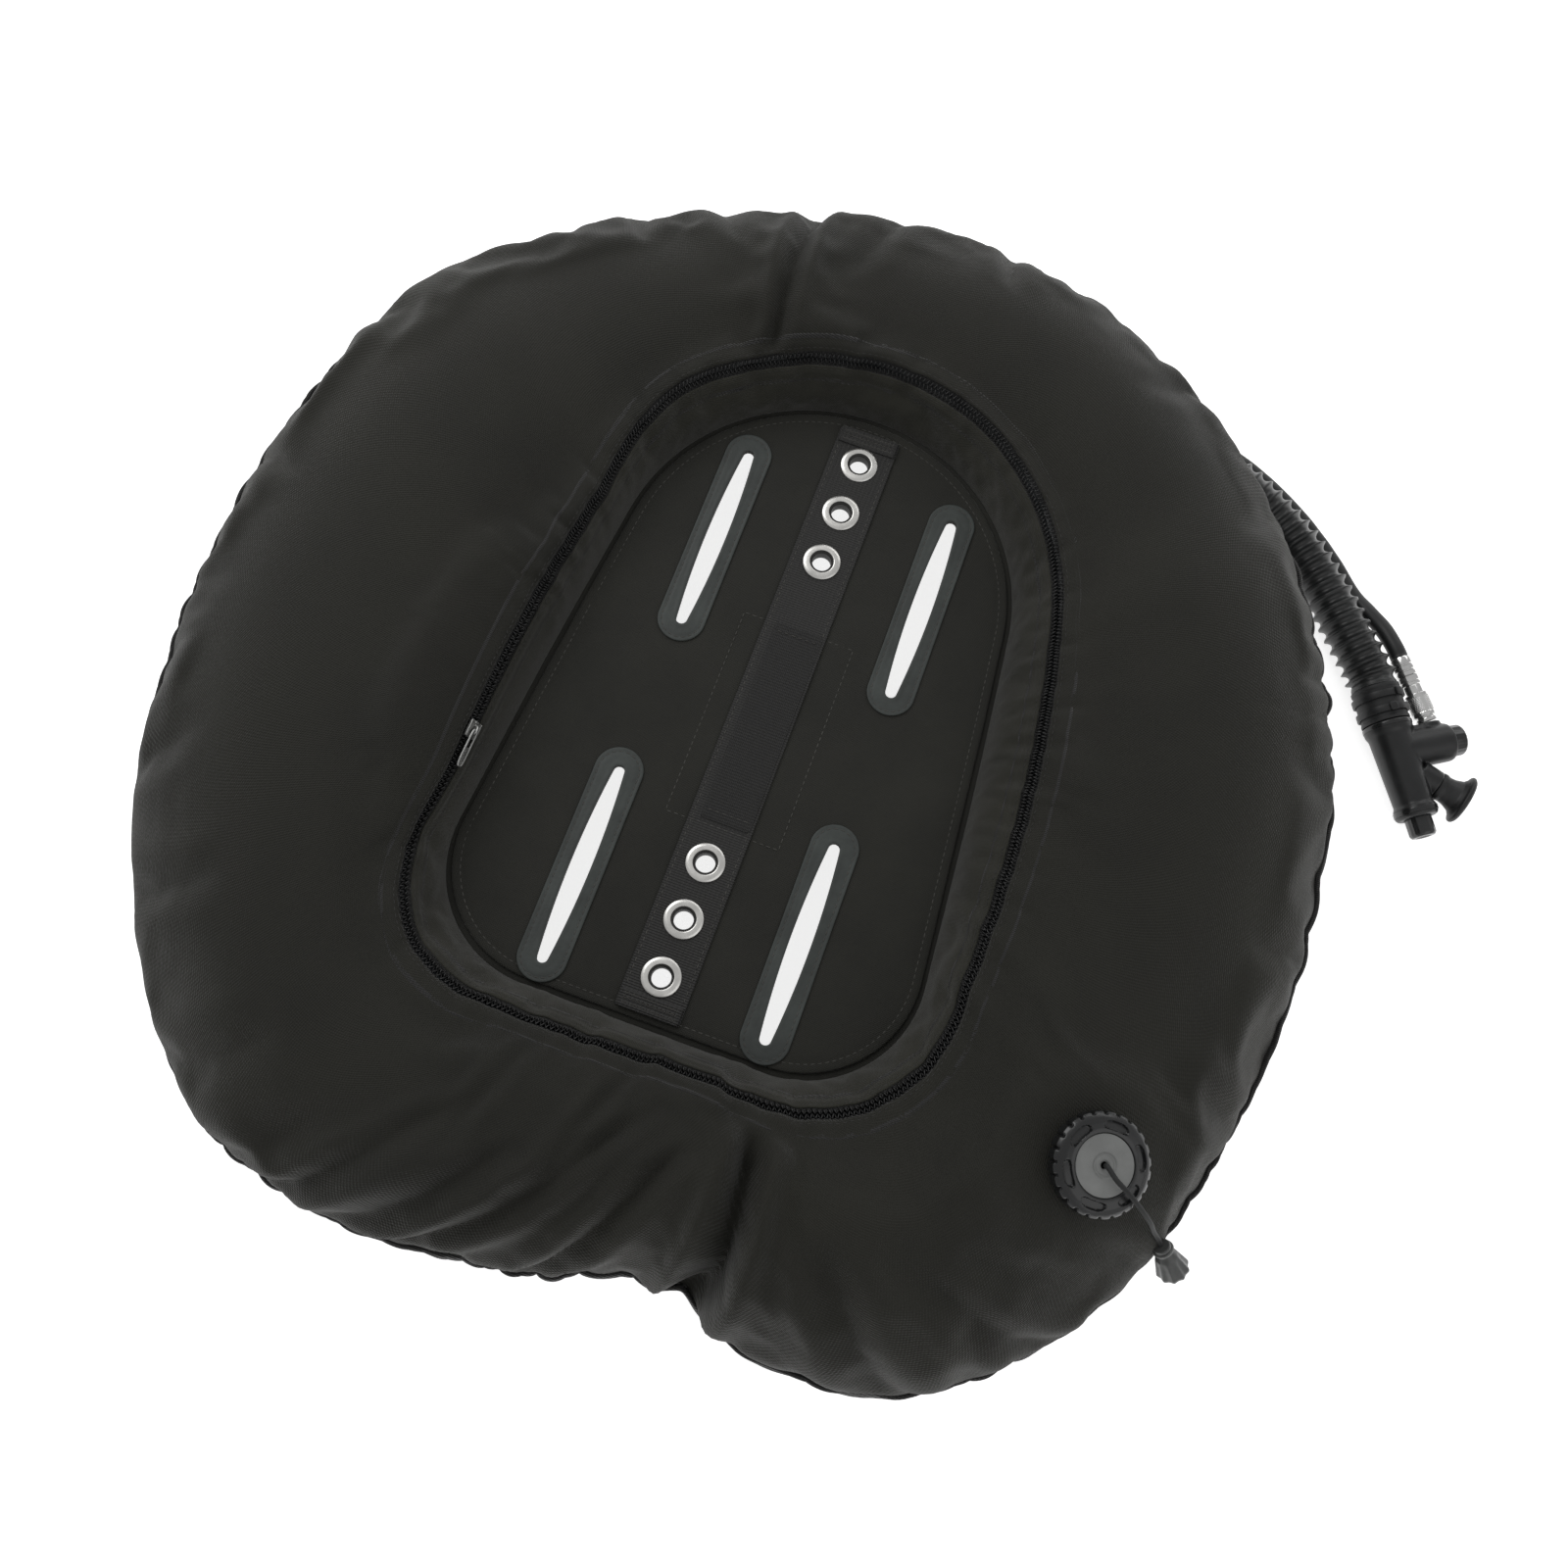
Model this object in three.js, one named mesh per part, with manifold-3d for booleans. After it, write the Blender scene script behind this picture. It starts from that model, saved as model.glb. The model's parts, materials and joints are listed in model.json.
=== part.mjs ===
// A ring-shaped diving wing lying flat, diver side up, with its inflator hose and dump valve.
// Millimetres. Origin: centre of the bolt pattern on the upper face of the spine webbing.
// +Z towards the diver, +Y to the head end, +X to the diver's left shoulder side.
import * as THREE from "three";
import { mergeVertices } from "three/addons/utils/BufferGeometryUtils.js";
import Module from "manifold-3d";

const wasm = await Module();
wasm.setup();

// ---------- driving dimensions ----------
const GAP = 0.3; // running gap between touching pieces
const FLOOR_Z = -80; // the surface the wing lies on

// flat layers of the middle, from the top down
const WEBBING_THICKNESS = 1.6;
const PANEL_THICKNESS = 1.8;
const SHEET_THICKNESS = 1.4;
const PATCH_THICKNESS = 1.2;
const PANEL_TOP = -WEBBING_THICKNESS;
const SHEET_TOP = PANEL_TOP - PANEL_THICKNESS;
const SHEET_BOTTOM = SHEET_TOP - SHEET_THICKNESS;

// outline of the centre panel: the hull of three rounds
const HEAD_ROUND_RADIUS = 124;
const HEAD_ROUND_Y = 83;
const TAIL_ROUND_RADIUS = 71;
const TAIL_ROUND_X = 73;
const TAIL_ROUND_Y = -132;

// the inflated ring
const PANEL_TO_RING = 4; // panel edge to the foot of the ring
const RING_MID_Z = (SHEET_TOP + SHEET_BOTTOM) / 2;
const RING_RISE = 60; // crown above the seam, at the sides
const HEAD_RISE = 52; // and over the head end
const RING_DROP = RING_MID_Z - FLOOR_Z;
const HEAD_DROP = 38; // the head end stays off the floor, above the hose
const BELLY_FULLNESS = 1.1; // the belly flattens where it meets its lowest level
const HEAD_ARCH_HALF = 41; // degrees each side of the head axis with the shallow belly
const HEAD_ARCH_BLEND = 17;
const FABRIC = 1.2;
const BLADDER_DEPTH = 8; // bladder below the outer fabric
const BLADDER_WALL = 0.8;
const SEAM_RADIUS_BY_ANGLE = [
  [0, 352], [30, 352], [60, 357], [75, 364], [95, 351], [112, 343], [145, 364], [180, 357],
  [210, 375], [240, 398], [260, 365], [271, 350], [280, 337], [289, 372], [300, 397], [316, 394],
  [340, 365],
]; // degrees from +X, radius of the bound outer seam
const NOTCH_STATIONS = [270, 282];
const STATION_STEP = 12;
const BINDING_HEIGHT = 10;
const BINDING_THICKNESS = 3;

// ring zipper on the inner slope of the ring
const ZIP_ANGLE = 138; // degrees round the ring's section, from the outer seam over the crown
const ZIP_ANGLE_STARBOARD = 150; // lower down on the straight stretch where the slider parks
const STRAIGHT_FROM = 150;
const STRAIGHT_TO = 212;
const STRAIGHT_BLEND = 28;
const COIL_HALF_WIDTH = 3;
const COIL_RISE = 1.4;
const TAPE_WIDTH = 12;
const TAPE_THICKNESS = 1;

// slots for the tank straps
const SLOT_LENGTH = 127;
const SLOT_END_RADIUS = 3.5;
const SLOT_BOW = 9.5; // control offset that gives a 13 mm wide middle
const SLOT_X = 69;
const SLOT_ROW_Y = [97, -128.5];
const PATCH_LENGTH = 150;
const PATCH_WIDTH = 30;

// spine webbing and its eyelets
const SPINE_WIDTH = 40;
const SPINE_HEAD_Y = 199;
const SPINE_TAIL_Y = -199.5;
const TAB_LENGTH = 11;
const TAB_NARROWING = 2; // the folded end is a little narrower than the strip
const BOLT_SPACING = 279.4;
const EYELET_PITCH = 36.2;
const BARE_MARGIN = 1.5; // bare webbing stops this far from the nearest eyelet flange
const BARE_OFFSET = 10; // and a little further from the head group
const EYELET_BORE = 6;
const EYELET_BARREL = 6.8;
const EYELET_FLANGE = 12;
const EYELET_RISE = 1.6;
const WASHER_THICKNESS = 1.2;

// dump valve
const VALVE_ANGLE = -37.2;
const VALVE_RADIUS = 322;
const VALVE_BORE = 19;
const VALVE_NECK = 22;
const VALVE_FLANGE = 26;
const VALVE_CAP_RADIUS = 28;
const VALVE_DISC_RADIUS = 16.7;
const VALVE_LIFT = 4.5;
const PULL_CORD_DIAMETER = 3;

// elbow, corrugated hose and low-pressure hose
const ELBOW_X = 36;
const ELBOW_Y = 288;
const ELBOW_NECK = 15;
const ELBOW_BORE = 10;
const SPIGOT_RADIUS = 12.7;
const CUFF_WALL = 2.7;
const CUFF_LENGTH = 25;
const HOSE_RADIUS = 17.5;
const HOSE_Z = FLOOR_Z + HOSE_RADIUS + 0.1;
const LP_RADIUS = 5.75;
const LP_Z = FLOOR_Z + LP_RADIUS + 0.1;

// power inflator
const INFLATOR_X = 386;
const INFLATOR_Y = 156;
const INFLATOR_TURN = 31.9; // degrees, from +X to the side that holds the inflate button
const BODY_RADIUS = 14;
const HOUSING_RADIUS = 13;
const HOUSING_REACH = 38;
const HOUSING_Y = -20;
const INFLATE_BUTTON_RADIUS = 10.5;
const DEFLATE_BUTTON_RADIUS = 8.5;

const EYELET_SIDES = 12;
const VALVE_SIDES = 24;
const ELBOW_SIDES = 18;

const radians = THREE.MathUtils.degToRad;

// ---------- finishes ----------
function finish(colour, roughness, metalness = 0) {
  return new THREE.MeshStandardMaterial({ color: colour, roughness, metalness });
}
const coverCloth = () => finish(0x24211c, 0.85);
const panelCloth = () => finish(0x2b2824, 0.85);
const webbingCloth = () => finish(0x26231f, 0.8);
const patchRubber = () => finish(0x34383a, 0.6);
const zipPlastic = () => finish(0x1b1a1a, 0.55);
const bladderFilm = () => finish(0x3a3d42, 0.5);
const blackPlastic = () => finish(0x141516, 0.32);
const softRubber = () => finish(0x1a1b1b, 0.5);
const greyPlastic = () => finish(0x8b8d8f, 0.45);
const brightMetal = () => finish(0xc9c9c6, 0.25, 1);
const springSteel = () => finish(0x9a9c9e, 0.3, 1);

const wing = new THREE.Group();

function add(name, geometry, material, parent = wing) {
  const mesh = new THREE.Mesh(geometry, material);
  mesh.name = name;
  parent.add(mesh);
  return mesh;
}

// ---------- solids ----------
function toSolid(geometry) {
  const bare = geometry.index ? geometry.toNonIndexed() : geometry.clone();
  bare.deleteAttribute("normal");
  bare.deleteAttribute("uv");
  const merged = mergeVertices(bare, 1e-4);
  return new wasm.Manifold(
    new wasm.Mesh({
      numProp: 3,
      vertProperties: new Float32Array(merged.attributes.position.array),
      triVerts: new Uint32Array(merged.index.array),
    }),
  );
}

function toGeometry(solid) {
  const mesh = solid.getMesh();
  return new THREE.BufferGeometry()
    .setAttribute("position", new THREE.BufferAttribute(mesh.vertProperties, 3))
    .setIndex(new THREE.BufferAttribute(mesh.triVerts, 1));
}

function join(...geometries) {
  return toGeometry(geometries.map(toSolid).reduce((whole, piece) => whole.add(piece)));
}

function cut(geometry, ...tools) {
  return toGeometry(tools.map(toSolid).reduce((whole, tool) => whole.subtract(tool), toSolid(geometry)));
}

// A profile of [radius, height] points, anticlockwise, turned about Z. It closes on itself
// unless it starts on the axis.
function turned(profile, segments = 16) {
  const points = profile.map(([r, h]) => new THREE.Vector2(r, h));
  if (profile[0][0] > 0) points.push(points[0].clone());
  return new THREE.LatheGeometry(points, segments).rotateX(Math.PI / 2);
}

function disc(radius, low, high, segments = 16) {
  return turned([[0, low], [radius, low], [radius, high], [0, high]], segments);
}

function ring(inner, outer, low, high, segments = 16) {
  return turned([[inner, low], [outer, low], [outer, high], [inner, high]], segments);
}

// The same turned about Y, or about X.
const alongY = (geometry) => geometry.rotateX(-Math.PI / 2);
const alongX = (geometry) => geometry.rotateY(Math.PI / 2);

function plate(shape, low, high, curveSegments = 5) {
  const geometry = new THREE.ExtrudeGeometry(shape, {
    depth: high - low,
    bevelEnabled: false,
    curveSegments,
  });
  return geometry.translate(0, 0, low);
}

function roundSection(radius, sides) {
  const shape = new THREE.Shape();
  for (let i = 0; i < sides; i++) {
    const turn = (2 * Math.PI * i) / sides;
    const x = radius * Math.cos(turn);
    const y = radius * Math.sin(turn);
    if (i === 0) shape.moveTo(x, y);
    else shape.lineTo(x, y);
  }
  shape.closePath();
  return shape;
}

function tube(points, radius, sides, steps) {
  const path = new THREE.CatmullRomCurve3(points.map((p) => new THREE.Vector3(...p)));
  return new THREE.ExtrudeGeometry(roundSection(radius, sides), {
    steps,
    extrudePath: path,
    bevelEnabled: false,
  });
}

// A coil spring of round wire about Z, its wire ends inside the stated heights.
function coilSpring(radius, wire, low, high, turns) {
  const STEPS_PER_TURN = 8;
  const count = Math.round(turns * STEPS_PER_TURN);
  const points = [];
  for (let i = 0; i <= count; i++) {
    const turn = (2 * Math.PI * i) / STEPS_PER_TURN;
    const height = low + wire * 1.3 + ((high - low - wire * 2.6) * i) / count;
    points.push([radius * Math.cos(turn), radius * Math.sin(turn), height]);
  }
  return tube(points, wire, 4, count);
}

// ---------- the ring's shape ----------
const smooth = (t) => {
  const s = Math.min(1, Math.max(0, t));
  return s * s * (3 - 2 * s);
};

// Radius of the panel outline at an angle: the least of the hull's support distances over the
// cosine between the ray and each support direction.
function panelRadius(theta) {
  const rounds = [
    [0, HEAD_ROUND_Y, HEAD_ROUND_RADIUS],
    [TAIL_ROUND_X, TAIL_ROUND_Y, TAIL_ROUND_RADIUS],
    [-TAIL_ROUND_X, TAIL_ROUND_Y, TAIL_ROUND_RADIUS],
  ];
  let radius = Infinity;
  for (let degree = -80; degree <= 80; degree++) {
    const alpha = theta + radians(degree);
    const support = Math.max(...rounds.map(([x, y, r]) => x * Math.cos(alpha) + y * Math.sin(alpha) + r));
    radius = Math.min(radius, support / Math.cos(alpha - theta));
  }
  return radius;
}

// Radius of the outer seam: a cubic through the listed radii, round and round.
function seamRadius(theta) {
  const degree = ((THREE.MathUtils.radToDeg(theta) % 360) + 360) % 360;
  const table = SEAM_RADIUS_BY_ANGLE;
  const count = table.length;
  const knot = (i) => {
    const lap = Math.floor(i / count);
    const [angle, radius] = table[i - lap * count];
    return [angle + 360 * lap, radius];
  };
  let i = count - 1;
  while (knot(i)[0] > degree) i--;
  const [a0, r0] = knot(i - 1);
  const [a1, r1] = knot(i);
  const [a2, r2] = knot(i + 1);
  const [a3, r3] = knot(i + 2);
  const t = (degree - a1) / (a2 - a1);
  const slope1 = ((r2 - r0) / (a2 - a0)) * (a2 - a1);
  const slope2 = ((r3 - r1) / (a3 - a1)) * (a2 - a1);
  const t2 = t * t;
  const t3 = t2 * t;
  return (
    (2 * t3 - 3 * t2 + 1) * r1 + (t3 - 2 * t2 + t) * slope1 + (3 * t2 - 2 * t3) * r2 + (t3 - t2) * slope2
  );
}

// How far an angle is inside the head arch: 1 inside, 0 outside.
function headShare(theta) {
  const away = Math.abs(THREE.MathUtils.euclideanModulo(THREE.MathUtils.radToDeg(theta) + 90, 360) - 180);
  return 1 - smooth((away - HEAD_ARCH_HALF) / HEAD_ARCH_BLEND);
}

// The ring's section at an angle: centre radius, half width, rise and drop.
function section(theta) {
  const inner = panelRadius(theta) + PANEL_TO_RING;
  const outer = seamRadius(theta);
  const head = headShare(theta);
  return {
    centre: (inner + outer) / 2,
    half: (outer - inner) / 2,
    rise: THREE.MathUtils.lerp(RING_RISE, HEAD_RISE, head),
    drop: THREE.MathUtils.lerp(RING_DROP, HEAD_DROP, head),
  };
}

// A point of the ring's wall: phi runs from the outer seam over the crown to the inner foot
// and back below; depth is how far inside the outer surface it lies.
function wall(theta, phi, depth) {
  const { centre, half, rise, drop } = section(theta);
  const r = centre + (half - depth) * Math.cos(phi);
  const side = Math.sin(phi);
  const z =
    side >= 0
      ? RING_MID_Z + (rise - depth) * side
      : RING_MID_Z - Math.min(drop - depth, (drop * BELLY_FULLNESS - depth) * -side);
  return new THREE.Vector3(r * Math.cos(theta), r * Math.sin(theta), z);
}

// The zipper's place round the section, and the same moved by a distance along the wall.
function zipPhi(theta, along = 0) {
  const { half, rise } = section(theta);
  const degree = THREE.MathUtils.euclideanModulo(THREE.MathUtils.radToDeg(theta), 360);
  const outside = Math.max(STRAIGHT_FROM - degree, degree - STRAIGHT_TO);
  const straight = 1 - smooth(outside / STRAIGHT_BLEND);
  const phi = radians(THREE.MathUtils.lerp(ZIP_ANGLE, ZIP_ANGLE_STARBOARD, straight));
  return phi + along / Math.hypot(half * Math.sin(phi), rise * Math.cos(phi));
}

const stations = [...NOTCH_STATIONS];
for (let degree = 0; degree < 360; degree += STATION_STEP) stations.push(degree);
stations.sort((a, b) => a - b);
const STATION_ANGLES = stations.map(radians);

// A closed band round the ring: loop(theta) gives one section's points, anticlockwise when seen
// with the outer side on the right.
function band(loop) {
  const loops = STATION_ANGLES.map(loop);
  const n = loops[0].length;
  const index = [];
  loops.forEach((_, k) => {
    const here = k * n;
    const next = ((k + 1) % loops.length) * n;
    for (let j = 0; j < n; j++) {
      const up = (j + 1) % n;
      index.push(here + j, next + j, here + up, next + up, here + up, next + j);
    }
  });
  const positions = new Float32Array(loops.flat().flatMap((p) => p.toArray()));
  return new THREE.BufferGeometry()
    .setAttribute("position", new THREE.BufferAttribute(positions, 3))
    .setIndex(index);
}

// A fabric band between two places round the section, with its thickness inwards.
function clothBand(from, to, pieces, outerDepth, innerDepth) {
  return band((theta) => {
    const start = from(theta);
    const end = to(theta);
    const strip = (depth) => {
      const points = [];
      for (let j = 0; j <= pieces; j++) {
        points.push(wall(theta, THREE.MathUtils.lerp(start, end, j / pieces), depth));
      }
      return points;
    };
    return [...strip(outerDepth), ...strip(innerDepth).reverse()];
  });
}

// Where the section's wall is at a height above or below the seam level, near the outer seam
// (foot = false) or the inner foot (foot = true).
function phiAtHeight(theta, height, foot) {
  const { rise, drop } = section(theta);
  const reach = height >= 0 ? rise - FABRIC : drop * BELLY_FULLNESS - FABRIC;
  const lift = Math.asin(Math.abs(height) / reach);
  if (height >= 0) return foot ? Math.PI - lift : lift;
  return foot ? Math.PI + lift : 2 * Math.PI - lift;
}

// ---------- cover, zipper and bladder ----------
const BAND_EDGE = COIL_HALF_WIDTH + TAPE_WIDTH;
const SEAM_HALF_GAP = GAP / 2;
const SHEET_HALF = SHEET_THICKNESS / 2;

const NUDGE = 0.02; // radians, for the cover's slope at the valve
const VALVE_LIFT_OFF = 0.8; // the valve's zero above the cover

function valveFrame() {
  const theta = radians(VALVE_ANGLE);
  const { centre, half } = section(theta);
  const phi = Math.acos((VALVE_RADIUS - centre) / half);
  const seat = wall(theta, phi, 0);
  const acrossRing = wall(theta, phi + NUDGE, 0).sub(seat);
  const alongRing = wall(theta + NUDGE, phi, 0).sub(seat);
  const axis = alongRing.cross(acrossRing).normalize();
  const turn = new THREE.Quaternion().setFromUnitVectors(new THREE.Vector3(0, 0, 1), axis);
  seat.addScaledVector(axis, VALVE_LIFT_OFF);
  return { seat, turn, axis };
}
const valvePlace = valveFrame();
const valveHole = () =>
  disc(VALVE_NECK + GAP, -14, 8, VALVE_SIDES)
    .applyQuaternion(valvePlace.turn)
    .translate(...valvePlace.seat.toArray());
const ELBOW_FACE_Z = RING_MID_Z - HEAD_DROP; // the cover's underside at the elbow
const elbowHole = () =>
  disc(ELBOW_NECK + GAP, ELBOW_FACE_Z - 4, ELBOW_FACE_Z + 14, ELBOW_SIDES).translate(ELBOW_X, ELBOW_Y, 0);

function frontShell() {
  const shell = clothBand(
    (theta) => phiAtHeight(theta, SEAM_HALF_GAP, false),
    (theta) => zipPhi(theta, -BAND_EDGE - GAP),
    7,
    0,
    FABRIC,
  );
  return cut(shell, valveHole());
}

function backShell() {
  const shell = clothBand(
    (theta) => phiAtHeight(theta, -SHEET_HALF - GAP, true),
    (theta) => phiAtHeight(theta, -SEAM_HALF_GAP, false),
    8,
    0,
    FABRIC,
  );
  return cut(shell, elbowHole());
}

function innerWall() {
  return clothBand(
    (theta) => zipPhi(theta, BAND_EDGE + GAP),
    (theta) => phiAtHeight(theta, SHEET_HALF + GAP, true),
    2,
    0,
    FABRIC,
  );
}

// Half of the zipper: a tape with its coil along the edge at the middle.
function zipHalf(side) {
  const stops = [GAP / 2, COIL_HALF_WIDTH, BAND_EDGE].map((s) => s * side);
  return band((theta) => {
    const at = (s, depth) => wall(theta, zipPhi(theta, s), depth);
    const points = [
      at(stops[0], -COIL_RISE),
      at(stops[1], -COIL_RISE),
      at(stops[2], 0),
      at(stops[2], TAPE_THICKNESS),
      at(stops[0], TAPE_THICKNESS),
    ];
    return side > 0 ? points : points.reverse();
  });
}

function binding() {
  return band((theta) => {
    const inner = seamRadius(theta) + GAP;
    const corner = (r, z) => new THREE.Vector3(r * Math.cos(theta), r * Math.sin(theta), z);
    const low = RING_MID_Z - BINDING_HEIGHT / 2;
    const high = RING_MID_Z + BINDING_HEIGHT / 2;
    return [
      corner(inner, low),
      corner(inner + BINDING_THICKNESS, low),
      corner(inner + BINDING_THICKNESS, high),
      corner(inner, high),
    ];
  });
}

function bladder() {
  const PIECES = 8;
  const skin = (depth) =>
    band((theta) => {
      const points = [];
      for (let j = 0; j < PIECES; j++) points.push(wall(theta, (2 * Math.PI * (j + 0.5)) / PIECES, depth));
      return points;
    });
  const hollow = cut(skin(BLADDER_DEPTH), skin(BLADDER_DEPTH + BLADDER_WALL));
  return cut(hollow, valveHole(), elbowHole());
}

add("front_shell", frontShell(), coverCloth());
add("back_shell", backShell(), coverCloth());
add("inner_wall", innerWall(), coverCloth());
add("zip_tape_outer", zipHalf(-1), zipPlastic());
add("zip_tape_inner", zipHalf(1), zipPlastic());
add("seam_binding", binding(), webbingCloth());
add("inner_bladder", bladder(), bladderFilm());

// ---------- flat layers of the middle ----------
function slotPath(x, y) {
  const half = SLOT_LENGTH / 2 - SLOT_END_RADIUS;
  const path = new THREE.Path();
  path.moveTo(x + SLOT_END_RADIUS, y - half);
  path.quadraticCurveTo(x + SLOT_BOW, y, x + SLOT_END_RADIUS, y + half);
  path.absarc(x, y + half, SLOT_END_RADIUS, 0, Math.PI);
  path.quadraticCurveTo(x - SLOT_BOW, y, x - SLOT_END_RADIUS, y - half);
  path.absarc(x, y - half, SLOT_END_RADIUS, Math.PI, 2 * Math.PI);
  return path;
}

function roundPath(x, y, radius) {
  const points = roundSection(radius, EYELET_SIDES).getPoints();
  return new THREE.Path(points.map((p) => new THREE.Vector2(x + p.x, y + p.y)));
}

const SLOT_CENTRES = SLOT_ROW_Y.flatMap((y) => [[-SLOT_X, y], [SLOT_X, y]]);
const SLOT_NAMES = ["head_right", "head_left", "tail_right", "tail_left"];
const EYELET_CENTRES = [1, -1].flatMap((end) =>
  [1, 0, -1].map((place) => [0, (end * BOLT_SPACING) / 2 + place * EYELET_PITCH]),
);
const BARE_TAIL_REACH = BOLT_SPACING / 2 - EYELET_PITCH - EYELET_FLANGE - BARE_MARGIN;
const BARE_HEAD_REACH = BARE_TAIL_REACH - BARE_OFFSET;
const eyeletHoles = () => EYELET_CENTRES.map(([x, y]) => roundPath(x, y, EYELET_BARREL + GAP));

function outlineShape(offset) {
  const shape = new THREE.Shape();
  STATION_ANGLES.forEach((theta, k) => {
    const r = panelRadius(theta) + offset;
    const x = r * Math.cos(theta);
    const y = r * Math.sin(theta);
    if (k === 0) shape.moveTo(x, y);
    else shape.lineTo(x, y);
  });
  shape.closePath();
  return shape;
}

function layer(offset, low, high) {
  const shape = outlineShape(offset);
  shape.holes.push(...SLOT_CENTRES.map(([x, y]) => slotPath(x, y)), ...eyeletHoles());
  return plate(shape, low, high, 3);
}

function rectangle(width, low, high) {
  const shape = new THREE.Shape();
  shape.moveTo(-width / 2, low);
  shape.lineTo(width / 2, low);
  shape.lineTo(width / 2, high);
  shape.lineTo(-width / 2, high);
  shape.closePath();
  return shape;
}

// The webbing is joined from three stretches, so that the bare one between the eyelet groups
// keeps a flat face of its own for the backplate.
function spineWebbing() {
  const stretch = (low, high) => {
    const shape = rectangle(SPINE_WIDTH, low, high);
    const centres = EYELET_CENTRES.filter(([, y]) => y > low && y < high);
    shape.holes.push(...centres.map(([x, y]) => roundPath(x, y, EYELET_BARREL + GAP)));
    return plate(shape, PANEL_TOP, 0, 4);
  };
  return join(
    stretch(SPINE_TAIL_Y, -BARE_TAIL_REACH),
    stretch(-BARE_TAIL_REACH, BARE_HEAD_REACH),
    stretch(BARE_HEAD_REACH, SPINE_HEAD_Y),
  );
}

// The webbing's end, folded back on itself.
function foldedTab(low, high) {
  return plate(rectangle(SPINE_WIDTH - TAB_NARROWING, low, high), 0, WEBBING_THICKNESS);
}

function slotPatch([x, y]) {
  const half = (PATCH_LENGTH - PATCH_WIDTH) / 2;
  const radius = PATCH_WIDTH / 2;
  const shape = new THREE.Shape();
  shape.absarc(x, y + half, radius, 0, Math.PI);
  shape.absarc(x, y - half, radius, Math.PI, 2 * Math.PI);
  shape.closePath();
  shape.holes.push(slotPath(x, y));
  return plate(shape, PANEL_TOP, PANEL_TOP + PATCH_THICKNESS, 3);
}

const WASHER_BOTTOM = SHEET_BOTTOM - WASHER_THICKNESS;
const LIP_THICKNESS = 0.8;
const LIP_BOTTOM = WASHER_BOTTOM - GAP - LIP_THICKNESS;
const LIP_RADIUS = 9;
const FLANGE_CHAMFER = 2;

function eyelet() {
  return turned(
    [
      [EYELET_BORE, LIP_BOTTOM],
      [LIP_RADIUS, LIP_BOTTOM],
      [LIP_RADIUS, WASHER_BOTTOM - GAP],
      [EYELET_BARREL, WASHER_BOTTOM - GAP],
      [EYELET_BARREL, 0],
      [EYELET_FLANGE, 0],
      [EYELET_FLANGE - FLANGE_CHAMFER, EYELET_RISE],
      [EYELET_BORE, EYELET_RISE],
    ],
    EYELET_SIDES,
  );
}

add("centre_sheet", layer(PANEL_TO_RING + FABRIC, SHEET_BOTTOM, SHEET_TOP), panelCloth());
add("centre_panel", layer(0, SHEET_TOP, PANEL_TOP), panelCloth());
add("spine_webbing", spineWebbing(), webbingCloth());
add("webbing_tab_head", foldedTab(SPINE_HEAD_Y - TAB_LENGTH, SPINE_HEAD_Y), webbingCloth());
add("webbing_tab_tail", foldedTab(SPINE_TAIL_Y, SPINE_TAIL_Y + TAB_LENGTH), webbingCloth());
SLOT_CENTRES.forEach((centre, i) => add("slot_patch_" + SLOT_NAMES[i], slotPatch(centre), patchRubber()));
EYELET_CENTRES.forEach(([x, y], i) => {
  add("eyelet_" + (i + 1), eyelet(), brightMetal()).position.set(x, y, 0);
  const washer = ring(EYELET_BARREL + GAP, EYELET_FLANGE, WASHER_BOTTOM, SHEET_BOTTOM, EYELET_SIDES);
  add("eyelet_washer_" + (i + 1), washer, brightMetal()).position.set(x, y, 0);
});

// ---------- zipper slider and pull ----------
const SLIDER_ANGLE = 208;
const SLIDER_LENGTH = 11;
const SLIDER_WIDTH = 9;
const PULL_LENGTH = 24;

function box(width, length, height, x, y, z) {
  return new THREE.BoxGeometry(width, length, height).translate(x, y, z);
}

// The slider rides over the coil; local Y runs along the zipper, local Z out of the fabric.
const slider = new THREE.Group();
const sliderSeat = wall(radians(SLIDER_ANGLE), zipPhi(radians(SLIDER_ANGLE)), -COIL_RISE);
const aheadAngle = radians(SLIDER_ANGLE - STATION_STEP);
const zipAhead = wall(aheadAngle, zipPhi(aheadAngle), -COIL_RISE);
const zipRun = zipAhead.clone().sub(sliderSeat).normalize();
const outwardHint = wall(radians(SLIDER_ANGLE), zipPhi(radians(SLIDER_ANGLE)), -COIL_RISE - 10)
  .sub(sliderSeat)
  .normalize();
const zipSide = zipRun.clone().cross(outwardHint).normalize();
const zipUp = zipSide.clone().cross(zipRun);
slider.quaternion.setFromRotationMatrix(new THREE.Matrix4().makeBasis(zipSide, zipRun, zipUp));
slider.position.copy(sliderSeat);
wing.add(slider);

const SLIDER_BASE = 0.8;
const SLIDER_TOP = SLIDER_BASE + 1.8;
const LUG_TOP = SLIDER_TOP + 3.2;
const LUG_WIDTH = 2;
const LUG_LENGTH = 6;
const PULL_Z = SLIDER_TOP + 1.5;
const PIN_RADIUS = 0.7;
const PULL_WIDTH = 5;
const PULL_BAR = 1.6;
const CHEEK_THICKNESS = 1;
const BRIDGE_Y = -5.2;
const SUNK = 0.2; // how far joined shapes run into each other

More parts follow.
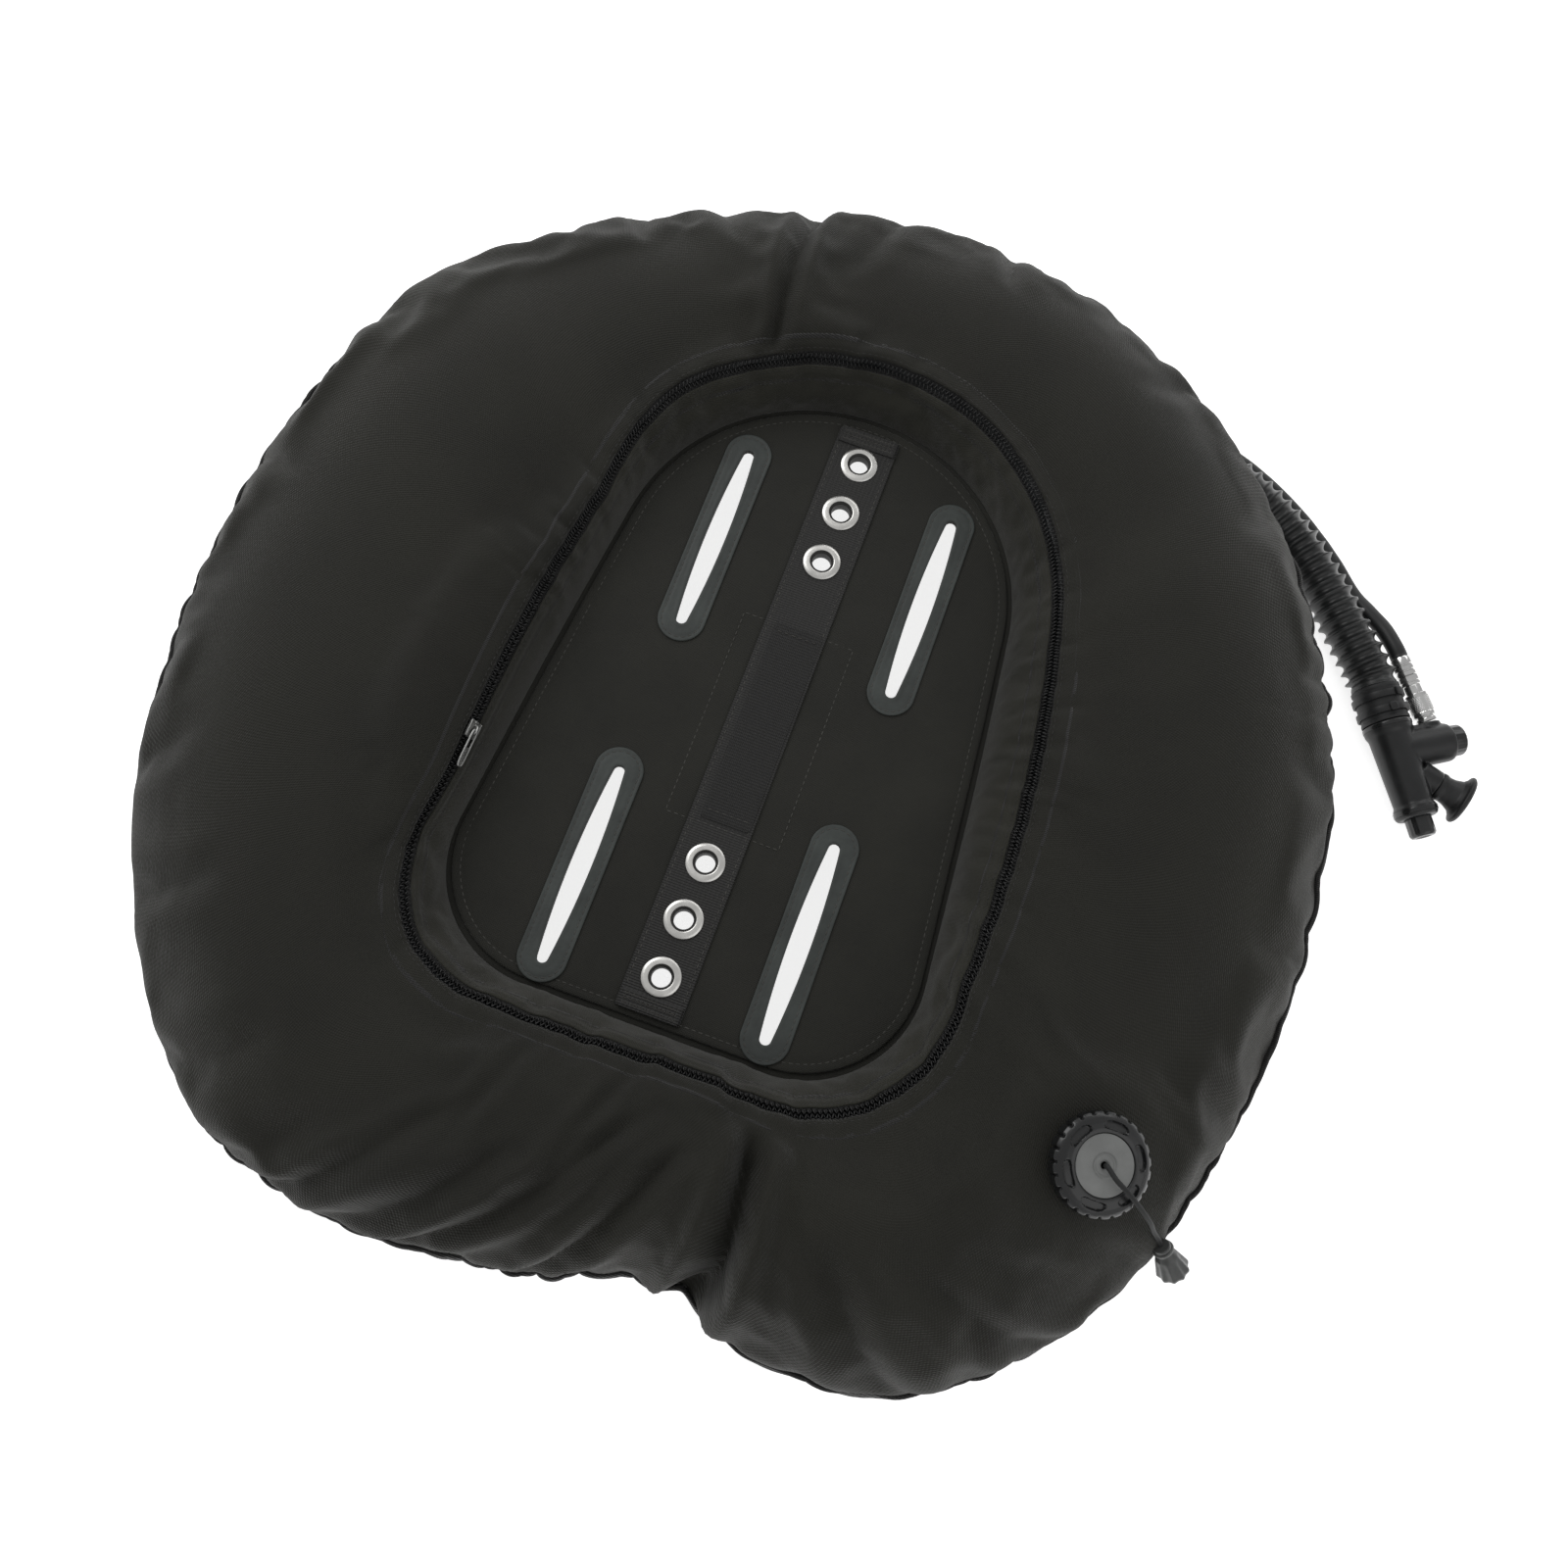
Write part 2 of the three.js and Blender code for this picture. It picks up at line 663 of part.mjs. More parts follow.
function sliderBody() {
  const plateMiddle = (SLIDER_BASE + SLIDER_TOP) / 2;
  const lugLow = SLIDER_TOP - SUNK;
  const base = box(SLIDER_WIDTH, SLIDER_LENGTH, SLIDER_TOP - SLIDER_BASE, 0, 0, plateMiddle);
  const lug = box(LUG_WIDTH, LUG_LENGTH, LUG_TOP - lugLow, 0, 0, (LUG_TOP + lugLow) / 2);
  const pinHole = alongX(disc(PIN_RADIUS + GAP, -LUG_WIDTH, LUG_WIDTH, 10)).translate(0, 0, PULL_Z);
  return cut(join(base, lug), pinHole);
}
// The pull hinges on a pin through the lug and lies back along the zipper.
function pullTab() {
  const cheekX = (PULL_WIDTH - CHEEK_THICKNESS) / 2;
  const pin = alongX(disc(PIN_RADIUS, -PULL_WIDTH / 2, PULL_WIDTH / 2, 8)).translate(0, 0, PULL_Z);
  const cheekLength = PIN_RADIUS - BRIDGE_Y;
  const cheekY = PIN_RADIUS - cheekLength / 2;
  const cheeks = [-1, 1].map((s) => box(CHEEK_THICKNESS, cheekLength, PULL_BAR, s * cheekX, cheekY, PULL_Z));
  const bridge = box(PULL_WIDTH, PULL_BAR, PULL_BAR, 0, BRIDGE_Y, PULL_Z);
  const tongueTop = BRIDGE_Y + SUNK;
  const tongueLength = PULL_LENGTH + tongueTop;
  const tongue = box(PULL_WIDTH, tongueLength, PULL_BAR - 0.4, 0, tongueTop - tongueLength / 2, PULL_Z);
  return join(pin, ...cheeks, bridge, tongue);
}
add("zip_slider", sliderBody(), brightMetal(), slider);
add("zip_pull", pullTab(), brightMetal(), slider);

// ---------- dump valve ----------
const valve = new THREE.Group();
valve.position.copy(valvePlace.seat);
valve.quaternion.copy(valvePlace.turn);
wing.add(valve);

const SEAT_LOW = -12;
const FLANGE_LOW = -8;
const SEAT_HIGH = 6.5;
const LIP_LOW = 1.5;
const LIP_HIGH = 3;
const LIP_BORE = 13;
const CAP_LOW = 1.2;
const POPPET_THICKNESS = 1.2;
const POPPET_STEM = 2.6;
const LEDGE_BORE = VALVE_DISC_RADIUS - 2;
const POPPET_RADIUS = LEDGE_BORE - 2 * GAP; // lifts through the ledge that carries the disc
const CHAMBER_RADIUS = VALVE_BORE + 1.5;
const LEDGE_RADIUS = CHAMBER_RADIUS + 0.5;
const SPRING_RADIUS = 8;
const SPRING_WIRE = 0.6;
const POPPET_TOP = LIP_HIGH + POPPET_THICKNESS;
const DISC_UNDERSIDE = POPPET_TOP + VALVE_LIFT + 0.5;
const CAP_ROOF = DISC_UNDERSIDE + 2;
const CAP_TOP = CAP_ROOF + 2.2;
const CAP_NOTCHES = 24;
const NOTCH_DEPTH = 1.4;
const CORD_HOLE = 2;
const DOME_FLAT = 20;
const WINDOW_RADIUS = 2;

function valveSeat() {
  return turned(
    [
      [VALVE_BORE, SEAT_LOW],
      [VALVE_NECK, SEAT_LOW],
      [VALVE_NECK, FLANGE_LOW],
      [VALVE_FLANGE, FLANGE_LOW],
      [VALVE_FLANGE, FLANGE_LOW + 1.4],
      [VALVE_NECK, FLANGE_LOW + 1.4],
      [VALVE_NECK, SEAT_HIGH],
      [VALVE_BORE, SEAT_HIGH],
      [VALVE_BORE, LIP_HIGH],
      [LIP_BORE, LIP_HIGH],
      [LIP_BORE, LIP_LOW],
      [VALVE_BORE, LIP_LOW],
    ],
    VALVE_SIDES,
  );
}

// A knurled skirt with a domed roof, six windows in the roof and a hole for the centre disc.
function valveCap() {
  const outline = new THREE.Shape();
  for (let i = 0; i < CAP_NOTCHES * 2; i++) {
    const turn = (Math.PI * i) / CAP_NOTCHES;
    const r = i % 2 === 0 ? VALVE_CAP_RADIUS - NOTCH_DEPTH : VALVE_CAP_RADIUS;
    const x = r * Math.cos(turn);
    const y = r * Math.sin(turn);
    if (i === 0) outline.moveTo(x, y);
    else outline.lineTo(x, y);
  }
  outline.closePath();
  const skirt = plate(outline, CAP_LOW, CAP_ROOF - 1);
  const dome = turned(
    [
      [0, CAP_ROOF - 2],
      [VALVE_CAP_RADIUS - 2, CAP_ROOF - 2],
      [VALVE_CAP_RADIUS - 4, CAP_ROOF + 0.6],
      [DOME_FLAT, CAP_TOP],
      [0, CAP_TOP],
    ],
    VALVE_SIDES,
  );
  const threadBore = disc(VALVE_NECK + GAP, CAP_LOW - 1, SEAT_HIGH + GAP, VALVE_SIDES);
  const chamber = disc(CHAMBER_RADIUS, SEAT_HIGH, CAP_ROOF - 0.4, VALVE_SIDES);
  const discHole = disc(VALVE_DISC_RADIUS + GAP, CAP_ROOF - 2, CAP_TOP + 1, VALVE_SIDES);
  const windows = [0, 1, 2, 3, 4, 5].map((i) =>
    disc(WINDOW_RADIUS, CAP_ROOF - 3, CAP_TOP + 1, 8)
      .scale(1, 2, 1)
      .translate(VALVE_DISC_RADIUS + 2 * WINDOW_RADIUS, 0, 0)
      .rotateZ((i * Math.PI) / 3),
  );
  const ledge = ring(LEDGE_BORE, LEDGE_RADIUS, CAP_ROOF - 3, CAP_ROOF - 1.2, VALVE_SIDES);
  return join(cut(join(skirt, dome), threadBore, chamber, discHole, ...windows), ledge);
}

function valveDisc() {
  const plug = disc(VALVE_DISC_RADIUS, CAP_ROOF - 1.2, CAP_TOP - 0.6, VALVE_SIDES);
  const guide = disc(VALVE_DISC_RADIUS - 3, DISC_UNDERSIDE, CAP_ROOF - 1, VALVE_SIDES);
  return cut(join(plug, guide), disc(CORD_HOLE, CAP_ROOF - 4, CAP_TOP + 1, 8));
}

function valvePoppet() {
  const flap = disc(POPPET_RADIUS, LIP_HIGH, POPPET_TOP, VALVE_SIDES);
  const stem = disc(POPPET_STEM, LIP_LOW - 6, LIP_HIGH + SUNK, 10);
  return join(flap, stem);
}

const valveSpring = () => coilSpring(SPRING_RADIUS, SPRING_WIRE, POPPET_TOP, DISC_UNDERSIDE, 2);
const valveGasket = () => ring(VALVE_NECK + 1, VALVE_FLANGE, CAP_LOW - 0.7, CAP_LOW, VALVE_SIDES);

add("valve_seat", valveSeat(), blackPlastic(), valve);
add("valve_gasket", valveGasket(), softRubber(), valve);
add("valve_poppet", valvePoppet(), softRubber(), valve);
add("valve_spring", valveSpring(), springSteel(), valve);
add("valve_cap", valveCap(), blackPlastic(), valve);
add("valve_disc", valveDisc(), greyPlastic(), valve);

// The cord rises from the disc, leans over the cap's rim and drops past the wing's side.
const KNOB_NECK = new THREE.Vector3(311, -221, 20);
const KNOB_TIP = new THREE.Vector3(325, -230, 5);
const knobRun = KNOB_TIP.clone().sub(KNOB_NECK);
const KNOB_LENGTH = knobRun.length();
knobRun.normalize();
const cordStart = valvePlace.seat.clone().addScaledVector(valvePlace.axis, CAP_TOP - 0.6 + GAP);
const cordEnd = KNOB_NECK.clone().addScaledVector(knobRun, -GAP);
const PULL_CORD_ROUTE = [
  cordStart.toArray(),
  cordStart.clone().addScaledVector(valvePlace.axis, 2.5).toArray(),
  [266, -201, 69.3],
  [275, -205.6, 68.2],
  [285, -210.5, 61.5],
  [293, -214, 52.5],
  [300, -216.6, 38],
  KNOB_NECK.clone().addScaledVector(knobRun, -6).toArray(),
  cordEnd.toArray(),
];
add("pull_cord", tube(PULL_CORD_ROUTE, PULL_CORD_DIAMETER / 2, 8, 14), softRubber());

const KNOB_RADIUS = 8.5;
const KNOB_COLLAR = 5;
const knob = new THREE.Group();
knob.position.copy(KNOB_NECK);
knob.quaternion.setFromUnitVectors(new THREE.Vector3(0, 0, 1), knobRun);
wing.add(knob);
add(
  "pull_knob",
  turned(
    [
      [0, 0],
      [KNOB_COLLAR, 0],
      [KNOB_COLLAR, 3],
      [4.4, 3.6],
      [5.6, 8],
      [7.4, KNOB_LENGTH - 5],
      [KNOB_RADIUS, KNOB_LENGTH - 2],
      [KNOB_RADIUS - 0.5, KNOB_LENGTH],
      [0, KNOB_LENGTH - 2],
    ],
    14,
  ),
  blackPlastic(),
  knob,
);

// ---------- elbow under the head end ----------
const elbowGroup = new THREE.Group();
elbowGroup.position.set(ELBOW_X, ELBOW_Y, 0);
wing.add(elbowGroup);
const COLLAR_HIGH = ELBOW_FACE_Z - 1.8;
const COLLAR_LOW = COLLAR_HIGH - 5;
const COLLAR_RADIUS = 20;
const SEAT_FLANGE_RADIUS = 19;
const SEAT_FLANGE_LOW = ELBOW_FACE_Z + FABRIC + GAP;
const SEAT_FLANGE_HIGH = ELBOW_FACE_Z + FABRIC + 2;
const GASKET_HEIGHT = 1.5;
const ELBOW_TOP = COLLAR_LOW - GAP;
const ELBOW_BARREL = 14;
const ELBOW_REACH = 20.5; // from the elbow's axis to the foot of its spigot

function elbowSeat() {
  return turned(
    [
      [ELBOW_BORE, COLLAR_LOW],
      [ELBOW_NECK, COLLAR_LOW],
      [ELBOW_NECK, SEAT_FLANGE_LOW],
      [SEAT_FLANGE_RADIUS, SEAT_FLANGE_LOW],
      [SEAT_FLANGE_RADIUS, SEAT_FLANGE_HIGH],
      [ELBOW_NECK, SEAT_FLANGE_HIGH],
      [ELBOW_NECK, ELBOW_FACE_Z + 11],
      [ELBOW_BORE, ELBOW_FACE_Z + 11],
    ],
    ELBOW_SIDES,
  );
}

function elbowBody() {
  const barrel = disc(ELBOW_BARREL, HOSE_Z - SPIGOT_RADIUS, ELBOW_TOP);
  const spigot = alongX(disc(SPIGOT_RADIUS, 0, ELBOW_REACH + CUFF_LENGTH)).translate(0, 0, HOSE_Z);
  const upBore = disc(ELBOW_BORE, HOSE_Z, ELBOW_TOP + 1);
  const sideBore = alongX(disc(ELBOW_BORE, 0, ELBOW_REACH + CUFF_LENGTH + 1)).translate(0, 0, HOSE_Z);
  return cut(join(barrel, spigot), join(upBore, sideBore));
}

add("elbow_seat", elbowSeat(), blackPlastic(), elbowGroup);
const neckRing = (radius, low, high) => ring(ELBOW_NECK + GAP, radius, low, high, ELBOW_SIDES);
const elbowGasket = neckRing(SEAT_FLANGE_RADIUS, COLLAR_HIGH, COLLAR_HIGH + GASKET_HEIGHT);
add("elbow_gasket", elbowGasket, softRubber(), elbowGroup);
add("elbow_collar", neckRing(COLLAR_RADIUS, COLLAR_LOW, COLLAR_HIGH), blackPlastic(), elbowGroup);
add("elbow", elbowBody(), blackPlastic(), elbowGroup);

// ---------- hoses ----------
const TIE_WIDTH = 4.6;
const TIE_THICKNESS = 1.2;
function cuff(length) {
  return ring(SPIGOT_RADIUS + GAP, SPIGOT_RADIUS + GAP + CUFF_WALL, 0, length, 18);
}
function cableTie(at) {
  const inner = SPIGOT_RADIUS + 2 * GAP + CUFF_WALL;
  return ring(inner, inner + TIE_THICKNESS, at, at + TIE_WIDTH, 18);
}
const elbowSpigot = new THREE.Group();
elbowSpigot.position.set(ELBOW_REACH + GAP, 0, HOSE_Z);
elbowSpigot.rotation.y = Math.PI / 2;
elbowGroup.add(elbowSpigot);
add("hose_cuff_elbow", cuff(CUFF_LENGTH), softRubber(), elbowSpigot);
add("hose_tie_elbow", cableTie(9), blackPlastic(), elbowSpigot);

const inflator = new THREE.Group();
inflator.position.set(INFLATOR_X, INFLATOR_Y, HOSE_Z);
inflator.rotation.z = radians(INFLATOR_TURN);
wing.add(inflator);
inflator.updateMatrixWorld(true);
const fromInflator = (x, y, z = 0) => inflator.localToWorld(new THREE.Vector3(x, y, z)).toArray();

const HOSE_START_X = ELBOW_X + ELBOW_REACH + CUFF_LENGTH + 2 * GAP;
const HOSE_ROUTE = [
  [HOSE_START_X, ELBOW_Y, HOSE_Z],
  [HOSE_START_X + 8, ELBOW_Y, HOSE_Z],
  [110, 289.8, HOSE_Z],
  [132, 294.5, HOSE_Z],
  [158, 299.5, HOSE_Z],
  [188, 302, HOSE_Z],
  [218, 299, HOSE_Z],
  [250, 289, HOSE_Z],
  [282, 271, HOSE_Z],
  [308, 250, HOSE_Z],
  [330, 228, HOSE_Z],
  [347, 209, HOSE_Z],
  fromInflator(0, CUFF_LENGTH + GAP + 9),
  fromInflator(0, CUFF_LENGTH + GAP),
];
add("corrugated_hose", tube(HOSE_ROUTE, HOSE_RADIUS, 12, 22), softRubber());

// ---------- power inflator: local -Y points to its tip, local +X to the inflate button ----------
const HOUSING_BORE = INFLATE_BUTTON_RADIUS + GAP;
const INFLATE_FLOOR = 28;
const INFLATE_TIP = 46.5;
const TIP_Y = -66;
const DEFLATE_FLOOR = -52;
const DEFLATE_TIP = -79;
const COUPLER_X = 28;
const COUPLER_TURN = 5;
const MOUTH_X = 10;
const MOUTH_Y = -37;
const MOUTH_TURN = -135;
const MOUTH_LENGTH = 35;
const MOUTH_FOOT = 14;
const MOUTH_OVAL = 0.72;
const LIP_FLARE_RADIUS = 17.5;
const SPRING_BORE = 6;
const BUTTON_SPRING_RADIUS = 4.6;
const BUTTON_SPRING_WIRE = 0.5;
const INFLATE_SPRING_FOOT = 16;
const INFLATE_BUTTON_BACK = INFLATE_FLOOR + 5;
const DEFLATE_BUTTON_BACK = DEFLATE_FLOOR - 6.5;
const DEFLATE_SPRING_FOOT = DEFLATE_FLOOR + 9;
const TIP_RADIUS = 13.7;
const SHOULDER_RADIUS = 15.6;

const inMouthFrame = (geometry) => geometry.rotateZ(radians(MOUTH_TURN)).translate(MOUTH_X, MOUTH_Y, 0);

function inflatorBody() {
  const barrel = alongY(
    turned(
      [
        [0, TIP_Y],
        [TIP_RADIUS - 1.7, TIP_Y],
        [TIP_RADIUS, TIP_Y + 2],
        [TIP_RADIUS, TIP_Y + 7],
        [TIP_RADIUS - 1.5, TIP_Y + 8],
        [BODY_RADIUS, -10],
        [SHOULDER_RADIUS, -6],
        [SHOULDER_RADIUS, 0],
        [SPIGOT_RADIUS, 0],
        [SPIGOT_RADIUS, CUFF_LENGTH],
        [0, CUFF_LENGTH],
      ],
      18,
    ),
  );
  const housing = alongX(disc(HOUSING_RADIUS, 0, HOUSING_REACH, 18)).translate(0, HOUSING_Y, 0);
  const boss = alongY(disc(7.5, HOUSING_Y + 4, -5.2, 14)).translate(COUPLER_X, 0, 0);
  const mouthBoss = inMouthFrame(alongY(disc(9, 0, MOUTH_FOOT, 14)));
  const inHousing = (geometry) => alongX(geometry).translate(0, HOUSING_Y, 0);
  const inflateBore = inHousing(disc(HOUSING_BORE, INFLATE_FLOOR, HOUSING_REACH + 1, 18));
  const inflateSpringBore = inHousing(disc(SPRING_BORE, INFLATE_SPRING_FOOT, INFLATE_FLOOR + 1, 12));
  const deflateBore = alongY(disc(DEFLATE_BUTTON_RADIUS + GAP, TIP_Y - 1, DEFLATE_FLOOR, 16));
  const deflateSpringBore = alongY(disc(SPRING_BORE, DEFLATE_FLOOR - 1, DEFLATE_SPRING_FOOT, 12));
  const airBore = alongY(disc(ELBOW_BORE - 2, -8, CUFF_LENGTH + 1, 12));
  const mouthBore = inMouthFrame(alongY(disc(5, 4, MOUTH_FOOT + 1, 10)));
  return cut(
    join(barrel, housing, boss, mouthBoss),
    inflateBore,
    inflateSpringBore,
    deflateBore,
    deflateSpringBore,
    airBore,
    mouthBore,
  );
}

function inflateButton() {
  const profile = [
    [0, INFLATE_BUTTON_BACK],
    [INFLATE_BUTTON_RADIUS, INFLATE_BUTTON_BACK],
    [INFLATE_BUTTON_RADIUS, INFLATE_TIP - 2.5],
    [INFLATE_BUTTON_RADIUS - 2.5, INFLATE_TIP - 0.6],
    [0, INFLATE_TIP],
  ];
  return alongX(turned(profile, 18)).translate(0, HOUSING_Y, 0);
}

function deflateButton() {
  const profile = [
    [0, DEFLATE_TIP],
    [DEFLATE_BUTTON_RADIUS - 2, DEFLATE_TIP],
    [DEFLATE_BUTTON_RADIUS, DEFLATE_TIP + 2],
    [DEFLATE_BUTTON_RADIUS, DEFLATE_BUTTON_BACK],
    [0, DEFLATE_BUTTON_BACK],
  ];
  return alongY(turned(profile, 16));
}

function mouthpiece() {
  const profile = [
    [5, MOUTH_FOOT + GAP],
    [9.8, MOUTH_FOOT + GAP],
    [9.5, MOUTH_LENGTH - 13],
    [11.5, MOUTH_LENGTH - 6.5],
    [LIP_FLARE_RADIUS, MOUTH_LENGTH - 4],
    [LIP_FLARE_RADIUS, MOUTH_LENGTH - 1.5],
    [LIP_FLARE_RADIUS - 2, MOUTH_LENGTH],
    [6.5, MOUTH_LENGTH],
  ];
  return inMouthFrame(alongY(turned(profile, 18)).scale(1, 1, MOUTH_OVAL));
}

const buttonSpring = (low, high) => coilSpring(BUTTON_SPRING_RADIUS, BUTTON_SPRING_WIRE, low, high, 3);
const deflateSpring = () => alongY(buttonSpring(DEFLATE_BUTTON_BACK, DEFLATE_SPRING_FOOT));
const inflateSpring = () =>
  alongX(buttonSpring(INFLATE_SPRING_FOOT, INFLATE_BUTTON_BACK)).translate(0, HOUSING_Y, 0);

add("inflator_body", inflatorBody(), blackPlastic(), inflator);
add("inflate_button", inflateButton(), blackPlastic(), inflator);
add("inflate_spring", inflateSpring(), springSteel(), inflator);
add("deflate_button", deflateButton(), blackPlastic(), inflator);
add("deflate_spring", deflateSpring(), springSteel(), inflator);
add("mouthpiece", mouthpiece(), softRubber(), inflator);
const cuffSeat = new THREE.Group();
cuffSeat.rotation.x = -Math.PI / 2;
inflator.add(cuffSeat);
cuffSeat.position.y = GAP;
add("hose_cuff_inflator", cuff(CUFF_LENGTH - GAP), softRubber(), cuffSeat);
add("hose_tie_inflator_1", cableTie(5), blackPlastic(), cuffSeat);
add("hose_tie_inflator_2", cableTie(15), blackPlastic(), cuffSeat);

// Quick disconnect: a nipple in the housing, a coupler with its sliding sleeve, and the crimp.
const coupler = new THREE.Group();
coupler.position.set(COUPLER_X, -5.2, 0);
coupler.rotation.z = radians(COUPLER_TURN);
inflator.add(coupler);
const NIPPLE_RADIUS = 4.4;
const COUPLER_RADIUS = 6;
const COUPLER_END = 34;
const CRIMP_END = 48;
const SLEEVE_LOW = 5;
const SLEEVE_LENGTH = 16;
const SLEEVE_RADIUS = 7.6;
const NIPPLE_SHOULDER = 7;
const SHOULDER_TOP = 3.4;
const NIPPLE_END = 16;
const COUPLER_NUT_RADIUS = 6.9;
const CRIMP_RADIUS = 6.8;

function inflatorNipple() {
  const profile = [
    [0, 1],
    [NIPPLE_SHOULDER, 1],
    [NIPPLE_SHOULDER, SHOULDER_TOP],
    [NIPPLE_RADIUS, SHOULDER_TOP],
    [NIPPLE_RADIUS, 9],
    [NIPPLE_RADIUS - 0.8, 10],
    [NIPPLE_RADIUS - 0.8, 12],
    [NIPPLE_RADIUS, 13],
    [NIPPLE_RADIUS, NIPPLE_END],
    [0, NIPPLE_END],
  ];
  return alongY(turned(profile, 12));
}

function couplerBody() {
  const bore = NIPPLE_RADIUS + GAP;
  const profile = [
    [bore, SHOULDER_TOP + GAP],
    [COUPLER_RADIUS, SHOULDER_TOP + GAP],
    [COUPLER_RADIUS, 27],
    [COUPLER_NUT_RADIUS, 27.4],
    [COUPLER_NUT_RADIUS, COUPLER_END],
    [0, COUPLER_END],
    [0, NIPPLE_END + 2],
    [bore, NIPPLE_END + 2],
  ];
  return alongY(turned(profile, 14));
}

const couplerSleeve = () =>
  alongY(ring(COUPLER_RADIUS + GAP, SLEEVE_RADIUS, SLEEVE_LOW, SLEEVE_LOW + SLEEVE_LENGTH, 18));

function hoseCrimp() {
  const start = COUPLER_END + GAP;
  const profile = [
    [0, start],
    [CRIMP_RADIUS, start],
    [CRIMP_RADIUS, CRIMP_END - 2],
    [CRIMP_RADIUS - 0.6, CRIMP_END],
    [0, CRIMP_END],
  ];
  return alongY(turned(profile, 14));
}

add("inflator_nipple", inflatorNipple(), brightMetal(), coupler);
add("coupler_body", couplerBody(), brightMetal(), coupler);
add("coupler_sleeve", couplerSleeve(), brightMetal(), coupler);
add("hose_crimp", hoseCrimp(), brightMetal(), coupler);

coupler.updateMatrixWorld(true);
const fromCoupler = (y) => coupler.localToWorld(new THREE.Vector3(0, y, 0)).toArray();

const HEX_RADIUS = 7.2;
const FITTING_Z = FLOOR_Z + HEX_RADIUS + 0.1;

// The low-pressure hose runs beside the corrugated hose and back under the head end.
const LP_ROUTE = [
  fromCoupler(CRIMP_END + GAP),
  fromCoupler(CRIMP_END + 8),
  [368.5, 223.6, HOSE_Z - 3],
  [357.6, 232.4, LP_Z + 6],
  [345.6, 243.2, LP_Z + 1.5],
  [325, 264.8, LP_Z],
  [296.5, 287.6, LP_Z],
  [260, 308.4, LP_Z],
  [222, 321.4, LP_Z],
  [186, 326.8, LP_Z],
  [148, 327.5, LP_Z],
  [110, 325.5, LP_Z],
  [72, 324, LP_Z],
  [34, 323, LP_Z],
  [-4, 320, LP_Z],
  [-42, 313.5, LP_Z],
  [-80, 303, FITTING_Z],
  [-114, 290, FITTING_Z],
];
add("low_pressure_hose", tube(LP_ROUTE, LP_RADIUS, 8, 36), softRubber());

// Threaded fitting with its swivel hex on the hose's far end.
const lpEnd = new THREE.Vector3(...LP_ROUTE.at(-1));
const lpRun = lpEnd.clone().sub(new THREE.Vector3(...LP_ROUTE.at(-2))).normalize();
const hoseEnd = new THREE.Group();
hoseEnd.position.copy(lpEnd);
hoseEnd.quaternion.setFromUnitVectors(new THREE.Vector3(0, 0, 1), lpRun);
wing.add(hoseEnd);
const FERRULE_RADIUS = 5.7;
const HEX_LOW = 12;
const HEX_HIGH = 19;
const THREAD_RADIUS = 4.76;
const FITTING_LENGTH = 27;

function hoseFitting() {
  const ferrule = disc(FERRULE_RADIUS, GAP, HEX_HIGH - 2, 12);
  const hex = disc(HEX_RADIUS, HEX_LOW, HEX_HIGH, 6);
  const thread = disc(THREAD_RADIUS, HEX_HIGH - 1, FITTING_LENGTH, 12);
  return join(ferrule, hex, thread);
}
add("hose_fitting", hoseFitting(), brightMetal(), hoseEnd);

export default wing;
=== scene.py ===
"""A ring-shaped diving wing lying flat, diver side up, with its inflator hose and its dump valve.

Shapes are worked out in millimetres and written to the meshes in metres. +Z points towards the
diver, +Y to the head end and +X to the diver's left shoulder.
"""
import json
import math

import bmesh
import bpy
import numpy as np
from mathutils import Matrix, Vector


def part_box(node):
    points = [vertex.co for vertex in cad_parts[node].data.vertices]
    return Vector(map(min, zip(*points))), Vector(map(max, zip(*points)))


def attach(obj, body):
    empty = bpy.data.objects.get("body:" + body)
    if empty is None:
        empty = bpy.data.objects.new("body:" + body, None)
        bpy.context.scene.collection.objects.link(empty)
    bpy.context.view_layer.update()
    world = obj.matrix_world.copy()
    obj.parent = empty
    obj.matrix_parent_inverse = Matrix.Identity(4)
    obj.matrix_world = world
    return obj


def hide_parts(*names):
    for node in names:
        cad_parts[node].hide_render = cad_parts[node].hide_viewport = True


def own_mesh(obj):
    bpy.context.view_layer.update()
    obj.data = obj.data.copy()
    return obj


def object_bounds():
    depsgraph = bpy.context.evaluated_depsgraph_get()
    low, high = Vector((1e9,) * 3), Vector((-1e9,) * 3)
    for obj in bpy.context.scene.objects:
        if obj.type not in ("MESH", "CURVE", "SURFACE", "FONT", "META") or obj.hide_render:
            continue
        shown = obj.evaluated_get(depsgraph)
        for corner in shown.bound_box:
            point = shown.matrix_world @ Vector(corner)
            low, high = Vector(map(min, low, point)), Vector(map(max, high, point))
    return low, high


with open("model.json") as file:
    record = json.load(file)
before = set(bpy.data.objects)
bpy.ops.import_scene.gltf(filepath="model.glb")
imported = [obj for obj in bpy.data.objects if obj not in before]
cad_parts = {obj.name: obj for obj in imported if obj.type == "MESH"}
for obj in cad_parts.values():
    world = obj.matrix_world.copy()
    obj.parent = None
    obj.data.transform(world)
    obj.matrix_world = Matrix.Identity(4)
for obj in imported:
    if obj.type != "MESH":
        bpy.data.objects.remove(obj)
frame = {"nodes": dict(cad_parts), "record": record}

CAD_BOX = [list(corner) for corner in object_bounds()]

bl_info = {
    "name": "Diving wing",
    "version": (1, 0, 0),
    "blender": (4, 5, 0),
    "location": "3D View > Sidebar > Diving wing",
    "description": "Builds the looks of a ring-shaped diving wing around its packed frame",
    "category": "Object",
}

MM = 0.001
FLOOR_Z = CAD_BOX[0][2] / MM

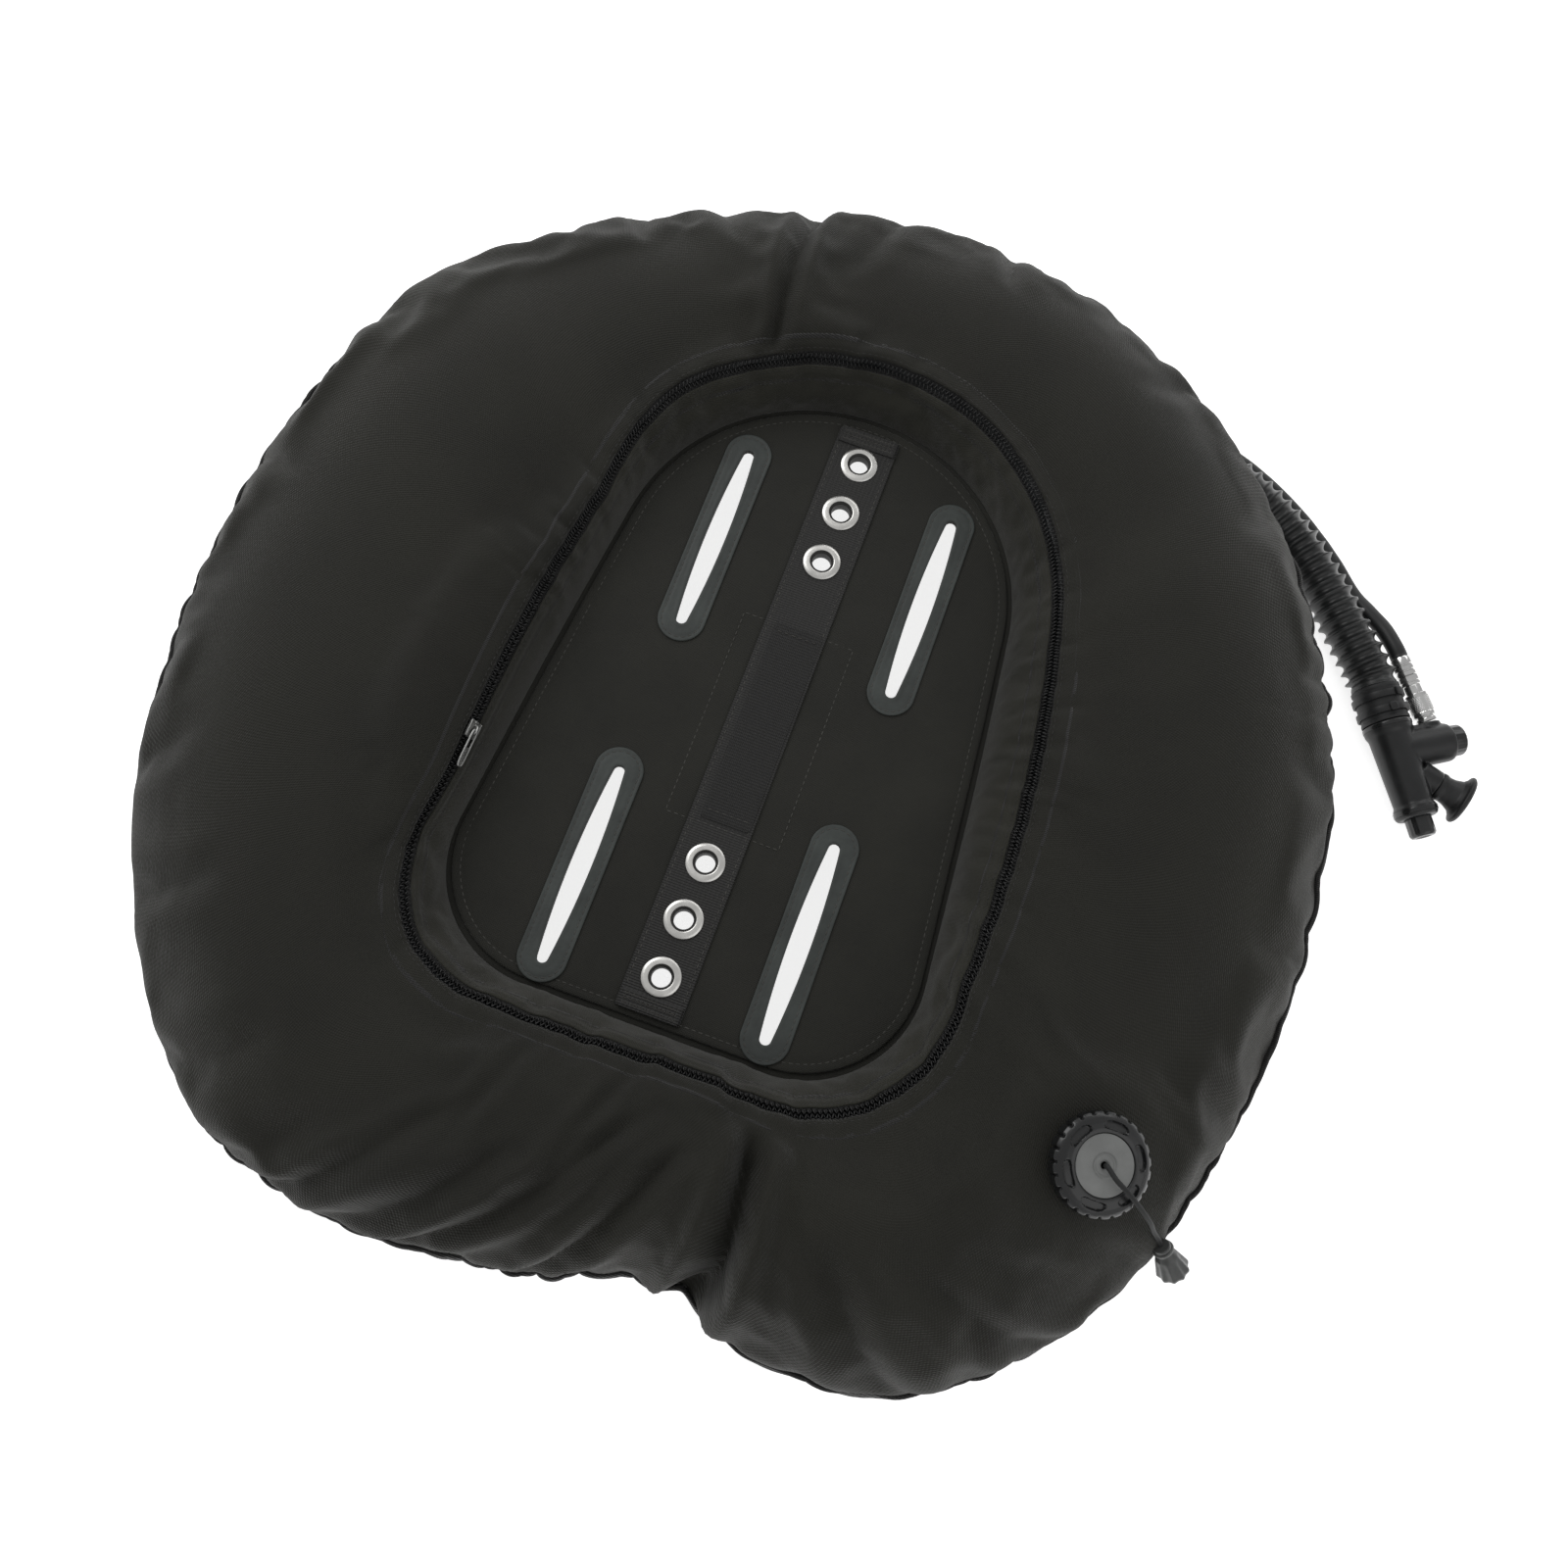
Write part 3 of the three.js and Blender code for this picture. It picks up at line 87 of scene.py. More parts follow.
# ---------- sizes of the wing, in millimetres ----------
PANEL_TOP = -1.6
PANEL_THICKNESS = 1.8
SHEET_TOP = -3.4
SHEET_THICKNESS = 1.4
PATCH_THICKNESS = 1.2
HEAD_ROUND = (0.0, 83.0, 124.0)
TAIL_ROUND = (73.0, -132.0, 71.0)
PANEL_TO_RING = 4.0
RING_MID_Z = SHEET_TOP - SHEET_THICKNESS / 2
RING_RISE = 60.0
HEAD_RISE = 52.0
RING_DROP = RING_MID_Z - FLOOR_Z
HEAD_DROP = 38.0
BELLY_FULLNESS = 1.1
HEAD_ARCH_HALF = 41.0
HEAD_ARCH_BLEND = 17.0
FABRIC = 1.2
ZIP_ANGLE = 138.0
ZIP_ANGLE_STRAIGHT = 150.0
STRAIGHT_FROM = 150.0
STRAIGHT_TO = 212.0
STRAIGHT_BLEND = 28.0
COIL_HALF_WIDTH = 3.0
TAPE_WIDTH = 12.0
BAND_EDGE = COIL_HALF_WIDTH + TAPE_WIDTH
GAP = 0.3
SLOT_HALF_LENGTH = 60.0
SLOT_END_RADIUS = 3.5
SLOT_BOW = 9.5
PATCH_HALF_LENGTH = 60.0
PATCH_RADIUS = 15.0
EYELET_BARREL = 6.8
TAU = 2 * math.pi


# ---------- small sums ----------
def smooth(t):
    """Rises from 0 to 1 as t goes from 0 to 1, level at both ends: 3t² - 2t³."""
    t = np.clip(t, 0.0, 1.0)
    return t * t * (3.0 - 2.0 * t)


def mix(a, b, share):
    """A value between two, by a share."""
    return a + (b - a) * share


def unit(vectors):
    """Each vector divided by its length."""
    vectors = np.asarray(vectors, dtype=float)
    return vectors / np.linalg.norm(vectors, axis=-1, keepdims=True)


def full_turn(count):
    """Angles at even steps round a circle."""
    return np.arange(count) * TAU / count


def bell(value, width):
    """1 where the value is 0, falling away on both sides over a width: exp(-(value / width)²)."""
    return np.exp(-((value / width) ** 2))


def squared(value, power):
    """A sine or cosine bent by a power, its sign kept: under 1 it turns a circle into a box."""
    return np.sign(value) * np.abs(value) ** power


def walked(path, power=1.0):
    """Distance walked at each point of a path, each step raised to a power."""
    return np.concatenate([[0.0], np.cumsum(np.linalg.norm(np.diff(path, axis=0), axis=1) ** power)])


def sampled(values, along, where):
    """Rows of values, given at distances along a path, read at other distances."""
    return np.stack([np.interp(where, along, column) for column in values.T], axis=1)


def reach(points):
    """Each point's distance from the local Z axis."""
    return np.hypot(points[..., 0], points[..., 1])


def widened(points, factor, sink=0.0):
    """Points moved away from the local Z axis by a factor, and sunk along it."""
    return np.stack([points[..., 0] * factor, points[..., 1] * factor, points[..., 2] - sink], axis=-1)


def ripple(x, seed, waves):
    """A smooth wandering value near -1..1: a sum of sines whose periods and phases come from a seed."""
    chooser = np.random.default_rng(seed)
    rates = chooser.uniform(0.6, 1.9, waves)
    phases = chooser.uniform(0.0, TAU, waves)
    return sum(np.sin(rate * x + phase) for rate, phase in zip(rates, phases)) / math.sqrt(waves)


def round_ripple(theta, seed, low, high, waves):
    """The same round the ring, where every wave fits a whole number of times."""
    chooser = np.random.default_rng(seed)
    counts = chooser.integers(low, high, waves)
    phases = chooser.uniform(0.0, TAU, waves)
    return sum(np.sin(count * theta + phase) for count, phase in zip(counts, phases)) / math.sqrt(waves)


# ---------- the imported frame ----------
def node_points(name):
    """A CAD node's vertices, in millimetres."""
    mesh = frame["nodes"][name].data
    points = np.empty(len(mesh.vertices) * 3, dtype=np.float32)
    mesh.vertices.foreach_get("co", points)
    return points.reshape(-1, 3).astype(float) / MM


def node_box(name):
    """The two corners of a CAD node's box, in millimetres."""
    return [np.array(corner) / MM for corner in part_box(name)]


def joint_row(name):
    """A joint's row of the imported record."""
    return next(row for row in frame["record"]["behaviour"]["joints"] if row["name"] == name)


def joint_axis(name):
    """A joint's axis as a unit vector."""
    return unit(np.array(joint_row(name)["axis"], dtype=float))


class Place:
    """A round CAD node's own frame: its axis is local Z, its lowest end is the origin, and local
    X is the given hint made square to the axis."""

    def __init__(self, node, axis, hint):
        axis = unit(axis)
        side = unit(np.asarray(hint, dtype=float) - np.dot(hint, axis) * axis)
        cross = np.cross(axis, side)
        self.turn = np.stack([side, cross, axis])
        local = node_points(node) @ self.turn.T
        low, high = local.min(axis=0), local.max(axis=0)
        middle = (low + high) / 2
        self.length = high[2] - low[2]
        self.origin = np.array([middle[0], middle[1], low[2]]) @ self.turn

    @classmethod
    def at(cls, turn, origin, length=0.0):
        """A frame given by its three axes and its origin."""
        place = cls.__new__(cls)
        place.turn, place.origin, place.length = turn, origin, length
        return place

    def moved(self, x=0.0, y=0.0, z=0.0):
        """The same frame with its origin moved along its own axes."""
        return Place.at(self.turn, self.origin + np.array([x, y, z]) @ self.turn, self.length)

    def world(self, points):
        return np.asarray(points, dtype=float) @ self.turn + self.origin


# ---------- meshes ----------
def linked(name, data):
    """A new object in the scene that shows some data."""
    obj = bpy.data.objects.new(name, data)
    bpy.context.scene.collection.objects.link(obj)
    return obj


def shade(mesh, sharp=None):
    """Shades a mesh smooth; faces that meet at more than the sharp angle, in degrees, keep their
    edge."""
    mesh.polygons.foreach_set("use_smooth", np.ones(len(mesh.polygons), dtype=bool))
    if sharp is not None:
        mesh.set_sharp_from_angle(angle=math.radians(sharp))


def new_object(name, points, faces):
    """A smooth mesh object from points in millimetres and a list of faces."""
    mesh = bpy.data.meshes.new(name)
    mesh.from_pydata((np.asarray(points) * MM).tolist(), [], faces)
    shade(mesh)
    mesh.update()
    return linked(name, mesh)


def tidy_mesh(obj, sharp=None):
    """Joins doubled points, closes poles and turns every face of a closed shape outwards."""
    mesh = obj.data
    work = bmesh.new()
    work.from_mesh(mesh)
    bmesh.ops.remove_doubles(work, verts=work.verts, dist=2e-6)
    bmesh.ops.dissolve_degenerate(work, edges=work.edges, dist=1e-7)
    if work.calc_volume(signed=True) < 0:
        bmesh.ops.reverse_faces(work, faces=work.faces)
    work.to_mesh(mesh)
    work.free()
    if sharp is not None:
        mesh.set_sharp_from_angle(angle=math.radians(sharp))
    return obj


def grid_faces(rows, columns, wrap_rows=False, wrap_columns=False):
    """Quads between neighbouring points of a grid stored row by row."""
    r = np.arange(rows if wrap_rows else rows - 1)
    c = np.arange(columns if wrap_columns else columns - 1)
    r, c = np.meshgrid(r, c, indexing="ij")
    r_next, c_next = (r + 1) % rows, (c + 1) % columns
    quads = [r * columns + c, r_next * columns + c, r_next * columns + c_next, r * columns + c_next]
    return np.stack(quads, axis=-1).reshape(-1, 4)


def grid_object(name, points, wrap_rows=False, wrap_columns=False, sharp=None):
    """A closed mesh object from a rows × columns × 3 array of points."""
    rows, columns = points.shape[:2]
    faces = grid_faces(rows, columns, wrap_rows, wrap_columns)
    return tidy_mesh(new_object(name, points.reshape(-1, 3), faces.tolist()), sharp)


def store(obj, label, values):
    """Keeps a vector for each point, for a pattern that follows the surface."""
    attribute = obj.data.attributes.new(label, "FLOAT_VECTOR", "POINT")
    attribute.data.foreach_set("vector", np.asarray(values, dtype=np.float32).ravel())


def joined(name, parts):
    """One object from several, their meshes joined and the first one's materials kept in order."""
    work = bmesh.new()
    materials = []
    for part in parts:
        slots = []
        for material in part.data.materials:
            if material not in materials:
                materials.append(material)
            slots.append(materials.index(material))
        first = len(work.faces)
        work.from_mesh(part.data)
        work.faces.ensure_lookup_table()
        if slots:
            for face in work.faces[first:]:
                face.material_index = slots[min(face.material_index, len(slots) - 1)]
    mesh = bpy.data.meshes.new(name)
    work.to_mesh(mesh)
    work.free()
    for material in materials:
        mesh.materials.append(material)
    for part in parts:
        bpy.data.meshes.remove(part.data)
    shade(mesh)
    return linked(name, mesh)


def dress(piece, material, node, body):
    """Gives a piece its material and its body, and hides the CAD node that it stands for. A piece
    joined from others has its materials, and an added one stands for no node."""
    if material:
        piece.data.materials.append(material)
    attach(piece, body)
    if node:
        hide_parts(node)
    return piece


def turned(name, profile, place, segments=48, sharp=35.0, shape=None):
    """A profile of (radius, height) points turned about a place's axis; shape(points, turn) may
    move the points afterwards."""
    profile = np.asarray(profile, dtype=float)
    turn = full_turn(segments)
    radius = profile[:, None, 0]
    height = np.repeat(profile[:, 1:2], segments, axis=1)
    points = np.stack([radius * np.cos(turn), radius * np.sin(turn), height], axis=-1)
    if shape is not None:
        points = shape(points, turn)
    return grid_object(name, place.world(points), profile[0, 0] > 0, True, sharp)


def softened(corners, radius, steps=3):
    """A profile whose corners are rounded: each corner is replaced by a curve between points a
    radius, or less than half a side, away from it."""
    corners = np.asarray(corners, dtype=float)
    ring_profile = corners[0, 0] > 0
    count = len(corners)
    points = []
    for i, corner in enumerate(corners):
        if not ring_profile and i in (0, count - 1):
            points.append(corner)
            continue
        before, after = corners[i - 1], corners[(i + 1) % count]
        to_before, to_after = before - corner, after - corner
        reach_before = min(radius, 0.45 * np.linalg.norm(to_before))
        reach_after = min(radius, 0.45 * np.linalg.norm(to_after))
        a = corner + unit(to_before) * reach_before
        b = corner + unit(to_after) * reach_after
        for t in np.linspace(0.0, 1.0, steps + 1):
            points.append((1 - t) ** 2 * a + 2 * t * (1 - t) * corner + t * t * b)
    return np.array(points)


POINTS_PER_STRETCH = 40


def path_curve(points, spacing):
    """A smooth path through given points: centripetal cubic stretches, then points at even
    spacing along it."""
    points = np.asarray(points, dtype=float)
    ends = [2 * points[0] - points[1], 2 * points[-1] - points[-2]]
    p = np.vstack([ends[0], points, ends[1]])
    knots = walked(p, 0.5)
    pieces = []
    for i in range(1, len(p) - 2):
        t0, t1, t2, t3 = knots[i - 1 : i + 3]
        t = np.linspace(t1, t2, POINTS_PER_STRETCH, endpoint=False)[:, None]
        a1 = (t1 - t) / (t1 - t0) * p[i - 1] + (t - t0) / (t1 - t0) * p[i]
        a2 = (t2 - t) / (t2 - t1) * p[i] + (t - t1) / (t2 - t1) * p[i + 1]
        a3 = (t3 - t) / (t3 - t2) * p[i + 1] + (t - t2) / (t3 - t2) * p[i + 2]
        b1 = (t2 - t) / (t2 - t0) * a1 + (t - t0) / (t2 - t0) * a2
        b2 = (t3 - t) / (t3 - t1) * a2 + (t - t1) / (t3 - t1) * a3
        pieces.append((t2 - t) / (t2 - t1) * b1 + (t - t1) / (t2 - t1) * b2)
    curve = np.vstack(pieces + [points[-1:]])
    along = walked(curve)
    count = max(2, int(round(along[-1] / spacing)) + 1)
    even = np.linspace(0.0, along[-1], count)
    return sampled(curve, along, even), even


def path_frames(path):
    """Side and up vectors along a path; the side is kept square to the run and turns least."""
    run = unit(np.gradient(path, axis=0))
    start = np.array([0.0, 0.0, 1.0]) if abs(run[0][2]) < 0.9 else np.array([1.0, 0.0, 0.0])
    side = np.empty_like(run)
    previous = unit(np.cross(start, run[0]))
    for i, direction in enumerate(run):
        previous = previous - np.dot(previous, direction) * direction
        previous /= np.linalg.norm(previous)
        side[i] = previous
    return side, np.cross(run, side)


def swept(name, path, radius, sides, sharp=None):
    """A round section carried along a path, with closed ends; radius is one number, one for each
    path point, or one for each point of each section."""
    side, up = path_frames(path)
    count = len(path)
    radius = np.asarray(radius, dtype=float)
    if radius.ndim < 2:
        radius = np.broadcast_to(radius, count)[:, None]
    turn = full_turn(sides)
    spokes = np.cos(turn)[None, :, None] * side[:, None] + np.sin(turn)[None, :, None] * up[:, None]
    rings = path[:, None] + radius[..., None] * spokes
    points = np.concatenate([rings.reshape(-1, 3), path[:1], path[-1:]])
    faces = grid_faces(count, sides, False, True).tolist()
    first, last, foot = count * sides, count * sides + 1, (count - 1) * sides
    faces += [[first, (k + 1) % sides, k] for k in range(sides)]
    faces += [[last, foot + k, foot + (k + 1) % sides] for k in range(sides)]
    return tidy_mesh(new_object(name, points, faces), sharp)


STITCH_STEPS = 7
STITCH_SECTION = np.radians([0.0, 60.0, 120.0, 180.0, 270.0])


def stitch_rows(name, path, normal, length, gap, width, rise):
    """A row of thread stitches: small lozenges with rounded backs, set along a path and lifted
    along its normals."""
    along = walked(path)
    count = max(1, int(along[-1] / (length + gap)))
    centres = (np.arange(count) + 0.5) * along[-1] / count
    middle = sampled(path, along, centres)
    run = unit(sampled(path, along, centres + 0.3) - sampled(path, along, centres - 0.3))
    up = sampled(normal, along, centres)
    up = unit(up - np.sum(up * run, axis=1, keepdims=True) * run)
    side = np.cross(up, run)
    t = np.linspace(-1.0, 1.0, STITCH_STEPS)[:, None]
    swell = np.sqrt(np.clip(1.0 - t**2, 0.0, 1.0)) ** 0.7
    across, above = np.cos(STITCH_SECTION) * width / 2, np.sin(STITCH_SECTION) * rise
    local = np.stack(np.broadcast_arrays(t * length / 2, swell * across, swell * above), axis=-1).reshape(-1, 3)
    points = np.einsum("nk,mkj->mnj", local, np.stack([run, side, up], axis=1)) + middle[:, None]
    one = grid_faces(STITCH_STEPS, len(STITCH_SECTION), False, True)
    faces = one[None] + (np.arange(count) * len(local))[:, None, None]
    return tidy_mesh(new_object(name, points.reshape(-1, 3), faces.reshape(-1, 4).tolist()))


# ---------- finishes ----------
class Finish:
    """A material built from nodes, with short calls for the nodes that it uses most."""

    def __init__(self, name, colour, roughness, metallic=0.0):
        self.material = bpy.data.materials.new(name)
        self.material.use_nodes = True
        self.tree = self.material.node_tree
        self.shader = self.tree.nodes["Principled BSDF"]
        self.set("Base Color", (*colour, 1.0))
        self.set("Roughness", roughness)
        self.set("Metallic", metallic)

    def set(self, socket, value):
        self.shader.inputs[socket].default_value = value

    def link(self, output, target):
        self.tree.links.new(output, target)

    def node(self, kind, **settings):
        made = self.tree.nodes.new(kind)
        for key, value in settings.items():
            setattr(made, key, value)
        return made

    def coordinates(self, attribute=None):
        """Object coordinates, or the named attribute of the piece."""
        if attribute is None:
            return self.node("ShaderNodeTexCoord").outputs["Object"]
        return self.node("ShaderNodeAttribute", attribute_name=attribute).outputs["Vector"]

    def noise(self, vector, scale, detail=3.0, roughness=0.55):
        made = self.node("ShaderNodeTexNoise")
        self.link(vector, made.inputs["Vector"])
        made.inputs["Scale"].default_value = scale
        made.inputs["Detail"].default_value = detail
        made.inputs["Roughness"].default_value = roughness
        return made.outputs["Fac"]

    def sum(self, operation, a, b=0.0):
        """One math node on sockets or numbers."""
        made = self.node("ShaderNodeMath", operation=operation)
        for socket, value in zip(made.inputs, (a, b, 0.0)):
            if isinstance(value, (int, float)):
                socket.default_value = value
            else:
                self.link(value, socket)
        return made.outputs[0]

    def span(self, value, low, high, to_low, to_high):
        """Carries a value from one range to another, held inside it."""
        made = self.node("ShaderNodeMapRange")
        self.link(value, made.inputs["Value"])
        for label, number in zip(("From Min", "From Max", "To Min", "To Max"), (low, high, to_low, to_high)):
            made.inputs[label].default_value = number
        return made.outputs["Result"]

    def parts(self, vector):
        made = self.node("ShaderNodeSeparateXYZ")
        self.link(vector, made.inputs[0])
        return made.outputs

    def tint(self, share, low, high):
        """A colour between two, by a share."""
        made = self.node("ShaderNodeMix", data_type="RGBA")
        self.link(share, made.inputs[0])
        made.inputs[6].default_value = (*low, 1.0)
        made.inputs[7].default_value = (*high, 1.0)
        self.link(made.outputs[2], self.shader.inputs["Base Color"])

    def relief(self, height, distance, strength=1.0):
        made = self.node("ShaderNodeBump")
        made.inputs["Strength"].default_value = strength
        made.inputs["Distance"].default_value = distance
        self.link(height, made.inputs["Height"])
        self.link(made.outputs["Normal"], self.shader.inputs["Normal"])

    def vary_roughness(self, value, low, high):
        self.link(self.span(value, 0.0, 1.0, low, high), self.shader.inputs["Roughness"])


def scaled(colour, factor):
    """A colour made lighter or darker, no channel over 1."""
    return tuple(min(1.0, channel * factor) for channel in colour)


def woven_cloth(name, colour, thread, depth, roughness=0.72, sheen=0.25, attribute="cloth", blotch=9.0):
    """Plain-weave cloth: over and under threads as the product of two sines, a slow blotch that
    fades the dye, and fine fluff. thread is the spacing of the threads in metres."""
    made = Finish(name, colour, roughness)
    place = made.coordinates(attribute)
    x, y, _ = made.parts(place)
    rate = math.pi / thread
    warp = made.sum("SINE", made.sum("MULTIPLY", x, rate))
    weft = made.sum("SINE", made.sum("MULTIPLY", y, rate))
    weave = made.sum("MULTIPLY", warp, weft)
    fluff = made.noise(place, 0.9 / thread, 2.0)
    wear = made.noise(place, blotch, 4.0, 0.6)
    height = made.sum("ADD", made.sum("MULTIPLY", weave, 0.35), made.sum("MULTIPLY", fluff, 0.9))
    share = made.sum("ADD", made.span(wear, 0.35, 0.7, 0.0, 0.6), made.sum("MULTIPLY", fluff, 0.45))
    share = made.sum("ADD", share, made.sum("MULTIPLY", weave, 0.12))
    made.tint(share, scaled(colour, 0.72), scaled(colour, 1.45))
    made.vary_roughness(fluff, roughness - 0.1, min(1.0, roughness + 0.12))
    made.relief(height, depth)
    made.set("Sheen Weight", sheen)
    made.set("Sheen Roughness", 0.45)
    made.set("Specular IOR Level", 0.3)
    return made.material


def ribbed_webbing(name, colour, rib, turned_across=True, roughness=0.6):
    """Webbing: fine ribs across the strap with a herring of threads along it."""
    made = Finish(name, colour, roughness)
    place = made.coordinates()
    x, y, _ = made.parts(place)
    if not turned_across:
        x, y = y, x
    ribs = made.sum("SINE", made.sum("MULTIPLY", y, TAU / rib))
    cords = made.sum("SINE", made.sum("MULTIPLY", x, TAU / (rib * 1.7)))
    fluff = made.noise(place, 1.2 / rib, 2.0)
    height = made.sum("ADD", made.sum("MULTIPLY", ribs, 0.5), made.sum("MULTIPLY", cords, 0.3))
    made.tint(made.sum("ADD", made.sum("MULTIPLY", ribs, 0.25), fluff), scaled(colour, 0.65), scaled(colour, 1.4))
    made.relief(made.sum("ADD", height, made.sum("MULTIPLY", fluff, 0.5)), 0.0004)
    made.set("Sheen Weight", 0.15)
    return made.material


def moulded(name, colour, roughness, grain, depth, wear, coat=0.0):
    """Moulded rubber or plastic: a fine grain, a faint haze of handling and a slow change of gloss."""
    made = Finish(name, colour, roughness)
    place = made.coordinates()
    grit = made.noise(place, grain, 3.0)
    haze = made.noise(place, 38.0, 4.0, 0.65)
    made.tint(made.span(haze, 0.4, 0.72, 0.0, 1.0), scaled(colour, 0.85), scaled(colour, 1.0 + wear))
    made.vary_roughness(haze, max(0.04, roughness - 0.08), min(1.0, roughness + 0.14))
    made.relief(grit, depth)
    if coat:
        made.set("Coat Weight", coat)
        made.set("Coat Roughness", 0.12)
    return made.material


def bright_metal(name, colour, roughness, stretch=(1.0, 1.0, 18.0), depth=0.00003):
    """Plated metal: a fine brushed grain and faint handling marks in its gloss."""
    made = Finish(name, colour, roughness, 1.0)
    place = made.coordinates()
    mapping = made.node("ShaderNodeMapping")
    mapping.inputs["Scale"].default_value = stretch
    made.link(place, mapping.inputs["Vector"])
    brush = made.noise(mapping.outputs["Vector"], 420.0, 3.0)
    marks = made.noise(place, 95.0, 4.0, 0.65)
    made.tint(made.span(marks, 0.35, 0.75, 0.0, 1.0), scaled(colour, 0.88), scaled(colour, 1.06))
    made.vary_roughness(marks, roughness * 0.6, roughness * 1.7)
    made.relief(brush, depth)
    return made.material


def clear_film(name, colour, roughness):
    """Coated bladder film: smooth and faintly wrinkled."""
    made = Finish(name, colour, roughness)
    place = made.coordinates()
    wrinkle = made.noise(place, 60.0, 5.0, 0.6)
    made.tint(wrinkle, scaled(colour, 0.8), scaled(colour, 1.2))
    made.vary_roughness(wrinkle, roughness - 0.08, roughness + 0.1)
    made.relief(wrinkle, 0.0006)
    made.set("Coat Weight", 0.2)
    return made.material


def pale_floor(name, colour):
    """A matt pale floor with the faintest cloudiness."""
    made = Finish(name, colour, 0.9)
    haze = made.noise(made.coordinates(), 2.0, 2.0)
    made.tint(haze, scaled(colour, 0.985), colour)
    made.set("Emission Color", (1.0, 1.0, 1.0, 1.0))
    made.set("Emission Strength", 0.8)
    return made.material


# ---------- the ring's shape ----------
def _panel_radii():
    """Distance from the origin to the panel's edge, four to a degree: the least, over the edge's
    facing angles, of the hull's support distance over the cosine to the ray."""
    theta = np.radians(np.arange(0.0, 360.0, 0.25))[:, None]
    facing = theta + np.radians(np.arange(-80.0, 80.5, 0.5))[None, :]
    x, y, r = TAIL_ROUND
    rounds = [HEAD_ROUND, TAIL_ROUND, (-x, y, r)]
    support = np.max([cx * np.cos(facing) + cy * np.sin(facing) + cr for cx, cy, cr in rounds], axis=0)
    return np.min(support / np.cos(facing - theta), axis=1)


PANEL_RADII = _panel_radii()


def around(theta):
    """An angle in degrees, from 0 up to 360."""
    return np.degrees(theta) % 360.0


def panel_radius(theta):
    """Distance from the origin to the panel's edge at an angle."""
    return np.interp(around(theta), np.arange(0.0, 360.0, 0.25), PANEL_RADII, period=360.0)


def _seam_outline():
    """Angles and radii of the seam binding's inner edge at the frame's own stations."""
    points = node_points("seam_binding")
    angle = np.round(np.degrees(np.arctan2(points[:, 1], points[:, 0])) % 360.0, 1) % 360.0
    radius = np.hypot(points[:, 0], points[:, 1])
    stations = np.unique(angle)
    return stations, np.array([radius[angle == station].min() for station in stations]) - GAP


SEAM_ANGLES, SEAM_RADII = _seam_outline()


def seam_radius(theta):
    """Radius of the outer seam: cubics through the frame's stations, round and round."""
    degree = around(theta)
    angles = np.concatenate([SEAM_ANGLES[-2:] - 360.0, SEAM_ANGLES, SEAM_ANGLES[:3] + 360.0])
    radii = np.concatenate([SEAM_RADII[-2:], SEAM_RADII, SEAM_RADII[:3]])
    i = np.searchsorted(angles, degree, side="right") - 1
    step = angles[i + 1] - angles[i]
    t = (degree - angles[i]) / step
    slope = (radii[i + 1] - radii[i - 1]) / (angles[i + 1] - angles[i - 1]) * step
    next_slope = (radii[i + 2] - radii[i]) / (angles[i + 2] - angles[i]) * step
    t2, t3 = t * t, t * t * t
    start, end = 2 * t3 - 3 * t2 + 1, 3 * t2 - 2 * t3
    return start * radii[i] + (t3 - 2 * t2 + t) * slope + end * radii[i + 1] + (t3 - t2) * next_slope


def section(theta):
    """The ring's section at an angle: centre radius, half width, rise and drop."""
    inner = panel_radius(theta) + PANEL_TO_RING
    outer = seam_radius(theta)
    away = np.abs((np.degrees(theta) + 90.0) % 360.0 - 180.0)
    head = 1.0 - smooth((away - HEAD_ARCH_HALF) / HEAD_ARCH_BLEND)
    rise, drop = mix(RING_RISE, HEAD_RISE, head), mix(RING_DROP, HEAD_DROP, head)
    return (inner + outer) / 2, (outer - inner) / 2, rise, drop


def smooth_wall(theta, phi, depth=0.0):
    """The ring's wall without folds: an ellipse round each section, from the outer seam (phi 0)
    over the crown to the inner foot (phi π) and back below, where the belly flattens."""
    theta, phi = np.broadcast_arrays(theta, phi)
    centre, half, rise, drop = section(theta)
    r = centre + (half - depth) * np.cos(phi)
    side = np.sin(phi)
    belly = (drop * BELLY_FULLNESS - depth) * -side
    z = RING_MID_Z + np.where(side >= 0, (rise - depth) * side, -np.minimum(drop - depth, belly))
    return np.stack([r * np.cos(theta), r * np.sin(theta), z], axis=-1)


def wall_normal(theta, phi):
    """The wall's outward normal, by small differences."""
    step = 2e-3
    along = smooth_wall(theta + step, phi) - smooth_wall(theta - step, phi)
    across = smooth_wall(theta, phi + step) - smooth_wall(theta, phi - step)
    return unit(np.cross(along, across))


def zip_phi(theta, along=0.0):
    """The zipper's place round the section, and the same moved along the wall by a distance."""
    _, half, rise, _ = section(theta)
    degree = around(theta)
    outside = np.maximum(STRAIGHT_FROM - degree, degree - STRAIGHT_TO)
    straight = 1.0 - smooth(outside / STRAIGHT_BLEND)
    phi = np.radians(mix(ZIP_ANGLE, ZIP_ANGLE_STRAIGHT, straight))
    return phi + along / np.hypot(half * np.sin(phi), rise * np.cos(phi))


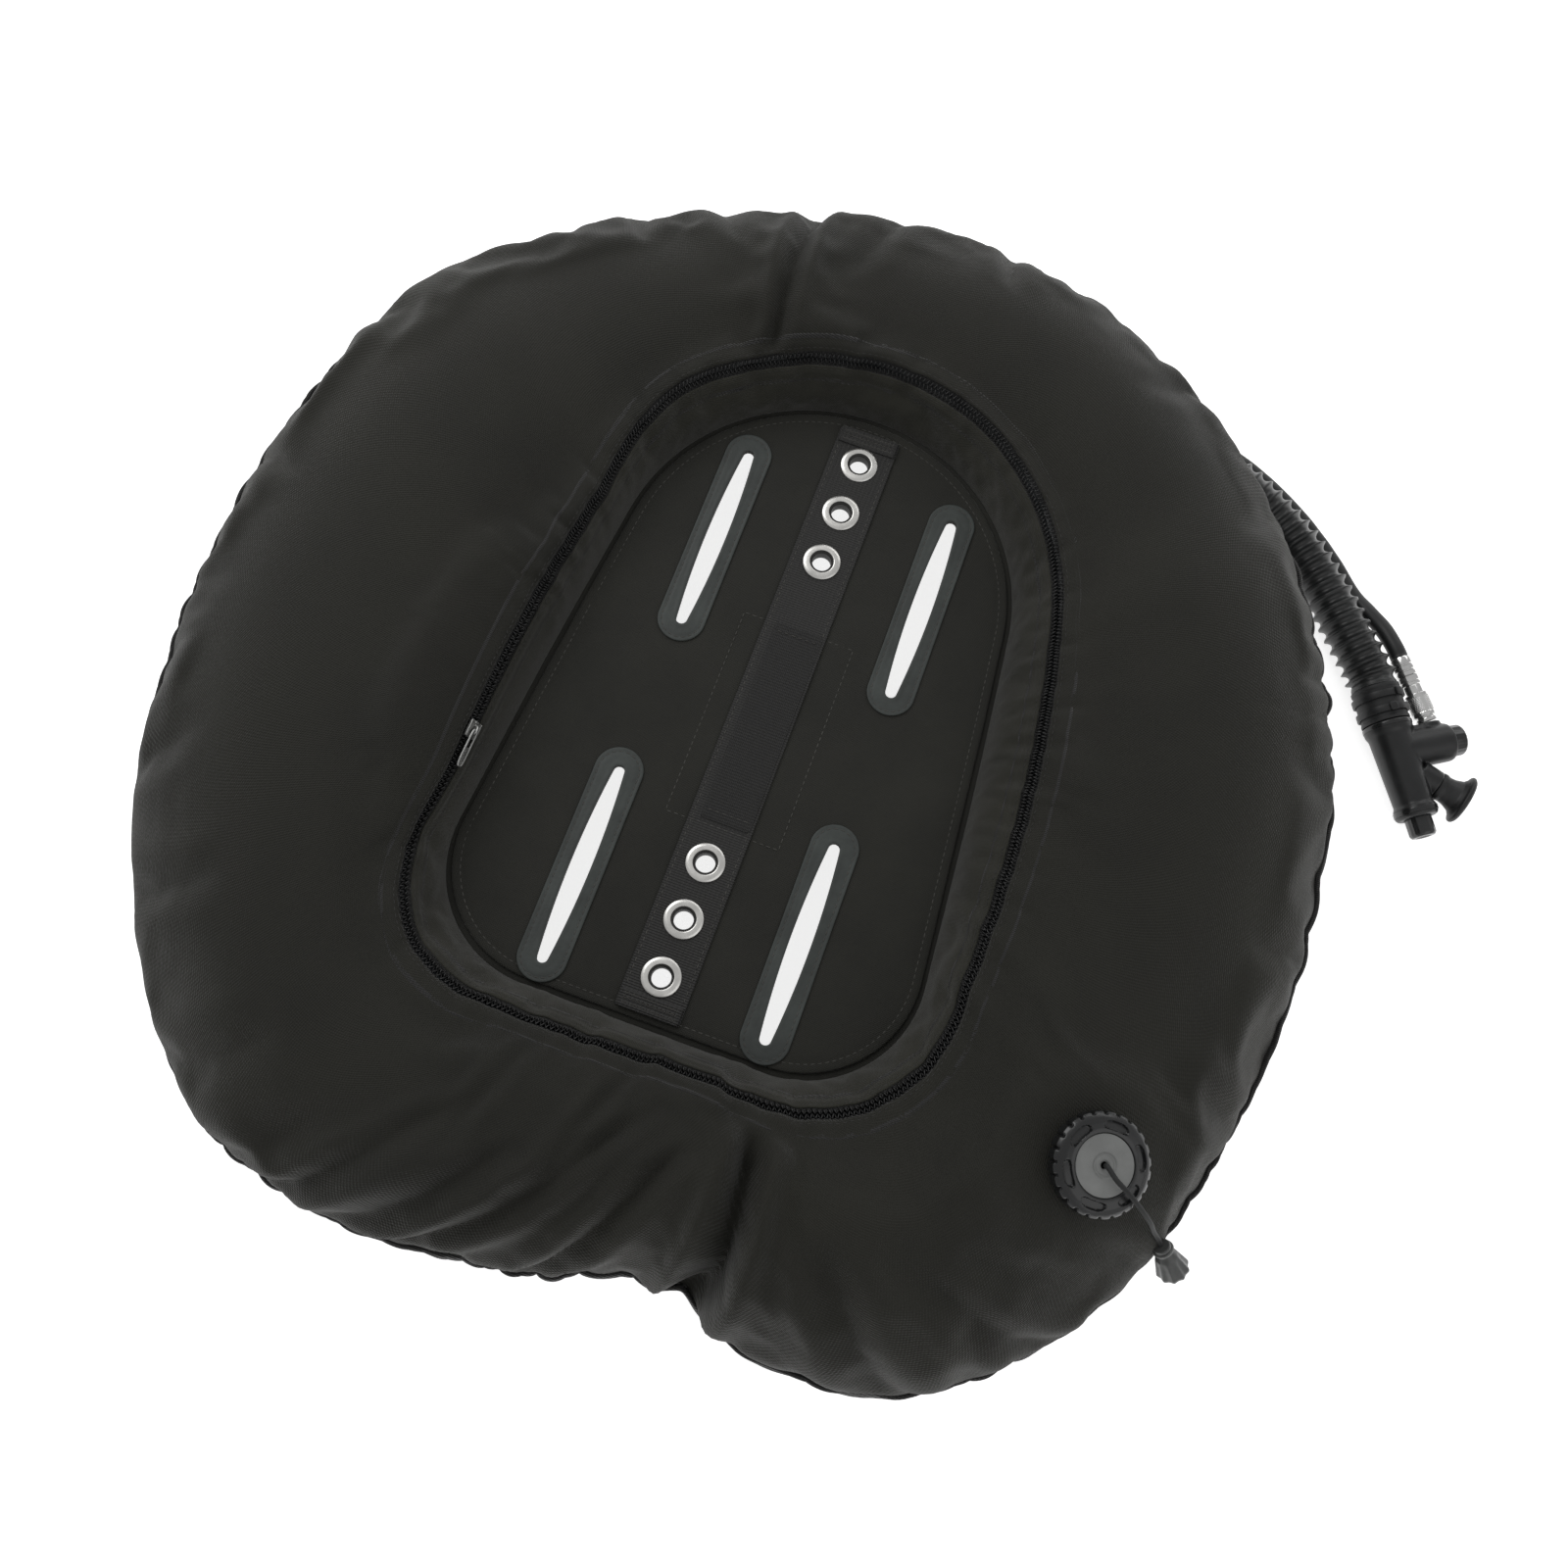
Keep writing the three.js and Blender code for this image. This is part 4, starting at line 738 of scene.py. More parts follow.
class Folds:
    """The slack of the cloth: what the simulation gives, held on a grid round the ring, and the
    folds that the sewing makes."""

    field = None

    @classmethod
    def slack(cls, theta, phi):
        """The simulated move of the cloth at any place, by cubic blending between grid points."""
        if cls.field is None:
            return np.zeros(np.broadcast(theta, phi).shape + (3,))
        rows, columns = cls.field.shape[:2]
        theta, phi = np.broadcast_arrays(theta, phi)
        u = (theta / TAU) % 1.0 * rows
        v = (phi / TAU) % 1.0 * columns
        i, j = np.floor(u).astype(int), np.floor(v).astype(int)
        total = 0.0
        for di, wi in zip((-1, 0, 1, 2), _spline_weights(u - i)):
            for dj, wj in zip((-1, 0, 1, 2), _spline_weights(v - j)):
                total = total + (wi * wj)[..., None] * cls.field[(i + di) % rows, (j + dj) % columns]
        return total


def _spline_weights(t):
    """The four weights of a uniform cubic B-spline."""
    return (
        (1 - t) ** 3 / 6,
        (3 * t**3 - 6 * t**2 + 4) / 6,
        (-3 * t**3 + 3 * t**2 + 3 * t + 1) / 6,
        t**3 / 6,
    )


GATHERS = 88


def seam_pucker(theta):
    """How deep the gathers of the seam are at an angle, 0 to 1: sharp dips between round lobes,
    uneven because the count of lobes drifts, and shallow where the seam is taut."""
    drift = 2.4 * round_ripple(theta, 3, 3, 12, 5)
    lobes = np.abs(np.sin(theta * GATHERS / 2 + drift))
    strength = 0.55 + 0.45 * round_ripple(theta, 8, 3, 17, 4)
    degree = around(theta)
    taut = smooth((degree - 188.0) / 10.0) * smooth((238.0 - degree) / 12.0)
    taut = taut + smooth((degree - 306.0) / 8.0) * smooth((352.0 - degree) / 10.0)
    return (1.0 - lobes**0.6) * np.clip(strength, 0.15, 1.3) * (1.0 - 0.7 * taut)


RING_MID_RADIUS = 290.0


def crease(theta, phi, at, lean, width, depth, start, end):
    """One fold across the tube: a valley with lifted lips. at is its angle in degrees at the
    crown, lean how far it drifts with phi, and start and end its reach round the section."""
    centre = np.radians(at) + lean * (phi - math.pi / 2)
    away = np.angle(np.exp(1j * (theta - centre))) * RING_MID_RADIUS / width
    reach = smooth((phi - start) / 0.35) * smooth((end - phi) / 0.35)
    valley = -np.exp(-(np.abs(away) ** 1.35)) + 0.50 * np.exp(-((np.abs(away) - 2.0) ** 2) / 1.2)
    return depth * valley * reach


CREASES = [
    # at, lean, width, depth, start, end
    (107.0, 0.045, 6.0, 7.5, 0.15, 2.45),
    (112.5, -0.030, 8.0, 3.2, 0.10, 1.70),
    (99.0, 0.060, 8.0, 3.0, 0.20, 1.60),
    (287.0, 0.055, 6.5, 17.0, -0.10, 2.20),
    (279.0, 0.130, 7.0, 6.5, 0.06, 1.80),
    (294.5, -0.060, 9.0, 6.0, 0.06, 1.60),
    (302.0, -0.130, 8.0, 4.5, 0.06, 1.40),
    (271.0, 0.180, 7.0, 5.0, 0.06, 1.95),
    (263.5, 0.150, 8.0, 4.4, 0.06, 1.55),
    (255.0, 0.120, 6.5, 4.2, 0.06, 1.75),
    (247.0, 0.060, 8.0, 3.2, 0.06, 1.30),
    (238.0, 0.060, 9.0, 3.0, 0.06, 1.40),
    (268.0, 0.090, 5.0, 3.0, 1.00, 2.30),
    (257.0, 0.050, 5.0, 2.6, 1.20, 2.30),
    (309.0, 0.040, 7.0, 2.6, 0.06, 1.10),
    (317.0, -0.070, 7.0, 2.0, 0.06, 1.20),
    (333.0, -0.050, 8.0, 2.0, 0.06, 1.00),
    (350.0, -0.050, 9.0, 1.7, 0.06, 0.95),
    (14.0, 0.040, 10.0, 1.7, 0.06, 0.90),
    (38.0, -0.050, 8.0, 1.8, 0.06, 1.00),
    (62.0, 0.060, 8.0, 2.2, 0.06, 1.15),
    (79.0, -0.050, 7.0, 2.4, 0.06, 1.20),
    (127.0, 0.050, 8.0, 2.2, 0.06, 1.10),
    (151.0, -0.040, 9.0, 1.8, 0.06, 0.95),
    (176.0, 0.040, 8.0, 1.6, 0.06, 0.90),
    (203.0, -0.050, 9.0, 2.0, 0.06, 1.00),
    (222.0, 0.050, 8.0, 2.8, 0.06, 1.25),
]


def still(theta, phi):
    """1 where the cloth moves freely, down to 0 round the valve, the elbow and the slider's run."""
    points = smooth_wall(theta, phi)
    calm = np.ones(points.shape[:-1])
    for centre, inner, outer in CALM_PLACES:
        away = np.linalg.norm(points - np.array(centre), axis=-1)
        calm = calm * smooth((away - inner) / (outer - inner))
    return calm


# millimetres of cloth to one radian of the section, near the seam and near the crown
SEAM_ARC = 62.0
CROWN_ARC = 75.0


def fold_height(theta, phi):
    """How far the sewn folds lift or sink the wall, in millimetres: seam gathers that fade away
    from the seam, the large creases, and a slow unevenness."""
    phi = np.angle(np.exp(1j * phi))
    upper = np.abs(phi)
    from_seam = upper * SEAM_ARC
    gathers = -4.2 * seam_pucker(theta) * np.exp(-((from_seam / 17.0) ** 1.4))
    gathers = gathers - 1.8 * seam_pucker(theta + 0.02) * bell(from_seam, 42.0)
    folds = sum(crease(theta, upper, *values) for values in CREASES)
    folds = np.where(phi < 0, 0.55 * folds, folds)
    slow = 1.1 * round_ripple(theta, 21, 2, 9, 4) * np.sin(upper)
    to_zip = np.abs(upper - zip_phi(theta)) * CROWN_ARC
    tugs = 0.5 * round_ripple(theta, 34, 40, 90, 6) * bell(to_zip, 26.0)
    foot = smooth((math.pi - upper) / 0.25)
    return (gathers + (folds + slow + tugs) * foot) * still(theta, phi)


def wall(theta, phi, lift=0.0):
    """The ring's wall with its folds, raised along its own slope by a lift."""
    theta, phi = np.broadcast_arrays(theta, phi)
    height = fold_height(theta, phi) + lift
    calm = still(theta, phi)[..., None]
    points = smooth_wall(theta, phi) + Folds.slack(theta, phi) * calm + height[..., None] * wall_normal(theta, phi)
    points[..., 2] = np.maximum(points[..., 2], FLOOR_Z + 0.2 - np.minimum(lift, 0.0))
    return points


def cloth_coordinates(theta, phi):
    """The wall laid flat, in metres: each point keeps its angle and its distance along the wall
    from the crown, so that threads run straight across the cloth."""
    centre, half, rise, _ = section(theta)
    from_crown = (math.pi / 2 - np.angle(np.exp(1j * phi))) * (half + rise) / 2
    radius = centre - from_crown
    return np.stack([radius * np.cos(theta), radius * np.sin(theta), np.zeros_like(radius)], axis=-1) * MM


RING_COLUMNS = 720


def ring_shell(name, start, end, rows, inner_rows, thickness, hem=None):
    """A closed strip of cloth round the ring between two places of its section: rows across its
    outer face, then the same strip a thickness lower, joined edge to edge."""
    theta = full_turn(RING_COLUMNS)[:, None]
    first, last = start(theta[:, 0])[:, None], end(theta[:, 0])[:, None]
    share = np.concatenate([np.linspace(0.0, 1.0, rows + 1), np.linspace(1.0, 0.0, inner_rows + 1)])
    phi = first + (last - first) * share[None, :]
    rise = np.concatenate([np.zeros(rows + 1), np.full(inner_rows + 1, -thickness)])[None, :]
    if hem is not None:
        rise = rise + hem(theta, phi)
    points = wall(theta, phi, rise)
    faces = grid_faces(RING_COLUMNS, phi.shape[1], True, True)
    obj = new_object(name, points.reshape(-1, 3), faces[:, ::-1].tolist())
    theta, phi = np.broadcast_arrays(theta, phi)
    store(obj, "cloth", cloth_coordinates(theta, phi))
    return obj


def ring_path(phi_at, lift, columns, start=0.0, end=360.0):
    """Points and normals of a line round the ring."""
    theta = np.radians(np.linspace(start, end, columns, endpoint=(end - start) < 360.0))
    phi = phi_at(theta)
    return wall(theta, phi, lift), wall_normal(theta, phi)


PIERCE_DEPTH = 0.02


def pierce(obj, centre, axis, radius):
    """Opens a round hole through a cloth shell: faces wholly inside it go, the points left just
    inside it move out to its rim, and the rim's two edges are joined."""
    work = bmesh.new()
    work.from_mesh(obj.data)
    centre, axis = Vector(np.asarray(centre) * MM), Vector(axis)
    radius *= MM
    near = {}
    for vert in work.verts:
        offset = vert.co - centre
        along = offset.dot(axis)
        if offset.length < radius * 3 and abs(along) < PIERCE_DEPTH:
            near[vert] = offset - along * axis
    inside = {vert for vert, flat in near.items() if flat.length < radius}
    doomed = [face for face in work.faces if inside.issuperset(face.verts)]
    bmesh.ops.delete(work, geom=doomed, context="FACES")
    for vert, flat in near.items():
        if vert.is_valid and vert.link_faces and flat.length < radius:
            vert.co += flat.normalized() * (radius - flat.length)
    rims = [edge for edge in work.edges if edge.is_boundary]
    bmesh.ops.bridge_loops(work, edges=rims)
    work.to_mesh(obj.data)
    work.free()


# ---------- hoses and the pull cord ----------
HOSE_DIAMETER = 35.0
RIB_PITCH = 8.6
RIB_DEPTH = 4.3
HOSE_Z = FLOOR_Z + HOSE_DIAMETER / 2 + 0.1
LP_DIAMETER = 11.5
LP_Z = FLOOR_Z + LP_DIAMETER / 2 + 0.1
FITTING_Z = FLOOR_Z + 7.3
CUFF_LENGTH = 25.0
SPIGOT_RADIUS = 12.7
CUFF_WALL = 2.7
ELBOW = (36.0, 288.0)
PULL_CORD_DIAMETER = 3.0

INFLATE_AXIS = -joint_axis("inflate_press")
TIP_AXIS = -joint_axis("deflate_press")
CUFF_PLACE = Place("hose_cuff_inflator", -TIP_AXIS, INFLATE_AXIS)
INFLATOR = CUFF_PLACE.moved(z=-GAP)
COUPLER = Place("coupler_body", joint_axis("coupler_pull_back"), INFLATE_AXIS).moved(z=-3.7)
VALVE = Place("valve_cap", joint_axis("dump_pull"), (1.0, 0.0, 0.0)).moved(z=-1.2)
KNOB_NECK = (311.0, -221.0, 20.0)
KNOB_TIP = (325.0, -230.0, 5.0)
KNOB_RUN = unit(np.subtract(KNOB_TIP, KNOB_NECK))
KNOB = Place("pull_knob", KNOB_RUN, (0.0, 0.0, 1.0))


def on_axis(place, along):
    """A point on a place's axis, a distance from its origin."""
    return tuple(place.world((0.0, 0.0, along)))


HOSE_ROUTE = [
    (82.1, 288.0, HOSE_Z),
    (90.1, 288.0, HOSE_Z),
    (110.0, 289.8, HOSE_Z),
    (132.0, 294.5, HOSE_Z),
    (158.0, 299.5, HOSE_Z),
    (188.0, 302.0, HOSE_Z),
    (218.0, 299.0, HOSE_Z),
    (250.0, 289.0, HOSE_Z),
    (282.0, 271.0, HOSE_Z),
    (308.0, 250.0, HOSE_Z),
    (330.0, 228.0, HOSE_Z),
    (347.0, 209.0, HOSE_Z),
    on_axis(INFLATOR, CUFF_LENGTH + GAP + 9.0),
    on_axis(INFLATOR, CUFF_LENGTH + GAP),
]
LP_ROUTE = [
    on_axis(COUPLER, 48.3),
    on_axis(COUPLER, 56.0),
    (368.5, 223.6, HOSE_Z - 3.0),
    (357.6, 232.4, LP_Z + 6.0),
    (345.6, 243.2, LP_Z + 1.5),
    (325.0, 264.8, LP_Z),
    (296.5, 287.6, LP_Z),
    (260.0, 308.4, LP_Z),
    (222.0, 321.4, LP_Z),
    (186.0, 326.8, LP_Z),
    (148.0, 327.5, LP_Z),
    (110.0, 325.5, LP_Z),
    (72.0, 324.0, LP_Z),
    (34.0, 323.0, LP_Z),
    (-4.0, 320.0, LP_Z),
    (-42.0, 313.5, LP_Z),
    (-80.0, 303.0, FITTING_Z),
    (-114.0, 290.0, FITTING_Z),
]
CORD_ROUTE = [
    on_axis(VALVE, 13.1),
    on_axis(VALVE, 15.6),
    (266.0, -201.0, 69.3),
    (275.0, -205.6, 68.2),
    (285.0, -210.5, 61.5),
    (293.0, -214.0, 52.5),
    (300.0, -216.6, 38.0),
    on_axis(KNOB, -6.0),
    on_axis(KNOB, -GAP),
]


PER_RIB = 9
HOSE_END = 7.0
PLAITS = 4
PLAIT_RATE = 1.6
PLAIT_DEPTH = 0.16


def corrugated_hose():
    """A tube whose radius swells once a pitch into a narrow rib: the sine of half the phase,
    to a power under one, leaves sharp ribs and round valleys. The ends run out smooth."""
    path, along = path_curve(HOSE_ROUTE, RIB_PITCH / PER_RIB)
    ribs = round(along[-1] / RIB_PITCH)
    phase = along / along[-1] * ribs
    valley = np.abs(np.sin(math.pi * phase)) ** 0.72
    ends = smooth(along / HOSE_END) * smooth((along[-1] - along) / HOSE_END)
    radius = HOSE_DIAMETER / 2 - RIB_DEPTH * mix(0.62, valley, ends)
    return swept("corrugated_hose_tube", path, radius, 56), path, along[-1]


def low_pressure_hose():
    """A plain rubber tube along its route, its jacket rising and falling a hair's breadth."""
    path, along = path_curve(LP_ROUTE, 2.2)
    radius = LP_DIAMETER / 2 + 0.05 * ripple(along * 0.2, 5, 3)
    return swept("low_pressure_hose_tube", path, radius, 28), path, along[-1]


def pull_cord():
    """Braided cord: a round section whose radius is drawn in where the plaits cross."""
    sides = 20
    path, along = path_curve(CORD_ROUTE, 0.5)
    turn, run = full_turn(sides)[None, :] * PLAITS, along[:, None] * PLAIT_RATE
    plait = np.abs(np.sin(turn + run)) * np.abs(np.sin(turn - run))
    radius = PULL_CORD_DIAMETER / 2 - PLAIT_DEPTH + PLAIT_DEPTH * plait
    radius[[0, -1]] *= 0.75
    return swept("pull_cord_braid", path, radius, sides), path, along[-1]


# ---------- the cloth under pressure ----------
SWELL_ROOM = 2.0
MOST_MOVE = 7.0


def settle_cloth(sizes):
    """Blows the ring up as cloth: a closed grid of the wall, a little small and cut a little long,
    held at its seam, its foot, its zipper and its deepest folds. Where the cloth is long it
    buckles, and the moves, capped, become the slack that every layer of the ring follows."""
    rows, columns = sizes.cloth_around, sizes.cloth_across
    theta, phi = full_turn(rows)[:, None], full_turn(columns)[None, :]
    start = wall(theta, phi, -SWELL_ROOM)
    mesh = bpy.data.meshes.new("ring_cloth")
    faces = grid_faces(rows, columns, True, True)[:, ::-1]
    mesh.from_pydata((start * MM).reshape(-1, 3).tolist(), [], faces.tolist())
    obj = linked("ring_cloth", mesh)
    upper = np.abs(np.angle(np.exp(1j * phi)))
    to_zip = np.abs(upper - zip_phi(theta))
    deep = np.abs(sum(crease(theta, upper, *values) for values in CREASES))
    hold = np.maximum.reduce([
        np.broadcast_to(np.where(upper < 0.05, 1.0, 0.0), deep.shape),
        np.broadcast_to(np.where(upper > math.pi - 0.12, 1.0, 0.0), deep.shape),
        0.7 * bell(to_zip, 0.09) * (phi < math.pi),
        0.75 * smooth((deep - 2.0) / 3.0),
        1.0 - still(theta, phi),
    ]).reshape(-1)
    pins = obj.vertex_groups.new(name="pins")
    hold = np.round(hold, 2)
    for level in np.unique(hold):
        pins.add(np.nonzero(hold == level)[0].tolist(), float(level), "REPLACE")
    cloth = obj.modifiers.new("cloth", "CLOTH")
    cloth.settings.quality = 6
    cloth.settings.use_pressure = True
    cloth.settings.uniform_pressure_force = sizes.cloth_pressure
    cloth.settings.shrink_min = -sizes.cloth_length
    cloth.settings.bending_stiffness = 0.12
    cloth.settings.vertex_group_mass = "pins"
    cloth.settings.effector_weights.gravity = 0.0
    cloth.point_cache.frame_start = 1
    cloth.point_cache.frame_end = sizes.cloth_frames
    scene = bpy.context.scene
    for number in range(1, sizes.cloth_frames + 1):
        scene.frame_set(number)
    settled = obj.evaluated_get(bpy.context.evaluated_depsgraph_get())
    points = np.empty(rows * columns * 3)
    settled.data.vertices.foreach_get("co", points)
    move = points.reshape(rows, columns, 3) / MM - start
    size = np.linalg.norm(move, axis=-1, keepdims=True)
    if not np.isfinite(size).all():
        raise RuntimeError("the cloth simulation gave no finite result")
    Folds.field = move * (MOST_MOVE * np.tanh(size / MOST_MOVE) / np.maximum(size, 1e-9))
    bpy.data.objects.remove(obj)
    bpy.data.meshes.remove(mesh)
    scene.frame_set(1)


# ---------- cover, gusset and seam ----------
SLIDER_PLACE = np.mean(node_points("zip_slider"), axis=0)
SLIDER_RUN = 34.0
SLIDER_DEGREE = float(np.degrees(np.arctan2(SLIDER_PLACE[1], SLIDER_PLACE[0])) % 360.0)
CALM_PLACES = [
    # centre, radius that stays still, radius from which the cloth is free
    (tuple(VALVE.origin), 31.0, 58.0),
    ((*ELBOW, RING_MID_Z - HEAD_DROP), 24.0, 50.0),
    (tuple(SLIDER_PLACE), 34.0, 70.0),
    (tuple(SLIDER_PLACE + SLIDER_RUN * joint_axis("zip_slide")), 34.0, 70.0),
]
VALVE_HOLE = 22.4
ELBOW_HOLE = 15.4
EDGE_TURN = 0.012


def at_turn(phi):
    """A place round the section that is the same all round the ring."""
    return lambda theta: np.full_like(theta, phi)


def from_zipper(along):
    """A place round the section at a distance along the wall from the zipper's middle."""
    return lambda theta: zip_phi(theta, along)


def build_cover(sizes):
    """The cover in its two halves and the gusset, pierced for the dump valve and the elbow; the gusset's cloth
    carries painted fill light.
    """
    weave = (sizes.thread_spacing, 0.00045, sizes.cloth_roughness)
    cloth = woven_cloth("cover cloth", sizes.cloth_colour, *weave, 0.14)
    # The gusset's cloth is the cover's colour painted 1.6 times lighter: painted fill light that lifts the shade on
    # the inner wall.
    gusset_painted_fill_cloth = woven_cloth("gusset cloth", scaled(sizes.cloth_colour, 1.6), *weave, 0.2)
    front = ring_shell("cover_front", at_turn(EDGE_TURN), from_zipper(-HEM_EDGE), 88, 22, FABRIC, hem_lift)
    pierce(front, VALVE.origin, VALVE.turn[2], VALVE_HOLE)
    back = ring_shell("cover_back", at_turn(math.pi + 0.03), at_turn(TAU - EDGE_TURN), 66, 22, FABRIC)
    pierce(back, (*ELBOW, RING_MID_Z - HEAD_DROP), (0.0, 0.0, -1.0), ELBOW_HOLE)
    gusset = ring_shell("gusset", from_zipper(HEM_EDGE), at_turn(math.pi - EDGE_TURN), 30, 10, FABRIC, hem_lift)
    for piece, material, node, fill in (
        (front, cloth, "front_shell", 0.8), (back, cloth, "back_shell", 0.8),
        (gusset, gusset_painted_fill_cloth, "inner_wall", 0.6),
    ):
        dress(piece, material, node, "cover")


# ---------- zipper, hems and binding ----------
TAPE_THICKNESS = 0.9
COIL_PITCH = 2.6
COIL_WIRE = 0.42
HEM_WIDTH = 8.0
HEM_RISE = 1.15
HEM_EDGE = COIL_HALF_WIDTH + 1.2
HEM_STITCH = 2.2
COIL_PER_TURN = 9
COIL_SIDES = 5
COIL_ROUND = 359.6
BLADDER_GAP = 9.0


def from_zip(theta, phi):
    """Distance along the wall from the zipper's middle, negative on the outer side."""
    _, half, rise, _ = section(theta)
    middle = zip_phi(theta)
    return (phi - middle) * np.hypot(half * np.sin(middle), rise * np.cos(middle))


def hem_lift(theta, phi):
    """The cover's folded edge lies over the zipper's tape: it climbs over the tape's edge, has a
    sunk stitch line and thickens at its fold."""
    away = np.abs(from_zip(theta, phi))
    climb = HEM_RISE * smooth((HEM_EDGE + HEM_WIDTH - away) / 4.0)
    sunk = -0.30 * bell(away - HEM_EDGE - HEM_STITCH, 0.8)
    fold = 0.35 * bell(away - HEM_EDGE - 0.6, 0.9)
    return climb + sunk + fold


def zip_tape(name, side):
    """One half of the zipper's tape, from under the coil to its outer edge."""
    edges = sorted([side * (COIL_HALF_WIDTH - 0.5), side * BAND_EDGE])
    return ring_shell(name, from_zipper(edges[0]), from_zipper(edges[1]), 10, 4, TAPE_THICKNESS)


def zip_coil(side, start, end):
    """Half of the zipper's coil: wire wound along the tape's edge, each turn reaching across to
    the middle, its points at equal steps of the winding."""
    line_path, _ = ring_path(zip_phi, 0.0, 2881, start, end)
    length = np.linalg.norm(np.diff(line_path, axis=0), axis=1).sum()
    count = int(length / COIL_PITCH) * COIL_PER_TURN
    share = np.arange(count) / count
    theta = np.radians(start + (end - start) * share)
    wind = TAU * np.arange(count) / COIL_PER_TURN + (0.0 if side > 0 else math.pi)
    across = side * (1.55 + 1.45 * np.cos(wind))
    lift = 0.75 + 0.78 * np.sin(wind)
    path = wall(theta, zip_phi(theta, across), lift)
    return swept("coil", path, COIL_WIRE, COIL_SIDES)


def seam_binding():
    """Tape folded over the outer seam: an oval section that follows the gathered edge, its width
    rising and falling with the gathers."""
    theta, turn = full_turn(1440), full_turn(20)[None, :]
    edge = wall(theta, np.zeros_like(theta))
    spoke = np.stack([np.cos(theta), np.sin(theta), np.zeros_like(theta)], axis=-1)
    gather = seam_pucker(theta)[:, None]
    tilt = 0.25 * round_ripple(theta, 55, 20, 60, 6)[:, None]
    out = squared(np.cos(turn), 0.8) * (1.9 + 0.5 * gather)
    up = squared(np.sin(turn), 0.7) * (4.3 - 0.7 * gather)
    radial = 0.9 + out * np.cos(tilt) - up * np.sin(tilt)
    points = edge[:, None] + radial[..., None] * spoke[:, None]
    points[..., 2] += out * np.sin(tilt) + up * np.cos(tilt)
    return grid_object("seam_binding_tape", points, True, True)


def build_seams(sizes):
    """The zipper's two tapes with their coils, the outer binding and the hems' two stitch rows."""
    tape = ribbed_webbing("zipper tape", sizes.tape_colour, 0.0011, roughness=0.7)
    coil = moulded("zipper coil", sizes.coil_colour, 0.34, 1200.0, 0.00003, 0.5)
    bound = ribbed_webbing("binding tape", sizes.tape_colour, 0.0012, roughness=0.75)
    thread = moulded("seam thread", sizes.seam_thread_colour, 0.6, 2500.0, 0.00005, 0.3)
    rows = []
    for side, name in ((-1, "outer"), (1, "inner")):
        cloth = zip_tape(f"tape_{name}", side)
        cloth.data.materials.append(tape)
        winding = zip_coil(side, SLIDER_DEGREE, SLIDER_DEGREE + COIL_ROUND)
        winding.data.materials.append(coil)
        sewn = joined(f"zip_tape_{name}_sewn", [cloth, winding])
        dress(sewn, None, f"zip_tape_{name}", "cover")
    dress(seam_binding(), bound, "seam_binding", "cover")
    for side in (-1, 1):
        path, normal = ring_path(from_zipper(side * (HEM_EDGE + HEM_STITCH)), HEM_RISE - 0.28, 1800)
        path, normal = np.vstack([path, path[:1]]), np.vstack([normal, normal[:1]])
        row = stitch_rows("hem_row", path, normal, 3.0, 1.0, 0.7, 0.4)
        row.data.materials.append(thread)
        rows.append(row)
    dress(joined("hem_stitches", rows), None, None, "cover")


def build_bladder(sizes):
    """The air bladder: a closed tube a little inside the cover, slacker and more wrinkled."""
    film = clear_film("bladder film", sizes.film_colour, 0.42)
    theta, phi = full_turn(360)[:, None], full_turn(72)[None, :]
    wrinkle = 0.7 * round_ripple(theta, 61, 30, 80, 6) * np.abs(np.sin(phi))
    bladder = grid_object("inner_bladder_film", wall(theta, phi, wrinkle - BLADDER_GAP), True, True)
    dress(bladder, film, "inner_bladder", "cover")


# ---------- flat layers of the middle ----------
SLOTS = {
    "head_right": (-69.0, 97.0),
    "head_left": (69.0, 97.0),
    "tail_right": (-69.0, -128.5),
    "tail_left": (69.0, -128.5),
}
SPINE_HALF = 20.0
EYELETS = [tuple(np.mean(node_points(f"eyelet_{i}")[:, :2], axis=0)) for i in range(1, 7)]
HULL_FACINGS = np.radians(np.arange(0.0, 360.0, 1.0))


def panel_distance(x, y):
    """Signed distance to the panel's edge, negative inside: the largest, over all facings, of how
    far a point lies beyond the hull's supporting line."""
    tail_x, tail_y, tail_r = TAIL_ROUND
    best = np.full(np.shape(x), -np.inf)
    for facing in HULL_FACINGS:
        cos, sin = math.cos(facing), math.sin(facing)
        support = max(
            HEAD_ROUND[1] * sin + HEAD_ROUND[2],
            tail_x * cos + tail_y * sin + tail_r,
            -tail_x * cos + tail_y * sin + tail_r,
        )
        best = np.maximum(best, x * cos + y * sin - support)
    return best


def slot_distance(x, y, centre):
    """Signed distance to a bowed slot: its half width follows a parabola between round ends."""
    x, y = np.abs(x - centre[0]), np.abs(y - centre[1])
    t = np.clip((y / SLOT_HALF_LENGTH + 1) / 2, 0.0, 1.0)
    width = SLOT_END_RADIUS + (SLOT_BOW - SLOT_END_RADIUS) * 2 * t * (1 - t)
    beyond = np.hypot(x, np.maximum(y - SLOT_HALF_LENGTH, 0.0)) - SLOT_END_RADIUS
    return np.where(y < SLOT_HALF_LENGTH, x - width, beyond)


def patch_distance(x, y, centre):
    """Signed distance to a patch's round-ended outline."""
    x, y = np.abs(x - centre[0]), np.abs(y - centre[1])
    return np.hypot(x, np.maximum(y - PATCH_HALF_LENGTH, 0.0)) - PATCH_RADIUS


def box_distance(x, y, low, high, corner=0.0):
    """Signed distance to a rectangle with rounded corners."""
    cx, cy = (low[0] + high[0]) / 2, (low[1] + high[1]) / 2
    dx = np.abs(x - cx) - (high[0] - low[0]) / 2 + corner
    dy = np.abs(y - cy) - (high[1] - low[1]) / 2 + corner
    outside = np.hypot(np.maximum(dx, 0.0), np.maximum(dy, 0.0))
    return outside + np.minimum(np.maximum(dx, dy), 0.0) - corner


